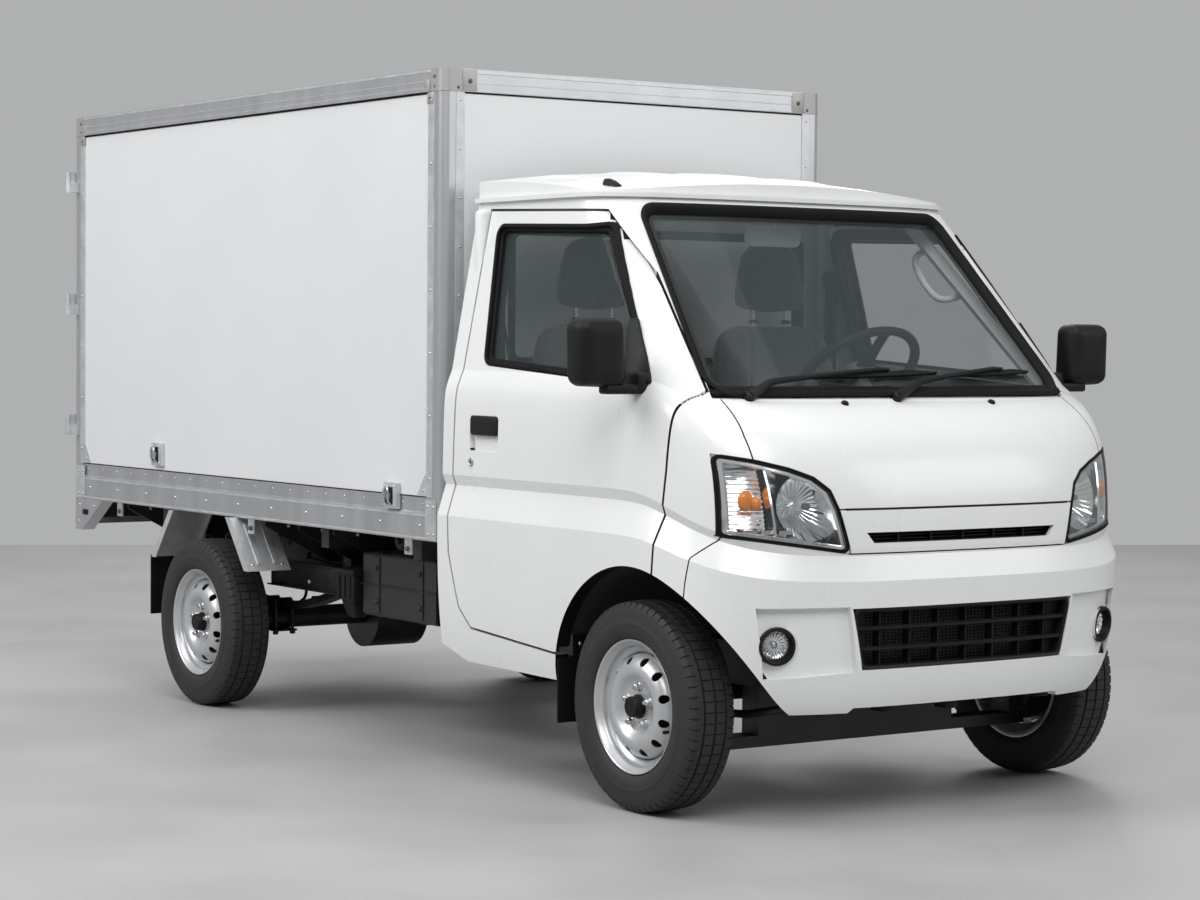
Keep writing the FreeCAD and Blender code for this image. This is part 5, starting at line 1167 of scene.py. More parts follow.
def build_box_trim():
    """Edging strips, beads, rivets and sealant on the posts and rails of the box."""
    rivets, strips, sealant = bmesh.new(), bmesh.new(), bmesh.new()
    post_front, post_rear = BOX_FRONT + POST, BOX_REAR - POST
    rail = (post_front + 0.002, post_rear - 0.002)
    under_casting = BOX_TOP - CASTING
    for side in (-1, 1):
        wall, out = side * BOX_SIDE, (side, 0, 0)
        ledge = wall - side * 0.005
        strip_face = wall + side * 0.0016
        for y0, y1 in ((post_front - 0.020, post_front + 0.012), (post_rear - 0.012, post_rear + 0.020)):
            side_strip(strips, side, (BOX_SIDE - 0.002, BOX_SIDE + 0.0016), (y0, y1),
                       (0.738, under_casting - 0.001))
            middle = (y0 + y1) / 2
            rivet_line(rivets, (strip_face, middle, 0.790), (strip_face, middle, 1.850), 0.19, out, 0.0046)
        for x, z, ends, pitch, radius, height in ((ledge, 0.7180, (0.100, 0.100), 0.115, 0.0036, 0.0022),
                                                  (wall, 0.6560, (0.110, 0.120), 0.230, 0.0056, 0.0036)):
            rivet_line(rivets, (x, BOX_FRONT + ends[0], z), (x, BOX_REAR - ends[1], z), pitch, out, radius,
                       height)
        for inner, outer, low, high, bevel in (
                (0.004, 0.0012, 0.6175, 0.6240, 0.001), (0.004, 0.0012, 0.6820, 0.6885, 0.001),
                (0.007, -0.0038, 0.7320, 0.7368, 0.0008), (0.001, 0.0012, BOX_TOP - 0.010, BOX_TOP - 0.002,
                                                           0.001),
                (0.001, 0.0012, BOX_TOP - 0.036, BOX_TOP - 0.0335, 0.0008)):
            side_strip(strips, side, (BOX_SIDE - inner, BOX_SIDE + outer), rail, (low, high), bevel)
        for y0, y1 in ((BOX_FRONT + 0.020, BOX_FRONT + 0.078), (BOX_REAR - 0.078, BOX_REAR - 0.010)):
            side_strip(strips, side, (BOX_SIDE + 0.0002, BOX_SIDE + 0.0020), (y0, y1),
                       (BOX_LOW + 0.002, 0.7300), 0.0008)
            for dy in (0.014, 0.044):
                for z in (0.634, 0.712):
                    add_rivet(rivets, (wall + side * 0.0020, y0 + dy, z), out, 0.0046, 0.0030)
        for y, ahead in ((post_front + 0.013, 1), (post_rear - 0.013, -1)):
            gusset = [(y + ahead * reach, z) for reach, z in (
                (0.0, 0.740), (0.052, 0.740), (0.046, 0.750), (0.010, 0.800), (0.0, 0.806))]
            add_loft(strips, [[Vector((wall - side * sink, a, b)) for a, b in gusset]
                              for sink in (0.0024, 0.0004)])
            add_rivet(rivets, (wall - side * 0.0004, y + ahead * 0.014, 0.756), out, 0.0036)
    for side in (-1, 1):
        xs = (BOX_SIDE - POST + 0.018, BOX_SIDE - POST - 0.010)
        side_strip(strips, side, xs, (BOX_FRONT - 0.0014, BOX_FRONT + 0.002), (0.700, under_casting - 0.001))
        middle = side * sum(xs) / 2
        rivet_line(rivets, (middle, BOX_FRONT - 0.0014, 0.760), (middle, BOX_FRONT - 0.0014, 1.850), 0.145,
                   (0, -1, 0), 0.0040)
    half = BOX_SIDE - CASTING - 0.002
    for proud, low, high, bevel in ((0.0016, BOX_TOP - 0.014, BOX_TOP - 0.003, 0.0015),
                                    (0.0012, BOX_TOP - 0.040, BOX_TOP - 0.0370, 0.0008),
                                    (0.0014, under_casting + 0.001, under_casting + 0.007, 0.001)):
        strip(strips, (-half, BOX_FRONT - proud, low), (half, BOX_FRONT + 0.002, high), bevel)
    strip(strips, (-half, BOX_REAR - 0.002, BOX_TOP - 0.014), (half, BOX_REAR + 0.0014, BOX_TOP - 0.003),
          0.001)
    rivet_line(rivets, (-half + 0.03, BOX_REAR, BOX_LOW + 0.012), (half - 0.03, BOX_REAR, BOX_LOW + 0.012),
               0.17, (0, 1, 0), 0.0042)
    make_object("box_edge_strips", strips, "vehicle", "galvanised", smooth=25)
    make_object("box_rivets", rivets, "vehicle", "nut_steel", smooth=60)

    strip(sealant, (-half, BOX_FRONT + 0.0006, under_casting - 0.0050),
          (half, BOX_FRONT + 0.004, under_casting + 0.0006), 0.0006)
    for side in (-1, 1):
        xs = (BOX_SIDE - 0.004, BOX_SIDE - 0.0002)
        side_strip(sealant, side, xs, (post_front + 0.001, post_rear - 0.001),
                   (under_casting - 0.0060, under_casting - 0.0006), 0.0006)
        side_strip(sealant, side, xs, (post_front + 0.013, post_rear - 0.013), (0.7372, 0.7400), 0.0004)
    make_object("box_sealant", sealant, "vehicle", "flap_rubber", smooth=0)


def build_box_corners():
    """Plates and rivets on the castings, and the clips under them."""
    plates, bolts = bmesh.new(), bmesh.new()
    top, foot = BOX_TOP, BOX_TOP - CASTING
    for side in (-1, 1):
        wall, inner, out, front = side * BOX_SIDE, BOX_SIDE - CASTING, (side, 0, 0), (0, -1, 0)
        plate = (inner - 0.0015, inner - 0.048)
        side_block(plates, side, plate, (BOX_FRONT - 0.0022, BOX_FRONT + 0.002), (foot + 0.002, top - 0.0015),
                   0.0012)
        add_rivet(bolts, (side * sum(plate) / 2, BOX_FRONT - 0.0022, top - 0.034), front, 0.0072, 0.0046, 14)
        add_rivet(bolts, (side * (inner + 0.012), BOX_FRONT, foot + 0.011), front, 0.0046, 0.0030, 12)
        for y, ahead in ((BOX_FRONT, 1), (BOX_REAR, -1)):
            for drop, radius, height in ((0.022, 0.0056, 0.0034), (0.050, 0.0040, 0.0026)):
                add_rivet(bolts, (wall, y + ahead * 0.043, top - drop), out, radius, height, 12)
            ys = sorted((y + ahead * (CASTING + 0.001), y + ahead * (CASTING + 0.030)))
            side_block(plates, side, (BOX_SIDE - 0.001, BOX_SIDE + 0.0048), ys, (foot - 0.001, top - 0.030),
                       0.0012)
            ys = sorted((y + ahead * 0.046, y + ahead * (POST + 0.016)))
            side_block(plates, side, (BOX_SIDE - 0.001, BOX_SIDE + 0.0034), ys, (foot - 0.034, foot - 0.003),
                       0.0012)
            add_rivet(bolts, (wall + side * 0.0034, sum(ys) / 2, foot - 0.018), out, 0.0044, 0.003, 12)
            corner_bead(plates, side, y, ahead, top)
    make_object("casting_plates", plates, "vehicle", "cast_corner", smooth=30)
    make_object("casting_rivets", bolts, "vehicle", "engine_iron", smooth=50)


def corner_bead(bm, side, y, ahead, top):
    """The thin raised edge round the foot of a casting."""
    radius = 0.024 if ahead > 0 else 0.006
    wall, corner = side * BOX_SIDE, Vector((side * (BOX_SIDE - radius), y + ahead * radius, 0))
    path = [Vector((wall, y + ahead * CASTING, 0))]
    for k in range(9):
        a = math.pi / 2 * k / 8
        path.append(corner + Vector((side * math.cos(a), -ahead * math.sin(a), 0)) * radius)
    path.append(Vector((side * (BOX_SIDE - CASTING), y, 0)))
    rings = []
    for k, point in enumerate(path):
        along = (path[min(k + 1, len(path) - 1)] - path[max(k - 1, 0)]).normalized()
        out = Vector((along.y, -along.x, 0))
        if out.dot(point - Vector((0, y + ahead * 0.3, 0))) < 0:
            out = -out
        rings.append([point + out * o + Vector((0, 0, z)) for o, z in (
            (-0.0010, top - CASTING), (0.0016, top - CASTING), (0.0016, top - CASTING + 0.0045),
            (-0.0010, top - CASTING + 0.0060))])
    add_loft(bm, rings)


CATCHES = ((-0.291, 0.697), (1.236, 0.755))
LOCK_ROD = 0.110


def build_catches():
    """Lever catches on their plates, with a near-black strip of painted shade for each plate's recess, and
    the heads of the bolts on the hanging tabs.
    """
    plate, lever, dark, bolts = (bmesh.new() for _ in range(4))
    face = 0.685
    for side in (-1, 1):
        for y, z in CATCHES:
            side_block(plate, side, (face - 0.001, face + 0.0022), (y + 0.004, y + 0.068),
                       (z + 0.004, z + 0.070), 0.0012)
            # near-black strip: painted shade of the catch's recess
            side_strip(dark, side, (face + 0.0020, face + 0.0030), (y + 0.016, y + 0.056),
                       (z + 0.012, z + 0.062), 0.0003)
            grip = [(side * (face + out), y + dy, z + dz) for out, dy, dz in (
                (0.002, 0.025, 0.012), (0.012, 0.025, 0.022), (0.014, 0.025, 0.052), (0.012, 0.036, 0.062),
                (0.014, 0.047, 0.052), (0.012, 0.047, 0.022), (0.002, 0.047, 0.012))]
            add_tube(lever, smooth_path(grip, 5), 0.0034, 8)
            side_block(lever, side, (face, face + 0.009), (y + 0.028, y + 0.044), (z + 0.026, z + 0.044),
                       0.002)
            for dy in (0.009, 0.063):
                for dz in (0.010, 0.064):
                    add_rivet(lever, (side * (face + 0.0022), y + dy, z + dz), (side, 0, 0), 0.0034, 0.0022)
        for y in (-0.331, 0.628, 1.589):
            for x, out in ((0.668, side), (0.663, -side)):
                add_lathe(bolts, [(0.0, 0.0085), (0.0018, 0.0083), (0.0020, 0.0066), (0.0075, 0.0064),
                                  (0.0085, 0.0050)], (side * x, y, 0.586), (out, 0, 0), 12)
    make_object("catch_plates", plate, "vehicle", "galvanised", smooth=30)
    make_object("catch_levers", lever, "vehicle", "nut_steel", smooth=50)
    make_object("catch_recess_shade", dark, "vehicle", "painted_shade", smooth=0)
    make_object("tab_bolts", bolts, "vehicle", "engine_iron", smooth=35)


def build_rear_details():
    """Lock cams, handles and rubbers of the rear leaves, hinge bolts, and lenses of the tail lamps."""
    for side_name, side in SIDES:
        body = f"box_door_{side_name}"
        rod = side * LOCK_ROD
        bm = bmesh.new()
        for z in (0.716, 1.846):
            add_block(bm, (rod - 0.022, 1.9405, z - 0.020), (rod + 0.022, 1.9440, z + 0.020), 0.001, 1)
        for z in (1.090, 1.130):
            add_lathe(bm, [(-0.012, 0.0150), (0.012, 0.0150)], (rod, 1.955, z), (0, 0, 1), 20)
        handle = [(side * x, y, z) for x, y, z in ((LOCK_ROD, 1.9560, 1.110), (0.150, 1.9590, 1.112),
                                                   (0.260, 1.9590, 1.112),
                                                   (0.330, 1.9590, 1.106), (0.345, 1.9580, 1.100))]
        add_tube(bm, smooth_path(handle, 5), 0.0060, 10)
        side_block(bm, side, (0.250, 0.300), (1.9402, 1.9500), (1.090, 1.134), 0.002)
        make_object(f"lock_handle_{side_name}", bm, body, "nut_steel", smooth=40)
        bolts = bmesh.new()
        for z in (0.870, 1.290, 1.715):
            for x in (0.520, 0.570):
                add_rivet(bolts, (side * x, 1.951, z + 0.018), (0, 1, 0), 0.0060, 0.0040, 12)
        for z in (0.730, 1.080, 1.470, 1.840):
            for dx in (-0.016, 0.016):
                add_rivet(bolts, (rod + dx, 1.9402, z), (0, 1, 0), 0.0030, 0.0020)
        make_object(f"hinge_bolts_{side_name}", bolts, body, "nut_steel", smooth=50)
        bm = bmesh.new()
        outline = [Vector((side * x, z)) for x, z in ((0.0055, 0.7015), (0.603, 0.7015), (0.603, 1.8655),
                                                      (0.0055, 1.8655))]
        add_band(bm, outline_rings(outline, 0.004, ((0.0, 1.926), (0.0, 1.9412), (0.003, 1.9422),
                                                    (0.010, 1.9418),
                                                    (0.013, 1.9402), (0.013, 1.926)), facing_y, 3))
        make_object(f"rear_door_rubber_{side_name}", bm, body, "flap_rubber", smooth=40)

        piece(f"tail_lens_base_{side_name}", "vehicle", "red_lens", side_strip,
              side, (0.612, 0.470), (1.9630, 1.9648), (0.5390, 0.6010), 0.0008, smooth=30)
        piece(f"tail_amber_{side_name}", "vehicle", "amber", side_strip,
              side, (0.611, 0.575), (1.9640, 1.9650), (0.5400, 0.6000), 0.0004, slot="red_lens", smooth=30)


def build_guard_screws():
    """Screws at the low edges of the mudguards and on the front flaps, and a lamp on each tail bracket."""
    screws, dark = bmesh.new(), bmesh.new()
    for side in (-1, 1):
        for y, ahead in ((0.606, -1), (1.258, 1)):
            tilt = Vector((0, ahead * 0.80, 0.60)).normalized()
            for x in (0.676, 0.572):
                add_rivet(screws, Vector((side * x, y, 0.470)) + tilt * 0.0040, tilt, 0.0050, 0.0030, 10)
        for x in (0.610, 0.655):
            for y, out in ((-1.1885, -1), (-1.1815, 1)):
                add_rivet(screws, (side * x, y, 0.395), (0, out, 0), 0.0060, 0.0030, 12)
        for y, z in ((1.905, 0.592), (1.790, 0.592), (1.915, 0.535)):
            add_rivet(screws, (side * 0.673, y, z), (side, 0, 0), 0.0050, 0.0030, 12)
        side_block(dark, side, (0.6725, 0.6790), (1.838, 1.872), (0.560, 0.578), 0.002)
    make_object("guard_screws", screws, "vehicle", "nut_steel", smooth=50)
    make_object("bracket_lamps", dark, "vehicle", "black_plastic", smooth=30)


# Seats
SEAT_X = 0.310


def applied(obj):
    """The object's mesh with its modifiers worked in, and the modifiers gone."""
    graph = bpy.context.evaluated_depsgraph_get()
    mesh = bpy.data.meshes.new_from_object(obj.evaluated_get(graph), preserve_all_data_layers=True,
                                           depsgraph=graph)
    obj.modifiers.clear()
    obj.data = mesh


def swell(obj, voxel, cap):
    """Remesh a closed form finely, let pressure fill it as cloth, and limit how far it moves."""
    remesh = obj.modifiers.new("remesh", "REMESH")
    remesh.mode = "VOXEL"
    remesh.voxel_size = voxel
    applied(obj)
    before = [vert.co.copy() for vert in obj.data.vertices]
    cloth = obj.modifiers.new("cloth", "CLOTH")
    cloth.settings.quality = 4
    cloth.settings.mass = 0.3
    cloth.settings.tension_stiffness = 12
    cloth.settings.compression_stiffness = 12
    cloth.settings.use_pressure = True
    cloth.settings.uniform_pressure_force = 4.0
    cloth.settings.effector_weights.gravity = 0.0
    cloth.collision_settings.use_collision = False
    cloth.collision_settings.use_self_collision = False
    cloth.point_cache.frame_start = 1
    cloth.point_cache.frame_end = 20
    scene = bpy.context.scene
    for step in range(1, 21):
        scene.frame_set(step)
    applied(obj)
    scene.frame_set(1)
    for vert, old in zip(obj.data.vertices, before):
        move = vert.co - old
        if move.length > cap:
            vert.co = old + move * (cap / move.length)


def pad(name, rings, voxel, cap, seams):
    """One padded form: lofted, swollen as cloth, subdivided, with its seams drawn in.

    A seam is a function of a point that gives the distance to the sewn line."""
    bm = bmesh.new()
    add_loft(bm, rings)
    bmesh.ops.recalc_face_normals(bm, faces=bm.faces)
    mesh = bpy.data.meshes.new(name)
    bm.to_mesh(mesh)
    bm.free()
    obj = bpy.data.objects.new(name, mesh)
    bpy.context.scene.collection.objects.link(obj)
    swell(obj, voxel, cap)
    fine = obj.modifiers.new("fine", "SUBSURF")
    fine.levels = 1
    fine.render_levels = 1
    applied(obj)
    normals = [vert.normal.copy() for vert in obj.data.vertices]
    for vert, normal in zip(obj.data.vertices, normals):
        for distance, depth, width in seams:
            away = distance(vert.co)
            vert.co = vert.co - normal * (depth * math.exp(-(away / width) ** 2))
    for polygon in obj.data.polygons:
        polygon.use_smooth = True
    obj.data.materials.clear()
    obj.data.materials.append(MATERIALS["seat_fabric"])
    return obj


def twin(obj, name, shift):
    """A second piece of the same shape, moved across."""
    copy = bpy.data.objects.new(name, obj.data.copy())
    bpy.context.scene.collection.objects.link(copy)
    for vert in copy.data.vertices:
        vert.co.x += shift
    return copy


RING_PARTS = 9


def seat_ring(half_x, half_y, corner, point_of, squeeze=0.0, steps=7):
    """A rounded rectangle of points; its long sides pull in a little between the corners."""
    corners = []
    for k, (sx, sy) in enumerate(((1, 1), (-1, 1), (-1, -1), (1, -1))):
        for step in range(steps + 1):
            a = math.pi / 2 * (k + step / steps)
            corners.append((sx * (half_x - corner) + corner * math.cos(a),
                            sy * (half_y - corner) + corner * math.sin(a)))
    result = []
    count = len(corners)
    for k, (x0, y0) in enumerate(corners):
        x1, y1 = corners[(k + 1) % count]
        parts = RING_PARTS if k % (steps + 1) == steps else 1
        for part in range(parts):
            t = part / parts
            x, y = x0 + (x1 - x0) * t, y0 + (y1 - y0) * t
            pull = squeeze * math.sin(math.pi * t)
            if abs(x1 - x0) > abs(y1 - y0):
                y -= math.copysign(pull, y)
            else:
                x -= math.copysign(pull, x)
            result.append(point_of(x, y))
    return result


def only(wanted):
    """Nothing where a seam runs, and far away elsewhere."""
    return 0.0 if wanted else 1.0


def build_seats():
    """Two seats: cushion, back and headrest, each swollen as cloth and sewn, with steel stems."""
    x = -SEAT_X
    lean = 0.16

    def across(p):
        return abs(p.x - x)

    def crown(a, b):
        return 0.012 * (1 - (a / 0.22) ** 2) * (1 - (b / 0.23) ** 2) - 0.006 * max(0.0, b / 0.23)

    def flat(a, b):
        return 0.0

    def cushion_at(z, rise):
        return lambda a, b: Vector((x + a, -0.970 + b, z + rise(a, b)))

    def top(p):
        return only(p.z > 0.800)

    rings = [seat_ring(hx, hy, r, cushion_at(z, rise), squeeze) for hx, hy, r, z, rise, squeeze in (
        (0.196, 0.200, 0.040, 0.7165, flat, 0.000), (0.214, 0.219, 0.045, 0.7240, flat, 0.003),
        (0.217, 0.222, 0.048, 0.7620, flat, 0.005), (0.216, 0.221, 0.048, 0.7900, flat, 0.006),
        (0.206, 0.211, 0.052, 0.8100, flat, 0.005), (0.170, 0.175, 0.060, 0.8190, crown, 0.0),
        (0.080, 0.085, 0.050, 0.8200, crown, 0.0))]
    cushion = pad("seat_cushion_right", rings, 0.009, 0.010, [
        (lambda p: abs(across(p) - 0.132) + top(p), 0.0060, 0.0060),
        (lambda p: abs(p.y + 1.020) + top(p) + only(across(p) < 0.132), 0.0045, 0.0060),
        (lambda p: abs(p.y + 0.900) + top(p) + only(across(p) < 0.132), 0.0045, 0.0060),
        (lambda p: abs(p.z - 0.792), 0.0030, 0.0045)])

    def back_centre(z):
        return -0.800 + (z - 0.8346) * lean

    def back_at(z):
        return lambda a, b: Vector((x + a, back_centre(z) + b, z))

    def face(p):
        return only(p.y < back_centre(p.z))

    def waist(p):
        return 0.135 - 0.030 * max(0.0, (p.z - 1.05) / 0.19)

    rings = [seat_ring(hx, hy, r, back_at(z), squeeze) for hx, hy, r, z, squeeze in (
        (0.190, 0.034, 0.020, 0.8360, 0.0), (0.212, 0.048, 0.034, 0.8460, 0.0),
        (0.216, 0.052, 0.038, 0.9000, 0.003), (0.215, 0.052, 0.038, 1.0000, 0.004),
        (0.213, 0.051, 0.038, 1.0900, 0.004), (0.206, 0.050, 0.036, 1.1500, 0.003),
        (0.190, 0.048, 0.036, 1.1950, 0.002), (0.164, 0.042, 0.034, 1.2220, 0.0),
        (0.120, 0.030, 0.026, 1.2360, 0.0))]
    back = pad("seat_back_right", rings, 0.009, 0.010, [
        (lambda p: abs(across(p) - waist(p)) + face(p), 0.0060, 0.0060),
        (lambda p: abs(p.z - 0.965) + face(p) + only(across(p) < waist(p)), 0.0045, 0.0060),
        (lambda p: abs(p.z - 1.090) + face(p) + only(across(p) < waist(p)), 0.0045, 0.0060),
        (lambda p: abs(p.y - back_centre(p.z) - 0.030), 0.0030, 0.0045)])

    rings = [seat_ring(hx, hy, r, lambda a, b, z=z: Vector((x + a, -0.734 + b, z))) for hx, hy, r, z in (
        (0.080, 0.022, 0.018, 1.2760), (0.108, 0.036, 0.030, 1.2840), (0.116, 0.040, 0.034, 1.3050),
        (0.112, 0.040, 0.034, 1.3500), (0.104, 0.038, 0.034, 1.4000), (0.092, 0.036, 0.032, 1.4400),
        (0.074, 0.030, 0.026, 1.4600), (0.044, 0.018, 0.014, 1.4680))]
    headrest = pad("headrest_right", rings, 0.007, 0.007, [
        (lambda p: abs(p.y + 0.734 - 0.014), 0.0028, 0.0045),
        (lambda p: abs(across(p) - 0.070) + only(p.y < -0.745), 0.0030, 0.0050)])

    pieces = [cushion, back, headrest]
    pieces += [twin(piece, piece.name.replace("right", "left"), 2 * SEAT_X) for piece in pieces]
    for obj in pieces:
        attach(obj, "vehicle")
    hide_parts("seat_cushions")
    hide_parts("seat_backs")

    stems, parts = bmesh.new(), bmesh.new()
    for side in (-1, 1):
        for stem in (side * SEAT_X - 0.060, side * SEAT_X + 0.060):
            add_tube(stems, [(stem, -0.734, 1.2150), (stem, -0.734, 1.2950)], 0.0062, 12)
            add_lathe(parts, [(0, 0.0150), (0.006, 0.0145), (0.010, 0.0110), (0.011, 0.0070)],
                      (stem, -0.736, 1.2360), (0, 0, 1), 20)
        side_block(parts, side, (SEAT_X - 0.244, SEAT_X - 0.220), (-0.850, -0.770), (0.800, 0.850), 0.006)
    make_object("headrest_stems", stems, "vehicle", "nut_steel", smooth=40)
    make_object("seat_plastic_parts", parts, "vehicle", "black_plastic", smooth=35)


# Cab interior
def inner_sheet(bm, tree, side, outline, inward, thick=0.004, step=0.030):
    """A trim panel over the inner face of a door, inside an outline in side view."""
    ys, zs = zip(*outline)
    across = max(2, round((max(ys) - min(ys)) / step))
    rows = []
    for z in spaced(min(zs), max(zs), max(2, round((max(zs) - min(zs)) / step))):
        crossings = []
        for (y0, z0), (y1, z1) in zip(outline, outline[1:] + outline[:1]):
            t = (z - z0) / (z1 - z0) if z1 != z0 else -1
            if -1e-6 <= t <= 1 + 1e-6:
                crossings.append(y0 + (y1 - y0) * t)
        line = []
        for y in spaced(min(crossings), max(crossings), across):
            place = tree.ray_cast(Vector((0, y, z)), Vector((side, 0, 0)))[0]
            line.append((place.x if place else None, y, z))
        rows.append(line)
    known = [x for line in rows for x, _, _ in line if x is not None]
    base = sum(known) / len(known)
    add_sheet(bm, [[Vector(((base if x is None else x) - side * inward, y, z)) for x, y, z in line]
                   for line in rows],
              (side * thick, 0, 0))


def build_door_lining(side_name, side):
    """Inner door panel with armrest, map pocket and pull."""
    body = f"cab_door_{side_name}"
    bm = bmesh.new()
    inner_sheet(bm, tree_of(f"door_{side_name}"), side,
                [(-1.470, 0.660), (-0.700, 0.560), (-0.690, 1.060), (-1.490, 1.020)], 0.008)
    make_object(f"door_lining_{side_name}", bm, body, "light_trim", smooth=30)
    bm = bmesh.new()
    side_block(bm, side, (0.640, 0.668), (-1.240, -0.900), (0.800, 0.842), 0.012, 3)
    side_block(bm, side, (0.650, 0.668), (-1.360, -0.860), (0.640, 0.720), 0.008)
    pull = ((0.662, -1.330, 0.930), (0.644, -1.315, 0.940), (0.642, -1.230, 0.940), (0.662, -1.215, 0.930))
    add_tube(bm, smooth_path([(side * x, y, z) for x, y, z in pull], 5), 0.007, 10)
    make_object(f"door_armrest_{side_name}", bm, body, "grey_plastic", smooth=35)


def build_headliner():
    """Light lining under the roof, with padded sun visors."""
    roof = tree_of("cab_roof")
    rows = []
    for y in spaced(-1.165, -0.630, 18):
        line = []
        for x in spaced(-0.545, 0.545, 30):
            place = roof.ray_cast(Vector((x, y, 1.40)), Vector((0, 0, 1)))[0]
            z = place.z if place and place.z < 1.70 else 1.560
            line.append(Vector((x, y, min(z, 1.66) - 0.008)))
        rows.append(line)
    piece("headliner", "vehicle", "headliner", add_sheet, rows, (0, 0, 0.004), slot="grey_plastic", smooth=40)
    bm = bmesh.new()
    for side in (-1, 1):
        x0, x1 = sorted((side * 0.110, side * 0.440))
        add_loft(bm, [[Vector((x, y, z + half * rise)) for x, rise in ((x0, -1), (x1, -1), (x1, 1), (x0, 1))]
                      for y, z, half in ((-1.165, 1.548, 0.004), (-1.155, 1.550, 0.009),
                                         (-1.060, 1.570, 0.009),
                                         (-1.050, 1.572, 0.004))])
    make_object("sun_visors", bm, "vehicle", "light_trim", smooth=40)


def build_pillar_details():
    """Grab handle, pillar trims, and belts with their guides."""
    bm = bmesh.new()
    handle = [(0.556, -1.140, 1.446), (0.520, -1.147, 1.432), (0.503, -1.156, 1.408), (0.499, -1.190, 1.362),
              (0.503, -1.236, 1.318), (0.520, -1.262, 1.306), (0.566, -1.276, 1.316)]
    add_tube(bm, smooth_path(handle, 7), 0.0095, 14)
    make_object("grab_handle", bm, "vehicle", "light_trim", smooth=50)
    front, rear, webbing, guides = (bmesh.new() for _ in range(4))
    for side in (-1, 1):
        add_loft(front, [[Vector((side * (0.604 - 0.108 * share + dx), -1.640 + 0.470 * share + dy,
                                  1.060 + 0.480 * share))
                          for dx, dy in ((0, 0.030), (-0.018, 0.062), (0.010, 0.110), (0.028, 0.100),
                                         (0.020, 0.050))]
                         for share in spaced(0, 1, 12)])
        side_block(rear, side, (0.565, 0.640), (-0.664, -0.624), (0.460, 1.540), 0.014, 3)
        top, low = Vector((side * 0.590, -0.676, 1.370)), Vector((side * 0.585, -0.676, 0.740))
        add_loft(webbing, [[point + Vector((half * a, dy, 0)) for a, dy in (
            (-1, -0.001), (1, -0.001), (1, 0.0012), (-1, 0.0012))]
                           for point, half in ((top, 0.022), (low, 0.023))])
        path = smooth_path([top, (side * 0.578, -0.700, 1.180), (side * 0.560, -0.735, 0.960),
                            (side * 0.540, -0.770, 0.735)], 6)
        add_loft(webbing, [[p + Vector((dx, dy, 0)) for dx, dy in (
            (-0.010, -0.020), (0.010, 0.020), (0.0115, 0.0195), (-0.0085, -0.0205))] for p in path])
        corners = [Vector(p) for p in ((-0.030, -0.024), (0.030, -0.024), (0.030, 0.024), (-0.030, 0.024))]
        oval = rounded_outline(corners, 0.020)
        add_loft(guides, [[Vector((top.x + p.x * s, top.y + dy, top.z + p.y * s)) for p in oval]
                          for s, dy in ((0.9, -0.010), (1.0, -0.006), (1.0, 0.006), (0.9, 0.010))])
        add_block(guides, (low.x - 0.034, low.y - 0.016, 0.716), (low.x + 0.034, low.y + 0.016, 0.760), 0.006)
    make_object("windscreen_pillar_trims", front, "vehicle", "light_trim", smooth=40)
    make_object("rear_pillar_trims", rear, "vehicle", "light_trim", smooth=40)
    make_object("seat_belts", webbing, "vehicle", "belt_webbing", smooth=40)
    make_object("belt_guides", guides, "vehicle", "black_plastic", smooth=40)


def build_inner_mirror():
    """Rounded interior mirror on a bent stalk."""
    outline = [Vector(p) for p in ((-0.094, 1.443), (0.094, 1.443), (0.094, 1.497), (-0.094, 1.497))]
    mirror = piece("cab_mirror_shell", "vehicle", "light_trim", add_loft,
                   outline_rings(outline, 0.022, ((0.016, -1.1545), (0.005, -1.1525), (0.000, -1.1480),
                                                  (0.000, -1.1380),
                                                  (0.003, -1.1350), (0.020, -1.1348)), facing_y),
                   slot="grey_plastic", smooth=40)
    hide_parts("cab_mirror")
    piece("cab_mirror_glass", "vehicle", "mirror_glass", add_loft,
          outline_rings(outline, 0.022, ((0.005, -1.1349), (0.005, -1.1338), (0.02, -1.1336)),
                        facing_y), slot="lamp_chrome", smooth=40)
    bm = bmesh.new()
    stalk = [(0, y, z) for y, z in ((-1.146, 1.485), (-1.146, 1.515), (-1.142, 1.545), (-1.138, 1.592))]
    add_tube(bm, smooth_path(stalk, 5), 0.0075, 12)
    add_lathe(bm, [(0, 0.026), (0.006, 0.024), (0.010, 0.012)], (0, -1.138, 1.578), (0, 0, -1), 24)
    make_object("cab_mirror_stalk", bm, "vehicle", "light_trim", smooth=40)


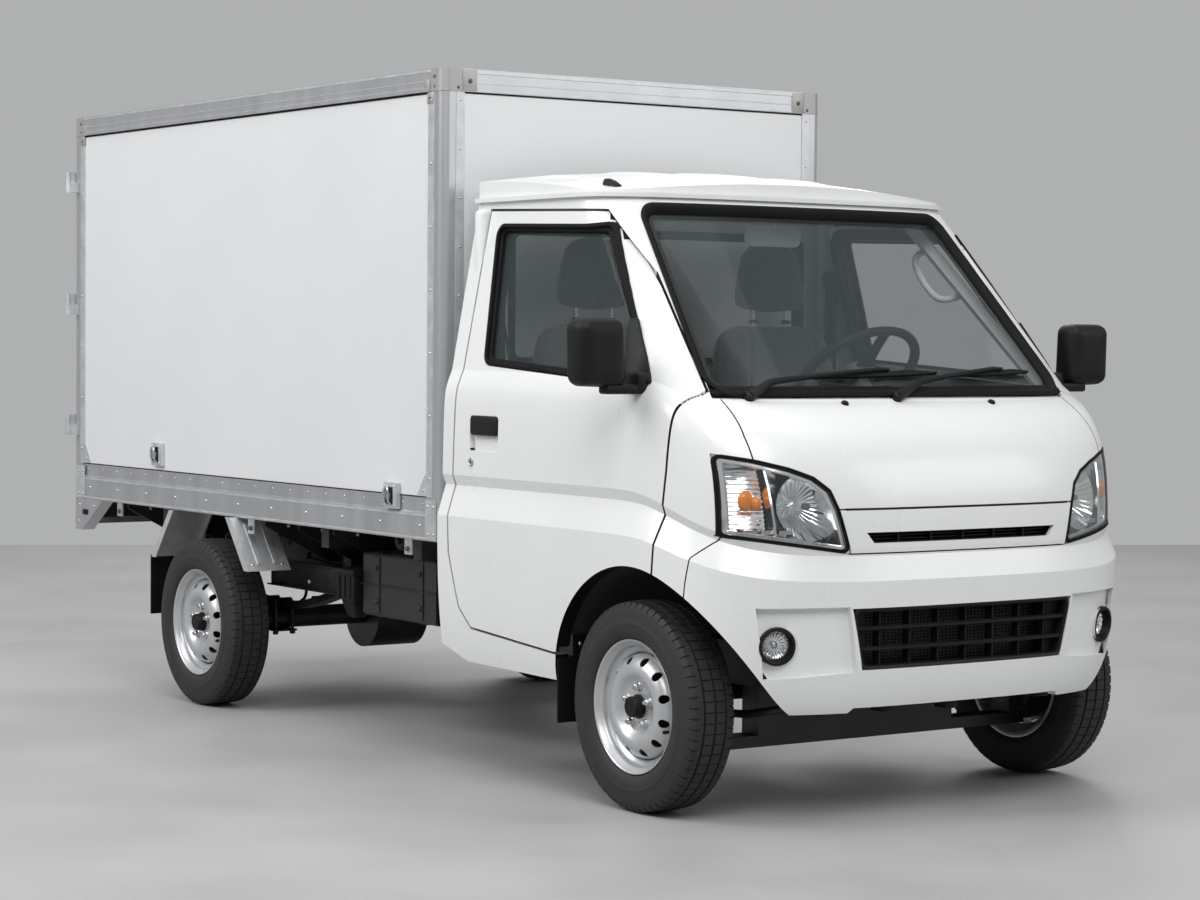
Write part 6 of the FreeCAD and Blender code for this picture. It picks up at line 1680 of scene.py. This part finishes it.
def build_steering():
    """Steering wheel with a moulded rim, padded hub and three shaped spokes."""
    angle = math.radians(47)
    axis = Vector((0, math.cos(angle), math.sin(angle)))
    centre = Vector((0.310, -1.121, 1.103))
    u = Vector((1, 0, 0))
    v = axis.cross(u)
    plane = centre - axis * 0.015
    bm = bmesh.new()
    rings = []
    for t in (2 * math.pi * k / 96 for k in range(96)):
        out = u * math.cos(t) + v * math.sin(t)
        grip = 0.0135 * (1.0 + 0.06 * math.cos(3 * t + math.pi / 2))
        rings.append(ring_points(plane + out * 0.183, out, axis, grip, 14))
    add_band(bm, rings)
    wheel = make_object("steering_rim", bm, "steering_wheel", "black_plastic", smooth=50)
    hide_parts("steering_wheel")
    bm = bmesh.new()
    for t in (0, math.pi / 2, math.pi):
        out = u * math.cos(t) - v * math.sin(t)
        side = out.cross(axis)
        add_loft(bm, [[plane + out * reach + side * (half * a) + axis * (thick * b - sink)
                       for a, b in ((-1, 0), (-0.8, 0.8), (0, 1), (0.8, 0.8), (1, 0), (0.8, -0.8), (0, -1),
                                    (-0.8, -0.8))]
                      for reach, half, thick, sink in (
                          (0.030, 0.030, 0.012, 0.004), (0.070, 0.022, 0.010, 0.004),
                          (0.120, 0.016, 0.008, 0.002), (0.160, 0.016, 0.008, 0.000),
                          (0.182, 0.020, 0.007, 0.000))])
    make_object("steering_spokes", bm, "steering_wheel", "black_plastic", smooth=50)
    piece("steering_hub", "steering_wheel", "grey_plastic", add_lathe,
          [(-0.046, 0.044), (-0.030, 0.050), (-0.012, 0.0515), (-0.004, 0.050), (0.000, 0.042),
           (0.0005, 0.015)],
          centre, axis, 40, smooth=50)
    bm = bmesh.new()
    base = centre - axis * 0.075
    for side, reach in ((-1, 0.150), (1, 0.145)):
        tip = base + u * (side * reach) + v * (-0.030)
        add_tube(bm, smooth_path([base + u * (side * 0.028), (base + tip) / 2 + v * -0.006, tip], 5), 0.0055,
                 10)
        add_lathe(bm, [(0, 0.0065), (0.030, 0.0085), (0.036, 0.006)], tip - u * (side * 0.004), u * side, 16)
    make_object("column_levers", bm, "vehicle", "black_plastic", smooth=50)


def build_dash_details():
    """Hood dome, vents, centre stack, radio, knobs, glove box lid, shift lever and pedals."""
    def plastic(name, look, smooth, blocks=(), turned=()):
        bm = bmesh.new()
        for low, high, bevel, segments in blocks:
            add_block(bm, low, high, bevel, segments)
        for profile, place, axis, steps in turned:
            add_lathe(bm, profile, place, axis, steps)
        make_object(name, bm, "vehicle", look, smooth=smooth)

    piece("instrument_hood", "vehicle", "grey_plastic", add_loft,
          [[Vector((0.310 + r * math.cos(a) * 1.28, y, 0.968 + r * math.sin(a))) for r, y in (
        (0.082, -1.372), (0.086, -1.380), (0.090, -1.420), (0.084, -1.520), (0.060, -1.590), (0.020, -1.612),
        (0.018, -1.600), (0.056, -1.580), (0.078, -1.516), (0.083, -1.420))] for a in spaced(0, math.pi, 20)],
          smooth=50)
    plastic("centre_stack", "grey_plastic", 35, [((-0.125, -1.3715, 0.800), (0.125, -1.3500, 0.960), 0.010,
                                                  3)])
    plastic("dash_controls", "black_plastic", 35,
            [((-0.090, -1.3510, 0.880), (0.090, -1.3465, 0.930), 0.003, 2)]
            + [((x - 0.024, -1.3510, 0.938), (x + 0.024, -1.3470, 0.955), 0.002, 2)
               for x in (-0.095, -0.035, 0.035, 0.095)]
            + [((x - 0.028, -1.3830, 0.905), (x + 0.028, -1.3740, 0.945), 0.003, 2)
               for x in (-0.560, -0.500, 0.545)],
            [([(0, 0.018), (0.012, 0.0165), (0.016, 0.014), (0.0165, 0.002)], (x, -1.3500, 0.842), (0, 1, 0),
              24)
             for x in (-0.070, 0.0, 0.070)])
    plastic("glove_box_lid", "grey_plastic", 35, [((-0.480, -1.3900, 0.800), (-0.170, -1.3690, 0.885), 0.006,
                                                   2)])
    bm = bmesh.new()
    lever = [(0.020, -1.240, 0.452), (0.022, -1.235, 0.600), (0.030, -1.215, 0.720), (0.032, -1.205, 0.765)]
    add_tube(bm, smooth_path(lever, 6), 0.0070, 12)
    add_lathe(bm, [(-0.010, 0.010), (0.006, 0.020), (0.024, 0.023), (0.040, 0.018), (0.046, 0.005)],
              (0.032, -1.203, 0.765), (0, 0.15, 1), 20)
    add_lathe(bm, [(0, 0.060), (0.020, 0.045), (0.060, 0.030), (0.090, 0.016)], (0.020, -1.240, 0.4525),
              (0, 0, 1), 24)
    for x in (0.210, 0.300, 0.385):
        add_block(bm, (x - 0.028, -1.560, 0.560), (x + 0.028, -1.545, 0.620), 0.004)
        add_block(bm, (x - 0.006, -1.600, 0.600), (x + 0.006, -1.556, 0.900), 0.003, 1)
    make_object("cab_controls", bm, "vehicle", "black_plastic", smooth=40)


def dress_interior():
    """Lighter trim on the rear wall and dark carpet on the floor."""
    nodes["cab_back_panel"].data.materials[0] = TRIM["light_trim"]
    nodes["cab_floor"].data.materials[0] = TRIM["floor_carpet"]


# Seams, arches and underbody
PANELS = ["cab_frame", "front_fenders", "cab_roof", "bonnet_panel", "grille_panel", "front_bumper",
          "door_right", "door_left"]
GAP_REACH = 0.0072
FRONT_AXLE = Vector((-1.493, 0.267))
ARCH_NEAR, ARCH_FAR = 0.300, 0.420
BEARER_TOP = 0.6149
BEARER_REACH = 0.655


def facing_wall(tree, place, direction):
    """Whether another face lies across a gap from a place."""
    hit = tree.ray_cast(place + direction * 0.0001, direction, GAP_REACH)
    return hit[0] is not None and hit[1].dot(direction) < -0.4


def in_gap(tree, place, normal):
    """Whether a face is a wall or the floor of a panel gap."""
    if facing_wall(tree, place, normal):
        return True
    above = place + normal * 0.0012
    across = normal.orthogonal().normalized()
    for quarter in range(4):
        way = Matrix.Rotation(math.pi * quarter / 4, 3, normal) @ across
        if facing_wall(tree, above, way) and facing_wall(tree, above, -way):
            return True
    return False


def darken_gaps():
    """Painted shade: near-black on the walls and floors of the panel gaps; black underseal on the faces of
    the wheel arches.
    """
    tree = tree_of(*PANELS)
    for name in PANELS:
        obj = nodes[name]
        obj.data.materials.append(finish_of("painted_shade"))
        obj.data.materials.append(finish_of("flap_rubber"))
        for polygon in obj.data.polygons:
            place, normal = polygon.center, polygon.normal
            out = Vector((place.y, place.z)) - FRONT_AXLE
            toward = -(normal.y * out.x + normal.z * out.y) / max(out.length, 0.001)
            if ARCH_NEAR < out.length < ARCH_FAR and toward > 0.75:
                polygon.material_index = 2
            elif in_gap(tree, place, normal):
                # a face in a panel gap takes the near-black painted shade
                polygon.material_index = 1


def blacken_bearers():
    """Near-black on the faces of the box floor and frame lower than the bearer top, apart from the tabs at
    the sides.
    """
    for name in ("box_floor", "box_frame"):
        obj = nodes[name]
        obj.data.materials.append(finish_of("chassis_black"))
        for polygon in obj.data.polygons:
            place = polygon.center
            if place.z < BEARER_TOP and abs(place.x) < BEARER_REACH:
                polygon.material_index = 1


def rounded_loop(low, high, radius, arc=5):
    """Corner-rounded rectangle between two (a, b) points."""
    inner = ((high[0] - radius, high[1] - radius), (low[0] + radius, high[1] - radius),
             (low[0] + radius, low[1] + radius), (high[0] - radius, low[1] + radius))
    return [(a + radius * math.cos(turn), b + radius * math.sin(turn)) for k, (a, b) in enumerate(inner)
            for turn in spaced(math.pi / 2 * k, math.pi / 2 * (k + 1), arc)]


RAIL_FACE = 0.355
REAR_AXLE_Y = 0.932
SPRING_X = 0.410


def build_rail_details():
    """Near-black discs painted as the shade in the rails' holes, outriggers up to the box and the channel
    ahead of the rear wheel.
    """
    holes, plates, channel, bolts = (bmesh.new() for _ in range(4))
    channel_y = (0.128, 0.860)
    for side in (-1, 1):
        out = (side, 0, 0)
        for k in range(13):
            spot = (side * RAIL_FACE, 0.16 + 0.132 * k, 0.478 if k % 2 else 0.512)
            # each hole is a thin near-black disc on the rail: painted shade, not an opening
            add_lathe(holes, [(0.0002, 0.0115), (0.0008, 0.0110), (0.0008, 0.0010)], spot, out, 20)
            add_lathe(plates, [(0.0000, 0.0150), (0.0016, 0.0142), (0.0016, 0.0118), (0.0004, 0.0114)],
                      spot, out, 20, cap=False)
        for y in (-0.255, 0.185, 0.405, 0.625, 1.300, 1.620):
            outline = [(0.356, 0.470), (0.356, 0.612), (0.622, 0.612), (0.622, 0.592), (0.400, 0.474)]
            add_loft(plates, [[Vector((side * x, at, z)) for x, z in outline]
                              for at in (y - 0.003, y + 0.003)])
            side_strip(plates, side, (0.356, 0.622), (y - 0.020, y + 0.020), (0.606, 0.613), 0.001)
            for reach in (0.400, 0.470, 0.540):
                add_rivet(bolts, (side * reach, y - 0.0032, 0.590), (0, -1, 0), 0.0060, 0.0050)
        side_block(channel, side, (0.448, 0.476), channel_y, (0.386, 0.470), 0.004)
        for z in (0.3875, 0.4685):
            side_strip(channel, side, (0.470, 0.490), channel_y, (z - 0.0022, z + 0.0022), 0.0015)
        for y in (0.165, 0.330, 0.600):
            side_strip(channel, side, (0.352, 0.450), (y - 0.016, y + 0.016), (0.442, 0.462), 0.003)
        for k in range(11):
            spot = (side * 0.476, 0.165 + 0.066 * k, 0.428 if k % 2 else 0.440)
            # the channel's holes are thin near-black discs too: painted shade
            add_lathe(holes, [(0.0004, 0.0080), (0.0010, 0.0076), (0.0010, 0.0010)], spot, out, 16)
        for y in (0.200, 0.400, 0.600):
            add_rivet(bolts, (side * 0.476, y, 0.412), out, 0.0075, 0.0060)
    make_object("rail_hole_shade", holes, "vehicle", "painted_shade", smooth=30)
    make_object("rail_outriggers", plates, "vehicle", "chassis_black", smooth=30)
    make_object("side_channels", channel, "vehicle", "chassis_black", smooth=35)
    make_object("rail_bolts", bolts, "vehicle", "galvanised", smooth=35)


def build_tank_details():
    """Straps, seam flange, filler neck and the ribbed box and mount behind the tank."""
    low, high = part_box("fuel_tank")
    straps = (low.y + 0.085, high.y - 0.085)
    bm = bmesh.new()
    for y in straps:
        rings = []
        for grow, at in ((0.0008, -0.015), (0.0030, -0.0148), (0.0030, 0.0148), (0.0008, 0.015)):
            loop = rounded_loop((low.x - grow, low.z - grow), (high.x + grow, high.z + grow), 0.022)
            rings.append([Vector((a, y + at, b)) for a, b in loop])
        add_band(bm, rings)
    make_object("tank_straps", bm, "vehicle", "chassis_black", smooth=40)
    bm = bmesh.new()
    middle = (low.z + high.z) / 2
    lip = Vector((0.0065, 0.0065, 0))
    seam = Vector((0, 0, 0.0018))
    add_block(bm, Vector((low.x, low.y, middle)) - lip - seam, Vector((high.x, high.y, middle)) + lip + seam,
              0.0012, 1)
    for y in straps:
        for rise in (0.050, -0.050):
            add_rivet(bm, (low.x - 0.003, y, middle + rise), (-1, 0, 0), 0.0085, 0.0080)
    make_object("tank_flange", bm, "vehicle", "chassis_black", smooth=30)
    bm = bmesh.new()
    neck = [(x, y, high.z + rise) for x, y, rise in ((-0.500, -0.200, -0.01), (-0.520, -0.205, 0.025),
                                                     (-0.575, -0.215, 0.050), (-0.612, -0.220, 0.055))]
    add_tube(bm, smooth_path(neck, 6), 0.019, 16)
    add_lathe(bm, [(0.000, 0.0270), (0.018, 0.0270), (0.022, 0.0240), (0.0225, 0.0100), (0.030, 0.0090),
                   (0.031, 0.001)],
              (-0.610, -0.220, high.z + 0.055), (-1, 0, 0), 28)
    make_object("filler_neck", bm, "vehicle", "black_plastic", smooth=40)
    bm = bmesh.new()
    add_block(bm, (-0.580, 0.135, 0.392), (-0.492, 0.245, 0.482), 0.006)
    add_block(bm, (-0.586, 0.129, 0.470), (-0.488, 0.251, 0.486), 0.004)
    for y in (0.158, 0.190, 0.222):
        add_block(bm, (-0.584, y - 0.004, 0.398), (-0.578, y + 0.004, 0.466), 0.0015, 1)
    add_loft(bm, [[Vector((a, b, z)) for a, b in rounded_loop(near, far, 0.010, 3)] for z, near, far in (
        (0.394, (-0.572, 0.150), (-0.500, 0.232)), (0.352, (-0.560, 0.162), (-0.510, 0.222)),
        (0.338, (-0.550, 0.172), (-0.520, 0.212)))])
    add_block(bm, (-0.492, 0.165, 0.400), (-0.474, 0.215, 0.460), 0.002, 1)
    make_object("valve_box", bm, "vehicle", "black_plastic", smooth=35)


def build_rear_suspension_details():
    """U-bolts and plates, spring clips, shock absorbers with their mounts, and brake pipes."""
    springs = tree_of("leaf_springs")
    bolts, shocks, pipes = bmesh.new(), bmesh.new(), bmesh.new()
    for side in (-1, 1):
        def spring_top(y):
            return springs.ray_cast(Vector((side * SPRING_X, y, 0.8)), Vector((0, 0, -1)), 1.0)[0].z

        top = spring_top(REAR_AXLE_Y)
        for y in (REAR_AXLE_Y - 0.042, REAR_AXLE_Y + 0.042):
            add_tube(bolts, [(side * x, y, z) for x, z in (
                (0.379, 0.216), (0.379, top - 0.004), (0.386, top + 0.006), (0.434, top + 0.006),
                (0.441, top - 0.004), (0.441, 0.216))], 0.0055, 10)
            for x in (0.379, 0.441):
                add_lathe(bolts, [(0, 0.0095), (0.009, 0.0095), (0.0095, 0.001)], (side * x, y, 0.226),
                          (0, 0, -1), 6)
        side_strip(bolts, side, (0.368, 0.452), (REAR_AXLE_Y - 0.056, REAR_AXLE_Y + 0.056), (0.227, 0.233),
                   0.0015)
        for y in (REAR_AXLE_Y - 0.290, REAR_AXLE_Y + 0.290):
            z = spring_top(y)
            side_strip(bolts, side, (0.380, 0.440), (y - 0.012, y + 0.012), (z - 0.022, z + 0.003), 0.002)
        foot, head = Vector((side * 0.478, 0.975, 0.232)), Vector((side * 0.478, 1.110, 0.520))
        add_lathe(shocks, [(0.000, 0.012), (0.020, 0.014), (0.024, 0.0215), (0.170, 0.0215), (0.172, 0.0260),
                           (0.290, 0.0260), (0.294, 0.014),
                           (0.318, 0.012)], foot, (head - foot).normalized(), 28)
        for spot in (foot, head):
            add_lathe(shocks, [(-0.026, 0.0160), (0.026, 0.0160)], spot, (1, 0, 0), 24)
            add_lathe(shocks, [(-0.060, 0.0075), (0.032, 0.0075)], spot, (side, 0, 0), 12)
        side_strip(shocks, side, (0.352, 0.450), (1.090, 1.130), (0.505, 0.535), 0.003)
        side_strip(shocks, side, (0.440, 0.460), (0.950, 1.000), (0.220, 0.250), 0.003)
        for route, radius, steps in (
                ([(0.362, -0.30, 0.535), (0.362, 0.30, 0.532), (0.362, 0.74, 0.520), (0.345, 0.86, 0.430),
                  (0.330, 0.90, 0.330), (0.420, 0.905, 0.305), (0.530, 0.910, 0.300)], 0.0050, 10),
                ([(0.362, -0.32, 0.458), (0.366, 0.28, 0.452), (0.372, 0.52, 0.456), (0.364, 0.80, 0.470)],
                 0.0035, 8)):
            add_tube(pipes, smooth_path([(side * x, y, z) for x, y, z in route], 8), radius, steps)
    make_object("spring_bolts", bolts, "vehicle", "chassis_black", smooth=40)
    make_object("shock_absorbers", shocks, "vehicle", "chassis_black", smooth=40)
    make_object("brake_pipes", pipes, "vehicle", "flap_rubber", smooth=45)


def build_front_underbody():
    """Stabiliser bar with its clamps, and the lower lip brackets behind the bumper."""
    bm = bmesh.new()
    bends = [(0.430, -1.500, 0.236), (0.425, -1.610, 0.244), (0.380, -1.690, 0.262), (0.300, -1.705, 0.266)]
    add_tube(bm, smooth_path([(-x, y, z) for x, y, z in bends] + bends[::-1], 8), 0.0105, 16)
    for x in (-0.300, 0.300):
        add_block(bm, (x - 0.022, -1.725, 0.262), (x + 0.022, -1.685, 0.302), 0.005)
    make_object("stabiliser_bar", bm, "vehicle", "chassis_black", smooth=40)
    bm = bmesh.new()
    for x in (-0.370, -0.185, 0.0, 0.185, 0.370):
        y = -1.900 + abs(x) * 0.16
        add_block(bm, (x - 0.020, y, 0.262), (x + 0.020, y + 0.050, 0.284), 0.003, 1)
    make_object("bumper_brackets", bm, "vehicle", "black_plastic", smooth=35)


# Camera, light and floor
CAMERA_PLACE = Vector((-4.781, -7.2535, 1.1952))
CAMERA_YAW = math.radians(34.59)
CAMERA_PITCH = math.radians(-2.306)
CAMERA_ROLL = math.radians(0.4885)
CAMERA_LENS = 84.82


def build_camera():
    data = bpy.data.cameras.new("photo_camera")
    data.lens = CAMERA_LENS
    data.sensor_width = 36.0
    camera = bpy.data.objects.new("photo_camera", data)
    bpy.context.scene.collection.objects.link(camera)
    turn = (Matrix.Rotation(-CAMERA_YAW, 4, "Z") @ Matrix.Rotation(math.pi / 2 + CAMERA_PITCH, 4, "X")
            @ Matrix.Rotation(CAMERA_ROLL, 4, "Z"))
    camera.matrix_world = Matrix.Translation(CAMERA_PLACE) @ turn
    bpy.context.scene.camera = camera


def area_light(name, place, target, size, power):
    data = bpy.data.lights.new(name, "AREA")
    data.shape = "RECTANGLE"
    data.size, data.size_y = size
    data.energy = power
    light = bpy.data.objects.new(name, data)
    bpy.context.scene.collection.objects.link(light)
    place = Vector(place)
    light.location = place
    light.rotation_euler = (Vector(target) - place).to_track_quat("-Z", "Y").to_euler()


BACKDROP = (0.43, 0.435, 0.44)
FLOOR_EDGE = ((1.415, 7.631), (7.527, 4.381))
FLOOR_REACH = 45.0


def build_stage():
    """Plain pale floor, a grey surround and five soft lights."""
    world = bpy.data.worlds.new("studio")
    bpy.context.scene.world = world
    world.use_nodes = True
    tree = world.node_tree
    light = tree.nodes["Background"]
    light.inputs["Color"].default_value = (0.93, 0.96, 1.0, 1)
    light.inputs["Strength"].default_value = 0.17
    seen = tree.nodes.new("ShaderNodeBackground")
    seen.inputs["Color"].default_value = (*BACKDROP, 1)
    path = tree.nodes.new("ShaderNodeLightPath")
    both = tree.nodes.new("ShaderNodeMath")
    both.operation = "MAXIMUM"
    mix = tree.nodes.new("ShaderNodeMixShader")
    mirrored = tree.nodes.new("ShaderNodeMath")
    mirrored.operation = "MAXIMUM"
    tree.links.new(path.outputs["Is Camera Ray"], both.inputs[0])
    tree.links.new(path.outputs["Is Transmission Ray"], both.inputs[1])
    tree.links.new(both.outputs[0], mirrored.inputs[0])
    tree.links.new(path.outputs["Is Glossy Ray"], mirrored.inputs[1])
    tree.links.new(mirrored.outputs[0], mix.inputs["Fac"])
    tree.links.new(light.outputs[0], mix.inputs[1])
    tree.links.new(seen.outputs[0], mix.inputs[2])
    tree.links.new(mix.outputs[0], tree.nodes["World Output"].inputs["Surface"])

    concrete = surface("floor_concrete", (0.40, 0.40, 0.40), 0.5, tint=0.07, rough_spread=0.08, scale=1.6)
    start, end = Vector(FLOOR_EDGE[0]), Vector(FLOOR_EDGE[1])
    along = (end - start).normalized()
    toward = Vector((along.y, -along.x))
    if toward.dot(Vector(CAMERA_PLACE[:2]) - start) < 0:
        toward = -toward
    bm = bmesh.new()
    bm.faces.new([bm.verts.new((p.x, p.y, 0)) for p in (
        start - along * FLOOR_REACH, start + along * FLOOR_REACH,
        start + along * FLOOR_REACH + toward * FLOOR_REACH,
        start - along * FLOOR_REACH + toward * FLOOR_REACH)])
    bmesh.ops.recalc_face_normals(bm, faces=bm.faces)
    mesh = bpy.data.meshes.new("floor")
    bm.to_mesh(mesh)
    bm.free()
    floor = bpy.data.objects.new("floor", mesh)
    mesh.materials.append(concrete)
    bpy.context.scene.collection.objects.link(floor)

    area_light("key", (-3.2, -6.2, 7.0), (0, -0.4, 0.8), (6.0, 5.0), 470)
    area_light("fill", (-6.5, 1.5, 5.6), (0, 0.3, 1.0), (5.0, 4.0), 375)
    area_light("front", (5.0, -7.0, 4.0), (0, -1.5, 0.8), (4.0, 3.0), 115)
    area_light("back", (5.0, 6.5, 5.5), (0, 1.0, 1.0), (5.0, 4.0), 260)
    area_light("top", (0.0, 0.2, 7.5), (0, 0.2, 0.0), (7.0, 8.0), 190)
    bpy.context.scene.view_settings.view_transform = "Standard"


dress_cad_nodes()
dress_interior()
darken_gaps()
blacken_bearers()
build_wheels()
build_windscreen_trim()
build_rear_window_trim()
build_wipers()
build_lower_grille()
build_slot_grille()
build_bonnet_seam_shade()
build_roof_details()
for side_name, side in SIDES:
    build_door_trim(side_name, side)
    build_door_lining(side_name, side)
    build_headlamp(side_name, side)
    build_fog_lamp(side_name, side)
build_box_trim()
build_box_corners()
build_catches()
build_rear_details()
build_guard_screws()
build_headliner()
build_pillar_details()
build_inner_mirror()
build_steering()
build_dash_details()
build_seats()
build_rail_details()
build_tank_details()
build_rear_suspension_details()
build_front_underbody()
build_camera()
build_stage()
